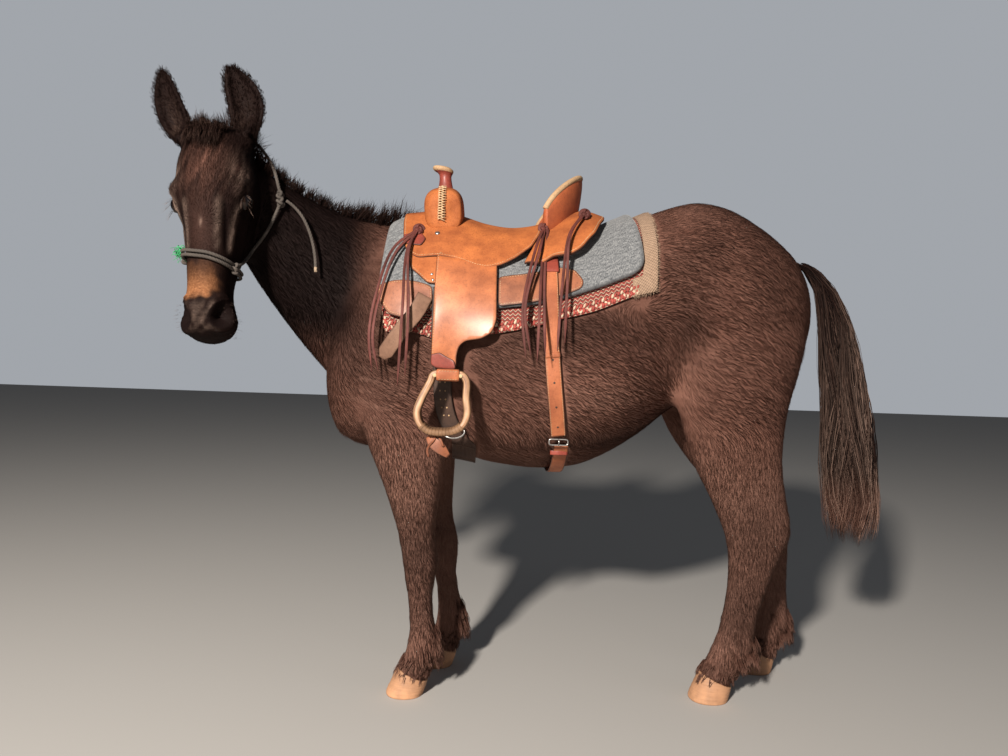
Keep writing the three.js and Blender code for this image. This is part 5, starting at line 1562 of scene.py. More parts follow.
def hooves():
    """Each hoof's wall from the floor up to its sloping coronet, with rings of growth."""
    turn = circle(48)
    heights = np.arange(0, 121, 3.0)
    for name, (table, side, dx) in FEET.items():
        wall = loft(leg_rows(table, side, dx), -heights, turn, -0.3)
        centre = (-162 if name.startswith("front") else 736) + stride(dx, 60)
        above = wall[..., 2] - (60 - math.tan(0.42) * (wall[..., 0] - centre))
        top = np.array([np.interp(0, column, heights) for column in above.T])
        rings = []
        for t in np.linspace(0, 1, 22):
            level = top * t
            ring = np.array([[np.interp(z, heights, wall[:, k, a]) for a in range(3)] for k,
                             z in enumerate(level)])
            middle = ring.mean(0) * [1, 1, 0] + [0, 0, 1] * ring
            grow = 1 - 0.012 * math.exp(-(t / 0.05) ** 2) + 0.006 * math.sin(t * 34)
            rings.append(middle + (ring - middle) * [grow, grow, 1])
        points, faces = capped(rings)
        mesh = make_mesh("hoof_horn_" + name, metres(points), faces)
        show("hoof_horn_" + name, mesh, HORN, "hoof_" + name)


# Tack: surfaces that it lies on
LIE_FROM, LIE_STEP = (-300.0, -900.0), (8.0, 6.0)  # along the body and round it


def lie_table(rows):
    """Points and normals of a body's surface by place along it and by length round it from its top,
    left side positive."""
    places, lengths = (np.arange(low, high, step) for low, high, step in zip(LIE_FROM, (501, 901), LIE_STEP))
    ring = torso_muscle(loft(rows, places, np.radians(90 + np.arange(-180, 181, 3.0))))
    gone = np.stack([walked(line) for line in ring])
    gone -= gone[:, 60:61]
    columns = [[np.interp(lengths, far, line[:, k]) for k in range(3)] for far, line in zip(gone, ring)]
    grid = np.stack(columns).transpose(0, 2, 1)
    normal = unit(np.cross(np.gradient(grid, axis=0), np.gradient(grid, axis=1)))
    normal *= np.sign(dots(normal, grid - ring.mean(1)[:, None]))[..., None]
    return grid, normal


def place_on(table, x, a):
    """Points and normals on a lie table."""
    i, j = (x - LIE_FROM[0]) / LIE_STEP[0], (a - LIE_FROM[1]) / LIE_STEP[1]
    return between(table[0], i, j), unit(between(table[1], i, j))


def spot_on(table, x, a):
    """One point and its normal on a lie table."""
    point, normal = place_on(table, np.array([float(x)]), np.array([float(a)]))
    return point[0], normal[0]


def down_to(table, x, z):
    """The length round the left side from the top down to a height."""
    half = table[0][:, 150:, 2]
    i = min(max((x - LIE_FROM[0]) / LIE_STEP[0], 0), len(half) - 1.001)
    heights = lerp(half[int(i)], half[int(i) + 1], i - int(i))
    low = np.argmin(heights)
    return float(np.interp(-z, -heights[:low + 1], np.arange(low + 1) * LIE_STEP[1]))


def on_side(table, outline):
    return np.array([(x, down_to(table, x, z)) for x, z in outline])


def over_back(table, outline):
    """A side outline that starts and ends on the back, with its mirror on the right side."""
    left = on_side(table, outline)
    left[0, 1] = left[-1, 1] = 0
    return np.concatenate([left, left[-2:0:-1] * [1, -1]])


def eased(loop, rounds):
    """A closed line with its corners rounded."""
    for _ in range(rounds):
        loop = loop * 0.5 + (np.roll(loop, 1, 0) + np.roll(loop, -1, 0)) * 0.25
    return loop


def softened(outline, step, corner):
    """An outline walked in even steps, its corners a little rounded."""
    closed = np.concatenate([outline, outline[:1]])
    count = max(int(walked(closed)[-1] / step), 12)
    return eased(even(closed, count + 1)[:-1], int((corner / step) ** 2 / 2) + 1)


def inset_line(edge, inset):
    ahead = round_loop(edge)
    after = np.roll(edge, -1, 0)
    turn = np.sign(np.sum(edge[:, 0] * after[:, 1] - after[:, 0] * edge[:, 1]))
    return edge + np.stack([-ahead[:, 1], ahead[:, 0]], -1) * inset * turn


def inside_of(outline, p):
    x0, y0 = outline.T
    x1, y1 = np.roll(outline, -1, 0).T
    px, py = p[:, :1], p[:, 1:2]
    crossing = ((y0 > py) != (y1 > py)) & (px < (x1 - x0) * (py - y0) / np.where(y1 == y0, 1e-9, y1 - y0)
                                           + x0)
    return crossing.sum(1) % 2 == 1


def to_border(outline, p):
    a, b = outline, np.roll(outline, -1, 0)
    best = np.full(len(p), np.inf)
    for start, run in zip(a, b - a):
        t = np.clip(((p - start) @ run) / max(run @ run, 1e-9), 0, 1)
        best = np.minimum(best, np.hypot(*(p - start - t[:, None] * run).T))
    return best


def sheet_grid(edge, step, soft):
    """Points and triangles inside an edge, with two rows beside it where the sheet rounds off."""
    low, high = edge.min(0), edge.max(0)
    xs, ys = np.arange(low[0], high[0], step), np.arange(low[1], high[1], step)
    grid = np.stack(np.meshgrid(xs, ys, indexing="ij"), -1).reshape(-1, 2) + [step * 0.3, step * 0.25]
    grid = grid[inside_of(edge, grid)]
    far = to_border(edge, grid)
    grid = grid[(far > step * 0.55) & (far > soft + step * 0.3)]
    inner = []
    for inset in (soft * 0.3, soft):
        moved = inset_line(edge, inset)
        inner.append(moved[to_border(edge, moved) > inset * 0.8])
    flat = np.concatenate([edge, *inner, grid])
    loop = [(i, (i + 1) % len(edge)) for i in range(len(edge))]
    got = delaunay_2d_cdt([Vector(p) for p in flat], loop, [], 1, 1e-6)
    return np.array([v[:] for v in got[0]]), np.array([f for f in got[2] if len(f) == 3])


def panel_mesh(name, table, outline, thick, lift, step, soft, corner=14.0, swell=None):
    """A closed sheet with rounded edges on a lie table, cut to an outline of places and lengths round."""
    edge = softened(outline, step * 0.6, corner)
    flat, faces = sheet_grid(edge, step, soft)
    far = to_border(edge, flat)
    round_off = np.sqrt(np.clip(1 - (1 - np.clip(far / soft, 0, 1)) ** 2, 0, 1))
    point, normal = place_on(table, flat[:, 0], flat[:, 1])
    half = thick / 2
    middle = (lift(flat) if callable(lift) else lift) + half
    more = swell(flat, far) if swell else 0
    top = point + normal * (middle + half * round_off + more)[:, None]
    under = point + normal * (middle - half * round_off)[:, None]
    number = np.arange(len(flat))
    below = np.where(far < 1e-3, number, number + len(flat))
    corners = top[faces]
    facing = np.cross(corners[:, 1] - corners[:, 0], corners[:, 2] - corners[:, 0])
    if dots(facing, normal[faces[:, 0]]).mean() <= 0:
        faces = faces[:, ::-1]
    both, all_faces = np.concatenate([top, under]), np.concatenate([faces, below[faces][:, ::-1]])
    used, fresh = np.unique(all_faces, return_inverse=True)
    mesh = make_mesh(name, metres(both[used]), fresh.reshape(all_faces.shape))
    lay_flat(mesh, "cloth", np.tile(flat, (2, 1))[used] / 1000)
    mark_border(mesh, np.tile(far, 2)[used] / 20)
    return mesh, edge


def mirrored(mesh, name):
    other = mesh.copy()
    other.name = name
    p = points_of(other)
    p[:, 1] *= -1
    set_points(other, p)
    other.flip_normals()
    return other


def pair(name, mesh, material, node=None):
    """A left piece and its mirror on the right side."""
    node = name if node is None else node
    stands = ((node + "_left",), (node + "_right",)) if node else ((), ())
    left = show(name + "_l", mesh, material, stands[0])
    right = show(name + "_r", mirrored(mesh, name + "_r"), material, stands[1])
    return left, right


def rounded_strap(path, wide, width, thick, taper=np.ones_like, around=12, step=5.0):
    """A flat strap with rounded edges along a path."""
    long = walked(path)[-1]
    count = max(int(long / step), 4)
    line, wide = even(np.asarray(path, float), count), np.asarray(wide, float)
    if wide.ndim == 2 and len(wide) != count:
        wide = even(wide, count)
    _, across, out = frames(line, wide)
    turn = circle(around) + math.pi / around
    w = np.sign(np.cos(turn)) * np.abs(np.cos(turn)) ** 0.35 * width / 2
    h = np.sign(np.sin(turn)) * np.abs(np.sin(turn)) ** 0.6 * thick / 2
    spread = taper(np.linspace(0, 1, count))[:, None] * w
    points, faces = capped(line[:, None] + across[:, None] * spread[..., None]
                           + out[:, None] * h[None, :, None])
    gone = np.broadcast_to(np.linspace(0, long, count)[:, None], spread.shape)
    uv = np.concatenate([np.stack([gone, spread], -1).reshape(-1, 2), [[0, 0], [long, 0]]]) / 1000
    far = np.broadcast_to((width / 2 - np.abs(w)) / min(20, 0.6 * width), spread.shape)
    return points, faces, uv, np.concatenate([far.ravel(), [0, 0]])


def strap_mesh(name, straps):
    """Straps as one mesh, with their own flat places and nearness to the edge."""
    points, faces = merged([strap[:2] for strap in straps])
    mesh = make_mesh(name, metres(points), faces)
    lay_flat(mesh, "cloth", np.concatenate([strap[2] for strap in straps]))
    mark_border(mesh, np.concatenate([strap[3] for strap in straps]))
    return mesh


STITCH_LONG, STITCH_GAP, STITCH_WIDE, STITCH_LIFT = 4.6, 2.6, 1.3, 0.4
STITCH_FORM = ((-0.5, 0.25), (-0.32, 1.0), (0.32, 1.0), (0.5, 0.25))  # along the stitch, and how thick
STITCH_SIDES = 5


def stitch_bodies(line, normals):
    """Little thread stitches along a line in space, drawn in at their ends."""
    gone = walked(line)
    at = np.arange(STITCH_GAP, gone[-1] - STITCH_LONG, STITCH_LONG + STITCH_GAP)
    a, b, n = (np.stack([np.interp(s, gone, rows[:, k]) for k in range(3)], -1)
               for s, rows in ((at, line), (at + STITCH_LONG, line), (at + STITCH_LONG / 2, normals)))
    run, n = unit(b - a), unit(n)
    side = np.cross(n, run)
    middle = (a + b) / 2 + n * STITCH_LIFT
    parts = [middle + run * (STITCH_LONG * s) + (side * math.cos(t) + n * math.sin(t)) * (STITCH_WIDE / 2 * r)
             for s, r in STITCH_FORM for t in circle(STITCH_SIDES)]
    body = np.stack(parts, 1)
    quads = tube_faces(len(STITCH_FORM), STITCH_SIDES)[0]
    faces = (quads[None] + (np.arange(len(body)) * len(parts))[:, None, None]).reshape(-1, 4)
    return body.reshape(-1, 3), faces


def stitched(table, edge, inset, lift, keep=None):
    """Stitches a little inside an edge, along its stretches of more than three points that are kept."""
    line = inset_line(edge, inset)
    kept = np.ones(len(line), bool) if keep is None else keep(line)
    order = np.roll(np.arange(len(line)), -int(np.argmin(kept)))
    bodies = []
    for run in np.split(order, np.flatnonzero(~kept[order])):
        run = run[kept[run]]
        if len(run) > 3:
            point, normal = place_on(table, *line[run].T)
            bodies.append(stitch_bodies(point + normal * lift, normal))
    return merged(bodies)


def stud(at, normal, wide, high, sides=20):
    """A low domed stud or disc on a surface."""
    normal = unit(normal)
    side = unit(np.cross(normal, [0.3, 0.5, 0.8]))
    turn = circle(sides)[:, None]
    rim = side * np.cos(turn) + np.cross(normal, side) * np.sin(turn)
    profile = ((1.0, -0.6), (1.0, 0.25), (0.9, 0.6), (0.62, 0.9), (0.3, 1.0))
    return capped([at + rim * (wide / 2 * r) + normal * (high * h) for r, h in profile])


def bead(at, normal, down, wide, long, high):
    """A rounded tuft of wool on a surface, its length down it."""
    down = unit(down - normal * down.dot(normal))
    side = np.cross(normal, down)
    turn = circle(8)[:, None]
    rim = side * np.cos(turn) * wide / 2 + normal * np.sin(turn) * high
    places = (-1.0, -0.72, -0.1, 0.6, 1.0)
    return capped([at + down * (t * long / 2) + rim * math.sqrt(max(1 - t * t, 0.02)) for t in places])


def knot(at, size, radius, normal=(0, -1, 0.2), turn=0.0):
    """A trefoil of cord drawn tight."""
    t = circle(90)
    shape = np.stack([np.sin(t) + 2 * np.sin(2 * t), np.cos(t) - 2 * np.cos(2 * t), -1.5 * np.sin(3 * t)], -1)
    normal = unit(normal)
    side = unit(np.cross(normal, [0.2, 0.4, 0.9]))
    other = np.cross(normal, side)
    c, s = math.cos(turn), math.sin(turn)
    line = at + shape * size / 3 @ np.stack([side * c + other * s, other * c - side * s, normal])
    return ring_tube(line, radius, 8, normal + 0.01)


def plain_mesh(name, bodies):
    points, faces = merged(bodies)
    mesh = make_mesh(name, metres(points), faces)
    mark_border(mesh, np.ones(len(points)))
    return mesh


def plain_piece(name, bodies, material, stands_for=()):
    return show(name, plain_mesh(name, bodies), material, stands_for)


def both_sides(name, bodies, material, node=None):
    return pair(name, plain_mesh(name, bodies), material, node)


# Finishes of the tack
def grain_group():
    """Leather grain: pores and creases as a height, mottling and fine speckle as masks."""
    outputs = [("Mottle", "Float"), ("Speckle", "Float"), ("Height", "Float")]
    tree, given, out = group_named("leather_grain", [("Size", "Float", 1.0)], outputs)
    where = add(tree, "VectorMath", operation="SCALE", i0=place(tree), Scale=given["Size"]).outputs[0]
    mottle = noise(tree, where, 14.0, 5.0, Roughness=0.6)
    speckle = noise(tree, where, 180.0, 4.0, Roughness=0.7)
    cells = add(tree, "TexVoronoi", Vector=where, Scale=420.0).outputs["Distance"]
    creases = noise(tree, where, 38.0, 6.0, Distortion=1.2)
    high = calc(tree, "ADD", times(tree, cells, 0.5), times(tree, creases, 0.8))
    high = calc(tree, "ADD", high, times(tree, speckle, 0.5))
    for socket, value in zip(out, (mottle, speckle, high)):
        tree.links.new(value, socket)
    return tree


def edge_group():
    """Where a piece is near its cut edge, and where that edge is rubbed."""
    tree, given, out = group_named("cut_edge", [("Reach", "Float", 0.2)],
                                   [("Edge", "Float"), ("Rubbed", "Float")])
    far = masks_of(tree, "border")[1][0]
    patchy = noise(tree, place(tree), 60.0, 4.0)
    edge = calc(tree, "SUBTRACT", 1.0, calc(tree, "DIVIDE", far, given["Reach"], clamp=True), clamp=True)
    tree.links.new(edge, out["Edge"])
    tree.links.new(times(tree, edge, times(tree, patchy, 1.6, clamp=True), clamp=True), out["Rubbed"])
    return tree


def leather_finish(name, pale, deep, edge, rough, bump=0.35, gloss=0.0):
    """Mottled leather between two colours, its cut edges rubbed in patches and darkened along the rim to a
    third, that dark rim being both the edge's own dark finish and painted shade under a panel's edge; rough
    is its range of roughness."""
    material, tree = finish_named(name)
    grain, border = placed(tree, GRAIN, Size=1.0), placed(tree, CUT_EDGE, Reach=0.24)
    body = mixed(tree, ramp(tree, grain["Mottle"], (0.34, 0.0), (0.66, 1.0)), deep, pale)
    dark = times(tree, ramp(tree, grain["Speckle"], (0.52, 0.0), (0.72, 1.0)), 0.6, clamp=True)
    body = mixed(tree, dark, body, tuple(v * 0.55 for v in deep))
    body = mixed(tree, times(tree, border["Rubbed"], 0.95, clamp=True), body, edge)
    # The dark rim all along the cut edge: the edge's own dark finish, and also painted shade under the
    # panel's edge.
    body = mixed(tree, ramp(tree, border["Edge"], (0.55, 0.0), (0.85, 0.9)), body, edge)
    shine = ramp(tree, grain["Mottle"], (0.3, rough[1]), (0.7, rough[0]))
    shade(tree, Base_Color=body, Roughness=shine, Specular_IOR_Level=0.32, Coat_Weight=gloss,
          Coat_Roughness=0.3)
    relief(tree, grain["Height"], bump, 0.0016)
    return material


def felt_finish():
    """Grey wool felt, heathered along the sheet, darker at its cut edge."""
    material, tree = finish_named("heathered_felt")
    where = place(tree, "UV")
    long = noise(tree, drawn_out(tree, where, (46, 150, 1)), 1.0, 7.0, Roughness=0.8)
    fine = noise(tree, drawn_out(tree, where, (420, 160, 1), Rotation=(0, 0, 0.5)), 1.0, 5.0)
    both = calc(tree, "ADD", times(tree, long, 0.6), times(tree, fine, 0.4))
    border = placed(tree, CUT_EDGE, Reach=0.45)
    greys = (0.38, (0.028, 0.029, 0.033)), (0.5, (0.12, 0.125, 0.132)), (0.62, (0.26, 0.26, 0.26))
    body = mixed(tree, times(tree, border["Edge"], 0.72), ramp(tree, both, *greys), (0.035, 0.035, 0.04))
    shade(tree, Base_Color=body, Roughness=0.95, Sheen_Weight=0.3)
    relief(tree, both, 0.9, 0.002)
    return material


def blanket_finish():
    """Woven bands of red, cream and brown that run in zigzags along the cloth's lower edge."""
    material, tree = finish_named("woven_wool")
    part = add(tree, "SeparateXYZ", Vector=place(tree, "UV")).outputs
    saw = calc(tree, "PINGPONG", times(tree, part[0], 72.0), 0.5)
    row = times(tree, calc(tree, "ABSOLUTE", part[1]), 88.0)
    band = calc(tree, "FRACT", calc(tree, "ADD", row, times(tree, saw, 1.3)))
    red, cream, brown = (0.30, 0.04, 0.032), (0.55, 0.37, 0.27), (0.05, 0.014, 0.012)
    stops = (0.0, red), (0.28, red), (0.34, cream), (0.54, cream), (0.62, brown), (0.8, brown), (0.86,
                                                                                                 (0.36,
                                                                                                  0.07,
                                                                                                  0.05))
    weft = calc(tree, "SINE", times(tree, part[0], 1900.0))
    warp = calc(tree, "SINE", times(tree, part[1], 900.0))
    fuzz = ramp(tree, noise(tree, place(tree), 260.0, 3.0), (0.3, 0.45), (0.7, 1.3))
    shade(tree, Base_Color=mixed(tree, 0.55, ramp(tree, band, *stops), fuzz, "MULTIPLY"), Roughness=0.95)
    relief(tree, calc(tree, "ADD", times(tree, weft, 0.5), warp), 0.9, 0.0018)
    return material


def burlap_finish():
    material, tree = finish_named("tan_burlap")
    part = add(tree, "SeparateXYZ", Vector=place(tree, "UV")).outputs
    height = times(tree, *(calc(tree, "SINE", times(tree, part[k], 700.0)) for k in (0, 1)))
    fuzz = noise(tree, place(tree), 120.0, 5.0)
    share = calc(tree, "ADD", times(tree, height, 0.22), times(tree, fuzz, 0.9), clamp=True)
    shade(tree, Base_Color=mixed(tree, share, (0.16, 0.10, 0.065), (0.40, 0.27, 0.185)), Roughness=0.95)
    relief(tree, height, 0.8, 0.0016)
    return material


def rope_finish(name, pale, deep, frayed_below=0.0):
    """Twisted fibre, dusty in patches; below a height its cut end is pale."""
    material, tree = finish_named(name)
    where = place(tree)
    fibre, dirt = noise(tree, where, 420.0, 3.0), noise(tree, where, 24.0, 3.0)
    body = mixed(tree, fibre, deep, pale)
    if frayed_below:
        height = add(tree, "SeparateXYZ", Vector=where).outputs[2]
        share = times(tree, calc(tree, "SUBTRACT", frayed_below, height), 500.0, clamp=True)
        body = mixed(tree, share, body, (0.40, 0.29, 0.20))
    shade(tree, Base_Color=mixed(tree, 0.7, body, ramp(tree, dirt, (0.3, 0.55), (0.7, 1.15)),
                                 "MULTIPLY"), Roughness=0.85)
    relief(tree, fibre, 0.6, 0.001)
    return material


def wood_finish():
    """Bent wood with fine lines along the hoop, grimy and darker at its edges."""
    material, tree = finish_named("bent_wood")
    lines = noise(tree, drawn_out(tree, place(tree, "UV"), (6, 300, 1)), 1.0, 6.0, Distortion=0.6)
    grime = noise(tree, place(tree), 30.0, 4.0)
    border = placed(tree, CUT_EDGE, Reach=0.22)
    browns = (0.34, (0.14, 0.065, 0.034)), (0.5, (0.38, 0.205, 0.112)), (0.66, (0.52, 0.32, 0.19))
    body = mixed(tree, times(tree, border["Edge"], 0.75), ramp(tree, lines, *browns), (0.09, 0.045, 0.02))
    shade(tree, Base_Color=mixed(tree, 0.6, body, ramp(tree, grime, (0.35, 0.5), (0.6, 1.1)),
                                 "MULTIPLY"), Roughness=0.5)
    relief(tree, lines, 0.4, 0.001)
    return material


def steel_finish():
    material, tree = finish_named("worn_steel")
    marks = noise(tree, place(tree), 220.0, 5.0)
    colour = ramp(tree, marks, (0.3, (0.22, 0.2, 0.19)), (0.7, (0.62, 0.6, 0.58)))
    shade(tree, Base_Color=colour, Roughness=ramp(tree, marks, (0.3, 0.5), (0.7, 0.28)), Metallic=1.0)
    return material


GRAIN, CUT_EDGE = grain_group(), edge_group()
SADDLE_TAN = leather_finish("rough_tan_leather", (0.43, 0.128, 0.034), (0.24, 0.062, 0.016),
                            (0.055, 0.018, 0.01), (0.65, 0.85), bump=0.55)
FENDER_TAN = leather_finish("oiled_tan_leather", (0.43, 0.128, 0.038), (0.24, 0.066, 0.02),
                            (0.07, 0.023, 0.011), (0.5, 0.7), gloss=0.3)
WEAR_TAN = leather_finish("sunburnt_leather", (0.30, 0.105, 0.05), (0.15, 0.05, 0.026),
                          (0.05, 0.02, 0.012), (0.45, 0.7), gloss=0.12)
STRAP_TAN = leather_finish("strap_leather", (0.43, 0.14, 0.058), (0.26, 0.075, 0.031), (0.05, 0.018, 0.01),
                           (0.5, 0.7), gloss=0.08)
CHERRY = leather_finish("cherry_leather", (0.27, 0.05, 0.032), (0.15, 0.028, 0.019), (0.05, 0.013, 0.009),
                        (0.42, 0.62), gloss=0.15)
STRING_RED = leather_finish("string_leather", (0.13, 0.032, 0.024), (0.06, 0.016, 0.013),
                            (0.035, 0.01, 0.008), (0.6, 0.8))
CANTLE_BROWN = leather_finish("cantle_leather", (0.42, 0.11, 0.04), (0.25, 0.06, 0.025),
                              (0.07, 0.02, 0.01), (0.5, 0.7))
PALE_BINDING = leather_finish("pale_binding", (0.46, 0.30, 0.17), (0.32, 0.19, 0.10), (0.2, 0.11, 0.06),
                              (0.6, 0.8))
DARK_STRAP = leather_finish("dark_strap_leather", (0.075, 0.042, 0.030), (0.035, 0.021, 0.017),
                            (0.02, 0.013, 0.01), (0.5, 0.7))
GREY_STRAP = leather_finish("dusty_strap_leather", (0.22, 0.118, 0.074), (0.13, 0.066, 0.042),
                            (0.07, 0.035, 0.022), (0.6, 0.8))
TREAD_BROWN = leather_finish("tread_leather", (0.27, 0.15, 0.08), (0.14, 0.075, 0.04), (0.07, 0.035, 0.02),
                             (0.55, 0.75))
FELT, WOVEN, BURLAP = felt_finish(), blanket_finish(), burlap_finish()
GREY_ROPE = rope_finish("grey_rope", (0.10, 0.08, 0.068), (0.03, 0.024, 0.02))
ROPE_TIP = rope_finish("rope_cut_end", (0.10, 0.08, 0.068), (0.03, 0.024, 0.02), 1.231)
CINCH_CORD = rope_finish("cinch_cord", (0.080, 0.038, 0.024), (0.035, 0.016, 0.010))
GREEN_TWINE = rope_finish("green_twine", (0.08, 0.52, 0.20), (0.02, 0.26, 0.10))
THREAD = rope_finish("waxed_thread", (0.68, 0.50, 0.30), (0.40, 0.26, 0.14))
KNOTS_RED = rope_finish("wool_knots", (0.42, 0.07, 0.05), (0.20, 0.03, 0.025))
KNOTS_CREAM = rope_finish("cream_knots", (0.70, 0.52, 0.38), (0.38, 0.25, 0.18))
WOOD, STEEL = wood_finish(), steel_finish()

# Tack: the outlines, as side views of x and z in mm
LAYERS = {"blanket": (1, 7), "trim": (1, 8.6), "pad": (9, 27), "wear": (27.3, 30),
          "plate": (30.5, 35), "fender": (40.4, 45)}
BLANKET = ((-270, 1500), (-269, 1250), (-268, 1098), (-258, 1046), (-130, 1036), (61, 1056), (225, 1100),
           (412, 1166), (445, 1176), (449, 1300), (452, 1500))
TRIM = ((489, 1500), (486, 1300), (482, 1240), (478, 1183), (412, 1165), (411, 1214), (440, 1224),
        (448, 1300), (453, 1500))
PAD = ((-262, 1500), (-280, 1168), (-268, 1117), (-129, 1106), (59, 1117), (223, 1147), (301, 1173),
       (420, 1220), (446, 1248), (446, 1300), (438, 1500))
JOCKEY = ((-232, 1600), (-232, 1383), (-224, 1308), (-208, 1278), (-178, 1261), (-114, 1268), (-69, 1259),
          (-25, 1242), (13, 1234), (56, 1245),
          (93, 1266), (140, 1305), (166, 1350), (176, 1600))
REAR = ((140, 1600), (140, 1307), (112, 1253), (128, 1262), (166, 1256), (192, 1278), (242, 1283),
        (274, 1305), (316, 1353), (352, 1405), (361, 1421), (361, 1600))
WEAR_FRONT = ((-279, 1167), (-129, 1169), (-126, 1113), (-160, 1094), (-200, 1083), (-240, 1092),
              (-268, 1124))
WEAR_REAR = ((51, 1196), (216, 1226), (259, 1221), (283, 1192), (277, 1172), (222, 1150), (53, 1118))
PLATE = ((-206, 1288), (-178, 1274), (-100, 1278), (-106, 1177), (-129, 1174), (-145, 1176), (-192, 1215))
FENDER = ((-121, 1258), (-69, 1257), (-25, 1253), (13, 1246), (46, 1252), (53, 1078), (43, 1048),
          (19, 1033), (-26, 1026), (-40, 1014), (-45, 990), (-45, 956), (-117, 966), (-120, 1112))
HOBBLE = ((-117, 993), (-88, 998), (-48, 978), (-44, 957), (-99, 958), (-116, 966))
SEAT = ((-260, 1412), (-200, 1422), (-130, 1428), (-57, 1414), (10, 1394), (82, 1384), (140, 1390),
        (181, 1402), (240, 1432), (300, 1448), (365, 1430), (400, 1420))


def tree_rows():
    rows = []
    for x, top in SEAT:
        _, _, _, high, _, _, low, half, k, above, below = curve_rows(TORSO, [x])[0]
        widest = lerp(low, high, k)
        rows.append(side_row(x, top, low - 48, half + 48, (widest - low + 48) / (top - low + 48),
                             above, below))
    return rows


ON_COAT = lie_table(TORSO)
ON_TREE = lie_table(tree_rows())


def beside(x, z, lift):
    """A point beside the body's left side, so far off it."""
    point, normal = spot_on(ON_COAT, x, down_to(ON_COAT, x, z))
    return point + normal * lift


def line_beside(points, count):
    return curve_through([beside(*p) for p in points], count)


def layer_piece(name, layer, outline, material, step, soft, **more):
    """A leather panel on both sides, in its layer. Gives its edge and how far off the coat its face is."""
    inner, outer = LAYERS[layer]
    more = {"lift": inner, **more}
    mesh, edge = panel_mesh(name, ON_COAT, on_side(ON_COAT, outline), outer - inner, step=step, soft=soft,
                            **more)
    pair(name, mesh, material)
    return edge, outer


def blanket_knots(edge, outer, pick):
    """Short knots of wool in three ranks along the blanket's lower edges, red or cream."""
    knots = {"wool_knots": [], "cream_knots": []}
    low_edge = inset_line(edge, 3.0)
    gone = np.cumsum(np.linalg.norm(np.diff(low_edge, axis=0, append=low_edge[:1]), axis=1))
    for i, s in enumerate(np.arange(0, gone[-1], 8.5)):
        x, a = low_edge[int(np.searchsorted(gone, s)) % len(low_edge)]
        if abs(a) < 330 or x > 425:
            continue
        for rank in range(3):
            down = np.array([0.35 if rank % 2 else -0.35, 0, -1.0])
            at, normal = spot_on(ON_COAT, x + pick.normal(0, 0.8), a - math.copysign(rank * 12.5 - 5, a))
            size = pick.uniform(6.4, 8.2), pick.uniform(12, 15), pick.uniform(3.4, 4.6)
            knots["wool_knots" if (i + rank) % 3
                  else "cream_knots"].append(bead(at + normal * outer, normal, down, *size))
    return knots


def frayed_tufts(edge, pick):
    """Loose threads at the rear edge of the burlap."""
    tufts = []
    for x, a in inset_line(edge, 0.5):
        if x < 400 or (x < 470 and (x <= 405 or abs(a) <= 300)):
            continue
        at, normal = spot_on(ON_COAT, x, a)
        out = np.array([1.0, 0, -0.1]) if x > 470 else np.array([0.15, 0, -1.0])
        out = unit(out - normal * normal.dot(out))
        for _ in range(2):
            way = unit(out + pick.normal(0, 0.25, 3))
            long = pick.uniform(4, 11)
            end = at + normal * pick.uniform(2, 6) + way * long
            line = np.stack([at + normal * 4 - out * 2, at + normal * 4.5 + way * long * 0.5, end])
            tufts.append(tube(line, np.array([0.9, 0.8, 0.3]), 4))
    return tufts


def pad_swell(flat, far):
    """How the felt pad rises and sinks: a little everywhere, and down along its spine."""
    waves = wavy(np.stack([flat[:, 0], flat[:, 1], 0 * far], -1), 120, 52)
    return 1.2 * waves * smooth(far / 40) - 2.5 * smooth((60 - np.abs(flat[:, 1])) / 60)


def saddle_cloths():
    inner, outer = LAYERS["blanket"]
    outline = over_back(ON_COAT, BLANKET)
    mesh, edge = panel_mesh("woven_blanket", ON_COAT, outline, outer - inner - 0.5, inner, 14.0, 2.0, 8.0)
    cloth = show("woven_blanket", mesh, WOVEN, "blanket")
    pick = np.random.default_rng(51)
    wools = {"wool_knots": KNOTS_RED, "cream_knots": KNOTS_CREAM}
    knots = blanket_knots(edge, outer, pick)
    fringe = [plain_piece(name, bodies, wools[name]) for name, bodies in knots.items()]
    inner, outer = LAYERS["trim"]
    mesh, edge = panel_mesh("burlap_trim", ON_COAT, over_back(ON_COAT, TRIM), outer - inner, inner, 10.0,
                            1.6, 6.0)
    show("burlap_trim", mesh, BURLAP, "blanket_trim")
    plain_piece("frayed_threads", frayed_tufts(edge, pick), BURLAP)
    inner, outer = LAYERS["pad"]
    pad = over_back(ON_COAT, PAD)
    mesh, _ = panel_mesh("felt_pad_body", ON_COAT, pad, outer - inner, inner, 10.0, 9.0, 30.0,
                         swell=pad_swell)
    show("felt_pad_body", mesh, FELT, "felt_pad")


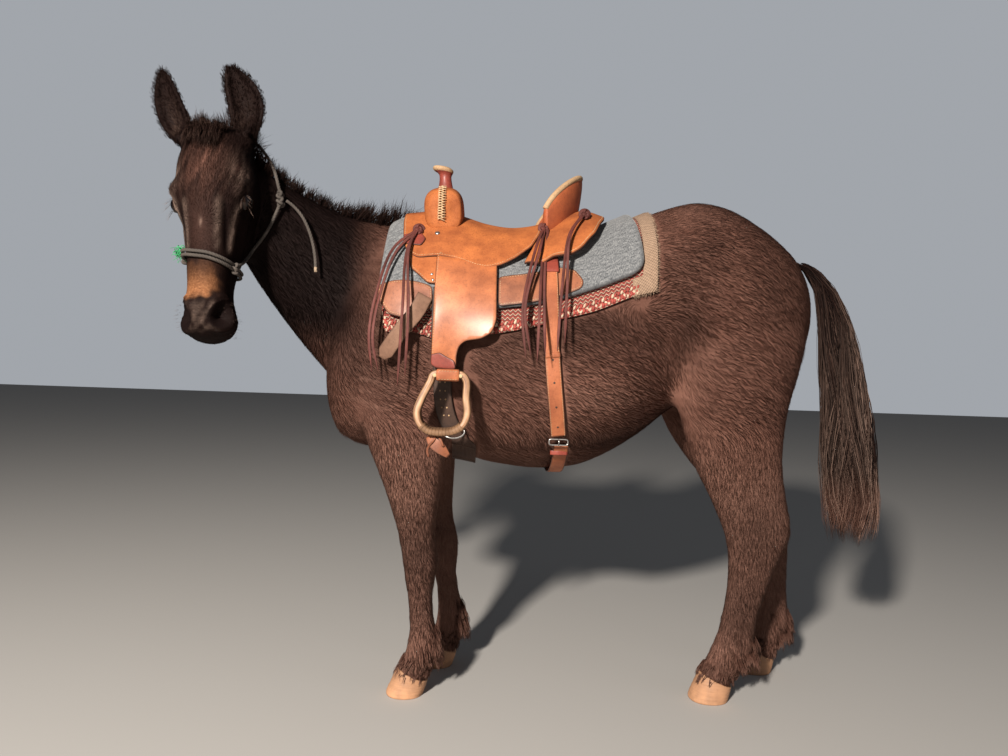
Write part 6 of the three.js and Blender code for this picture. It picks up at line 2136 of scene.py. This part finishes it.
def leather_panels():
    threads = []

    def sew(edge, inset, lift, keep=None, table=ON_COAT):
        threads.append(stitched(table, edge, inset, lift, keep))
    for name, outline in (("wear_leather_front", WEAR_FRONT), ("wear_leather_rear", WEAR_REAR)):
        edge, top = layer_piece(name, "wear", outline, WEAR_TAN, 9.0, 1.3)
        sew(edge, 5.0, top)
    edge, top = layer_piece("rigging_plate", "plate", PLATE, SADDLE_TAN, 9.0, 2.0)
    sew(edge, 5.0, top)
    seat_edge = down_to(ON_COAT, -40, 1256)

    def sunk(flat):
        return LAYERS["fender"][0] - 20.0 * smooth((seat_edge + 26 - flat[:, 1]) / 22)
    edge, top = layer_piece("fender", "fender", FENDER, FENDER_TAN, 8.0, 2.2, corner=12.0, lift=sunk)
    sew(edge, 5.5, top, lambda line: line[:, 0] < -100)
    mesh, _ = panel_mesh("hobble_strap", ON_COAT, on_side(ON_COAT, HOBBLE), 4.6, 45.4, 5.0, 2.0, 8.0)
    pair("hobble_strap", mesh, CHERRY)
    mesh, edge = panel_mesh("seat_leather", ON_TREE, over_back(ON_TREE, JOCKEY), 6.0, -6.0, 9.0, 3.0, 16.0)
    show("seat_leather", mesh, SADDLE_TAN, "seat")
    sew(edge, 6.5, 0.0, lambda line: np.abs(line[:, 1]) > 60, ON_TREE)
    mesh, edge = panel_mesh("rear_jockey_leather", ON_TREE, over_back(ON_TREE, REAR), 10.0, -16.4, 9.0, 3.5)
    show("rear_jockey_leather", mesh, SADDLE_TAN, "rear_jockey")
    sew(edge, 7.0, -6.4, lambda line: line[:, 0] > 150, ON_TREE)
    skirt = inset_line(softened(over_back(ON_TREE, JOCKEY), 12.0, 20.0), 15.0)
    mesh, _ = panel_mesh("saddle_skirt", ON_TREE, skirt, 12.0, -18.6, 12.0, 3.0)
    show("saddle_skirt", mesh, CANTLE_BROWN)
    points, faces = merged(threads)
    pair("saddle_stitches", make_mesh("saddle_stitches", metres(points), faces), THREAD, "")


SWELL = ((-139, 1440, 1392, -116, 22), (-131, 1462, 1350, -116, 46), (-108, 1476, 1350, -116, 55),
         (-60, 1488, 1350, -116, 58), (0, 1496, 1350, -116, 58))
HORN_NECK = ((0, 1488, 27, 27, 0), (1, 1506, 21, 21, 0), (2, 1532, 18, 18, -2), (3, 1543, 22, 22, -4),
             (4, 1549, 29, 28, -8), (5, 1556, 31, 30, -10), (6, 1561, 27, 26, -12))


HORN_X = -116


def swell_front(rings, x, z):
    """How far the swell reaches sideways at a place of its front."""
    near = rings[rings[:, :, 1] > 20]
    d = np.hypot(near[:, 0] - x, near[:, 2] - z)
    return near[np.argsort(d)[:12], 1].max()


def swell_lacing(rings):
    """Crossed laces up each side of the swell."""
    lacing = []
    for side in (1, -1):
        for z in 1381 + np.arange(14) * 7.4:
            for lean in (1, -1):
                line = np.linspace([-130, 0, z - 2.5 * lean], [-108, 0, z + 5.5 * lean], 5)
                line[:, 1] = [-side * (swell_front(rings, p[0], p[2]) + 1.3 + 0.5 * lean) for p in line]
                lacing.append(tube(line, np.array([0.9, 1.35, 1.5, 1.35, 0.9]), 6))
    return lacing


def saddle_frame():
    sections = [*SWELL, *[(-y, *rest) for y, *rest in SWELL[-2::-1]]]
    rows = [[y, x - 4, y, top, x + 6, y, low, half, 0.55, 2.6, 3] for y, top, low, x, half in sections]
    rings = loft(rows, np.linspace(-139, 139, 60), circle(48))
    plain_piece("swell_leather", [capped(rings)], SADDLE_TAN, "swell")
    plain_piece("swell_lacing", swell_lacing(rings), THREAD)
    rows = [[i, HORN_X + dx + a, 0, z - a * 0.12, HORN_X + dx - a, 0, z + a * 0.1, b, 0.5, 2, 2]
            for i, z, a, b, dx in HORN_NECK]
    rings = loft(rows, np.linspace(0, 6, 50), circle(48))
    plain_piece("horn_neck", [capped(rings[:30])], CHERRY, "horn")
    plain_piece("horn_cap", [capped(rings[29:])], PALE_BINDING)
    arc = np.linspace(-78, 78, 90)
    c, s, same = np.cos(np.radians(arc)), np.sin(np.radians(arc)), np.ones(len(arc))
    top, low = (166 + 126 * c ** 1.6, 168 * s, 1376 + 168 * c ** 0.85), (162 + 100 * c ** 1.2, 150 * s,
                                                                         1352 * same)
    rows = np.stack([arc, *top, *low, 10 + 4 * c, 0.4 * same, 2.6 * same, 2.2 * same], -1)
    rings = loft(rows.tolist(), arc, circle(48))
    plain_piece("cantle_leather_back", [capped(rings)], CANTLE_BROWN, "cantle")
    crest, foot = rings[:, 12], rings[:, 36]
    plain_piece("cantle_binding", [tube(crest - unit(crest - foot) * 3.0, 8.6, 14)], PALE_BINDING)


# Stirrup: the hoop's x, z, thickness and depth
HOOP = ((-40, 940, 20, 46), (-29, 925, 21, 48), (-28, 880, 22, 52), (-24, 838, 22, 58), (-35, 808, 20, 64),
        (-60, 792, 17, 70), (-93, 788, 17, 74),
        (-126, 792, 17, 70), (-149, 812, 20, 64), (-156, 840, 22, 58), (-147, 872, 22, 52),
        (-123, 922, 21, 48), (-116, 940, 20, 46), (-93, 945, 15, 44), (-62, 945, 15, 44))
STIRRUP_Y = -314.0
# Scraps of leather under the tread: x, how far out of the stirrup's middle, z
THONGS = (
    (((-124, 6, 776), (-112, 14, 762), (-90, 18, 745), (-70, 12, 726)), 16),
    (((-100, 8, 782), (-110, 20, 768), (-126, 16, 742), (-122, 14, 722)), 12),
    (((-104, 8, 782), (-92, 20, 770), (-84, 22, 752)), 10),
)


def squared(angles, across, up, sharp):
    """A rounded box's outline by angle, as two half sizes."""
    parts = (np.cos(angles), across), (np.sin(angles), up)
    return [np.sign(way) * np.abs(way) ** power * half for (way, half), power in zip(parts, sharp)]


def hoop_rings(line, part, grow):
    """Sections of the stirrup's hoop at some of its places, grown a little."""
    ahead = round_loop(line[:, :2])[part]
    x, z, thick, deep = line[part].T[..., None]
    flat, across = squared(circle(20), 1, 1, (0.55, 0.45))
    out = flat * (thick / 2 + grow)
    return np.stack([x + ahead[:, 1:] * out, STIRRUP_Y + across * (deep / 2 + grow),
                     z - ahead[:, :1] * out], -1)


def stirrups():
    line = curve_through(HOOP, 160, closed=True)[:-1]
    count, around = len(line), 20
    rings = hoop_rings(line, np.arange(count), -0.5)
    mesh = make_mesh("stirrup_hoop", metres(rings.reshape(-1, 3)), tube_faces(count, around, closed=True))
    along = np.repeat(np.linspace(0, 0.6, count), around)
    lay_flat(mesh, "cloth", np.stack([along, np.tile(circle(around) * 0.01, count)], -1))
    flat = squared(circle(around), 1, 1, (0.55, 0.45))[0]
    mark_border(mesh, np.tile((1 - np.abs(flat)) * 0.45, count))
    pair("stirrup", mesh, WOOD)
    low = np.flatnonzero(line[:, 1] < 806)
    both_sides("tread_wrap", [capped(hoop_rings(line, low, 1.2))], TREAD_BROWN, "")
    wraps = [ring_tube(ring, 0.9, 5) for ring in hoop_rings(line, low[::3], 1.5)]
    both_sides("tread_lacing", wraps, TREAD_BROWN, "")
    sleeve = []
    for x, grow in ((-108, -2.5), (-106, -0.3), (-100, 0), (-56, 0), (-50, -0.3), (-48, -2.5)):
        up, out = squared(circle(28), 16 + grow, 27 + grow, (0.4, 0.4))
        sleeve.append(np.stack([np.full(28, x), STIRRUP_Y + out, 939 + up], -1))
    both_sides("stirrup_sleeve", [capped(sleeve)], STRAP_TAN, "stirrup_leather")
    seam = np.linspace([-104, STIRRUP_Y - 27.2, 950.0], [-52, STIRRUP_Y - 27.2, 950.0], 20)
    bodies = [stitch_bodies(seam - [0, 0, k], np.tile([0.0, -1.0, 0], (20, 1))) for k in (0, 22)]
    bodies += [stud(np.array([x, STIRRUP_Y - 23, 938]), [0, -1, 0], 11, 3) for x in (-112, -44)]
    both_sides("sleeve_stitches", bodies, THREAD, "")
    scrap, *thongs = (curve_through([(x, STIRRUP_Y - y, z) for x, y, z in points], n) for points, n in THONGS)
    ends = [rounded_strap(scrap, (0.3, 0.1, 1), 34, 3,
                          lambda t: 0.4 + 0.6 * np.sin(np.pi * np.clip(t * 0.9 + 0.1, 0, 1)))]
    ends += [rounded_strap(thong, (1, 0.2, 0.2), 6, 2.4) for thong in thongs]
    pair("stirrup_thong", strap_mesh("stirrup_thong", ends), WEAR_TAN, "")


AHEAD = (1.0, 0, 0)
# Straps beside the barrel: x, z and how far off the coat, from the top down
LATIGO = ((-99, 1166, 33), (-98, 1100, 33), (-96, 1040, 30), (-94, 990, 20), (-93, 930, 10), (-90, 870, 9),
          (-80, 828, 9), (-66, 796, 9))
LATIGO_TAIL = ((-146, 1140, 42), (-170, 1096, 44), (-196, 1062, 44), (-226, 1018, 42), (-252, 980, 40))
BILLET = ((190, 1246, 36), (192, 1200, 36), (193, 1130, 34), (194, 1080, 19), (196, 1010, 9), (200, 1000, 8))
BILLET_LOOP = ((186, 1262, 38), (190, 1246, 40), (192, 1212, 40), (192, 1206, 38))
FLANK = ((197, 1006, 8), (206, 920, 8), (216, 850, 8), (226, 786, 8))


def strap_pair(name, straps, material, node=None):
    pair(name, strap_mesh(name, straps), material, node)


def under_belly(x, degrees, lift):
    return torso_muscle(loft(TORSO, np.atleast_1d(x), np.radians(np.atleast_1d(degrees)), lift))


def straps():
    latigo = line_beside(LATIGO, 60)
    strap_pair("latigo", [rounded_strap(latigo, AHEAD, 50, 4)], DARK_STRAP)
    places = even(latigo, 101)[60:91:6]
    spots = [stud(at + np.array([dx, -2.6, 0]), (0, -1, 0), 4.6, 0.4, 10) for at in places for dx in (-7, 7)]
    both_sides("latigo_holes", spots, PALE_BINDING, "")
    loose = rounded_strap(line_beside(LATIGO_TAIL, 30), (0.75, 0, -0.66), 44, 3.4,
                          lambda t: 1 - 0.55 * smooth((t - 0.9) / 0.1))
    show("latigo_tail", strap_mesh("latigo_tail", [loose]), GREY_STRAP, "latigo_tail_left")
    billet, strap = line_beside(BILLET, 50), line_beside(FLANK, 40)
    strap_pair("flank_billet", [rounded_strap(billet, AHEAD, 42, 4)], STRAP_TAN)
    overlap = rounded_strap(strap[:3] + [0, -2.5, 0], AHEAD, 43, 3)
    strap_pair("flank_strap", [rounded_strap(strap, AHEAD, 42, 4), overlap], STRAP_TAN)
    bodies = []
    for line in (billet, strap):
        _, across, out = frames(line, AHEAD)
        out = np.where((out[:, 1] > 0)[:, None], -out, out)
        bodies += [stitch_bodies(line + across * side + out * 2.2, out) for side in (-17.5, 17.5)]
    both_sides("flank_stitches", bodies, THREAD, "")
    holes = [stud(strap[k] + out[k] * 2.0, out[k], 6, 0.7, 14) for k in (3, 13, 24, 34)]
    both_sides("flank_holes", holes, DARK_STRAP, "")
    strap_pair("billet_loop", [rounded_strap(line_beside(BILLET_LOOP, 16), AHEAD, 50, 4.5)],
               CHERRY, "")
    buckle = beside(228, 769, 9)
    corners = buckle + np.array([(-26, -3, 8), (26, -3, 8), (26, -3, -8), (-26, -3, -8)])
    loop = eased(even(np.concatenate([corners, corners[:1]]), 61)[:-1], 6)
    tongue = buckle + np.array([(0, -4, 9), (1, -7, 0), (0, -5, -10)])
    both_sides("flank_buckle", [ring_tube(loop, 2.1, 8), tube(tongue, 1.5, 8)], STEEL)
    under = under_belly(238.0, np.linspace(222, 318, 60), 7.0)[0]
    mesh = strap_mesh("cinch_flank_strap", [rounded_strap(under, AHEAD, 42, 4)])
    show("cinch_flank_strap", mesh, STRAP_TAN, "cinch_flank")
    keeper = beside(233, 738, 10) + np.array([(-24, 0, 0), (0, -4, 0), (24, 0, 0)])
    strap_pair("flank_keeper", [rounded_strap(keeper, (0, 0, 1), 13, 3)], CHERRY, "")


def front_cinch():
    """Seventeen cords under the belly that draw together at a ring on each side, with bars across them."""
    cords = []
    turns = np.linspace(219, 321, 64)
    near_ring = smooth((np.abs(np.linspace(-1, 1, 64)) - 0.78) / 0.2)
    for k in range(-8, 9):
        places = lerp(-32 + k * 4.0, -58 + k * 1.6, near_ring)
        line = np.stack([under_belly(x, turn, 8.5)[0, 0] for x, turn in zip(places, turns)])
        cords.append(tube(line, 2.3, 6))
    for t in (232, 250, 270, 290, 308):
        cords.append(tube(under_belly(np.linspace(-65, 1, 8), t, 9.0)[:, 0], 3.2, 6))
    plain_piece("cinch_cords", cords, CINCH_CORD, "cinch_front")
    c, s = np.cos(circle(48)), np.sin(circle(48))
    hoop = beside(-60, 786, 11) + np.stack([c * 31, 0.45 * s * 18, s * 18], -1)
    both_sides("cinch_ring", [ring_tube(hoop, 2.8, 8)], STEEL, "")


def tree_half(x, z):
    """How far the saddle's tree reaches sideways at a height."""
    _, _, _, high, _, _, low, half, k, above, _ = curve_rows(tree_rows(), [x])[0]
    middle = lerp(low, high, k)
    s = np.clip((z - middle) / (high - middle), 0, 1)
    return half * (1 - s ** above) ** (1 / above)


def hung(x, z, lift):
    """A point where a saddle string hangs, clear of the saddle."""
    return np.array([x, -max(-beside(x, z, lift)[1], tree_half(x, z) + lift - 46 if z > 1230 else 0), z])


# Saddle strings: each bunch's knot, and its strings, as x, z and how far off
STRINGS = {
    "strings_front": ((-182, 1350, 52), (
        ((-182, 1350, 52), (-244, 1286, 56), (-279, 1159, 54), (-291, 1045, 54), (-278, 940, 54)),
        ((-182, 1350, 56), (-204, 1279, 60), (-202, 1110, 60), (-207, 906, 58)),
    )),
    "strings_middle": ((176, 1366, 52), (
        ((176, 1366, 54), (150, 1290, 58), (118, 1117, 58), (131, 991, 56)),
        ((176, 1366, 58), (166, 1205, 62), (160, 981, 58)),
    )),
    "strings_rear": ((290, 1408, 52), (((290, 1408, 54), (240, 1330, 62), (222, 1182, 60), (211, 1012, 58)),
                                       )),
}
FRONT_TAB = ((-226, 1330), (-176, 1340), (-158, 1318), (-170, 1296), (-214, 1300))


def string_straps(line, pick):
    """A string's two ends, the first along the line and the second wandering beside it."""
    base = np.array([hung(x, z, lift + 8) for x, z, lift in line])
    straps = []
    for second in (0, 1):
        shift = np.array([(second - 0.5) * 15.0, -second * 3.0, 0]) * np.linspace(0.2, 1, len(base))[:, None]
        points = base + shift + pick.normal(0, 5.0, base.shape) * [1, 0.15, 1] * second
        points[-1, 2] += pick.uniform(-10, 26) * second
        path = curve_through(points, 40)
        wide = np.stack([np.ones(40), 0.5 * np.sin(np.linspace(0, 5, 40) + second * 2), np.zeros(40)], -1)
        straps.append(rounded_strap(path, wide, 8.0, 2.4, lambda t: 1 - 0.8 * smooth((t - 0.88) / 0.12),
                                    8, 7.0))
    return straps


def strings():
    pick = np.random.default_rng(61)
    for name, ((x, z, lift), lines) in STRINGS.items():
        ends = [strap for line in lines for strap in string_straps(line, pick)]
        strap_pair(name, ends, STRING_RED)
        spot = hung(x, z, lift + 8)
        bodies = [knot(spot + [0, -3, 0], 9, 3.6), knot(spot + [3, -5, -9], 7, 3.2, turn=0.8)]
        bodies.append(stud(hung(x, z, lift - 4) + [0, -1.5, 0], (0, -1, 0.25), 36, 3.4, 24))
        both_sides(name + "_knots", bodies, STRING_RED, "")
    mesh, _ = panel_mesh("front_tab", ON_TREE, on_side(ON_TREE, FRONT_TAB), 4.0, 0.5, 6.0, 1.8, 10.0)
    pair("front_tab", mesh, CHERRY, "")
    metal = []
    for table, x, z, lift, wide, high in (
        (ON_TREE, -128, 1338, 0.8, 15, 3.0), (ON_COAT, -132, 1199, 35.4, 8, 2.2),
        (ON_COAT, -128, 1184, 35.4, 8, 2.2),
    ):
        at, normal = spot_on(table, x, down_to(table, x, z))
        metal.append(stud(at + normal * lift, normal, wide, high))
    both_sides("conchos", metal, STEEL, "")


# Rope halter: its noseband by place along the head, tilt and the gap between its two ropes
HALTER_NOSE, HALTER_TILT, HALTER_APART, HALTER_ROPE = 352.0, 18.0, 12.0, 9.5
# Its other ropes on the left side, in the head's frame
CHEEK = ((233, 112, -169), (185, 137, -165), (154, 150, -163))
CROWN = ((118, 146, -166), (43, 124, -168), (-14, 88, -152), (-46, 44, -132), (-56, 0, -124))
THROAT = ((154, 150, -168), (190, 104, -214), (210, 50, -262), (214, 0, -272))


def nose_at(degrees, lift, shift):
    return on_head(HALTER_NOSE + HALTER_TILT * math.cos(math.radians(degrees + 10)) + shift, degrees, lift)[0]


def on_sides(side, points):
    return [from_head([u, side * y, z]) for u, y, z in points]


def halter():
    bodies = []

    def rope(points, count=80, closed=False):
        bodies.append(laid_rope(curve_through(points, count, closed), HALTER_ROPE, closed))
    for shift in (0.0, HALTER_APART):
        rope([nose_at(d, 6.0, shift) for d in np.arange(0, 360, 20)], 140, True)
    for side in (1, -1):
        start, low, lower = (5, -20, -38) if side > 0 else (175, 200, 218)
        rope([nose_at(start, 7, 4), on_head(340, low, 7)[0], on_head(286, lower, 8)[0],
              *on_sides(side, CHEEK)])
        away = unit(HEAD_AXES[1] * side)
        u, y, z = CHEEK[-1]
        above, below = on_sides(side, ((u, y, z), (u - 22, y - 2, z - 2)))
        bodies += [
            knot(nose_at(start, 9, 6), 11, 4.4, away), knot(nose_at(start, 10, 14), 8, 4.2, away, 1.0),
            knot(above, 12, 4.6, away), knot(below, 11, 4.5, away, 0.7),
        ]
    for half, count in ((CROWN, 100), (THROAT, 90)):
        rope([*on_sides(1, half), *on_sides(-1, half)[-2::-1]], count)
    points, faces = merged(bodies)
    show("rope_halter", make_mesh("rope_halter", metres(points), faces), GREY_ROPE, "halter")


def twine_knot():
    """A tangle of green twine with loose ends on the noseband's right."""
    pick = np.random.default_rng(71)
    centre = nose_at(172, 16, -6)
    loops = []
    t = circle(60)
    for _ in range(16):
        axes = np.linalg.qr(pick.normal(size=(3, 3)))[0]
        a, b = pick.uniform(8, 17), pick.uniform(5, 12)
        middle = centre + pick.normal(0, 4, 3)
        figure = np.stack([np.cos(t) * a, np.sin(t) * b, np.sin(2 * t + pick.uniform(0, 6)) * 4], -1)
        loops.append(ring_tube(middle + figure @ axes, 0.95, 5))
    for _ in range(12):
        way = unit(pick.normal(size=3) + HEAD_AXES[1] * -0.6)
        bend = centre + way * 14 + pick.normal(0, 3, 3)
        end = centre + way * pick.uniform(22, 34) + pick.normal(0, 6, 3)
        loops.append(tube(curve_through([centre, bend, end], 10), np.linspace(0.9, 0.5, 10), 4))
    plain_piece("green_twine_knot", loops, GREEN_TWINE, "twine_knot")


def loose_rope():
    """The halter rope's free end."""
    line = curve_through(ROPE_END, 30)
    points, faces = laid_rope(line, ROPE_END_WIDE)
    mesh = make_mesh("loose_rope", metres(points), faces)
    rope_end = show("loose_rope", mesh, ROPE_TIP, "halter_rope_end")


# The whole mule
skin = joined_skin()
shaped_head(skin)
with_ears(skin)
FLESH = (
    "torso", "neck", "head", "leg_front_left", "leg_front_right", "leg_hind_left",
    "leg_hind_right", "ear_left", "ear_right",
)
OWN_HAIR = ("eye", "hoof", "mane", "forelock", "tail")
TACK_NODES = [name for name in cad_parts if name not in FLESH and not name.startswith(OWN_HAIR)]
unwrap(skin)
mark(skin.data, "coat", coat_masks(in_mm(points_of(skin.data))))
skin.data.materials.clear()
skin.data.materials.append(skin_finish())
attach(skin, "root")
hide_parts(*FLESH)
TACK_TREE = tack_tree()
COAT, HAIR = hair_finish("winter_coat", 0.58), hair_finish("long_hair", 0.45)
EYE_GLOSS, HORN = eye_finish(), hoof_finish()
eyes()
hooves()
mane()
forelock()
tail()
feathers()
ear_hair()
face_hair()
short_coat()
saddle_cloths()
leather_panels()
saddle_frame()
stirrups()
straps()
front_cinch()
strings()
halter()
twine_knot()
loose_rope()
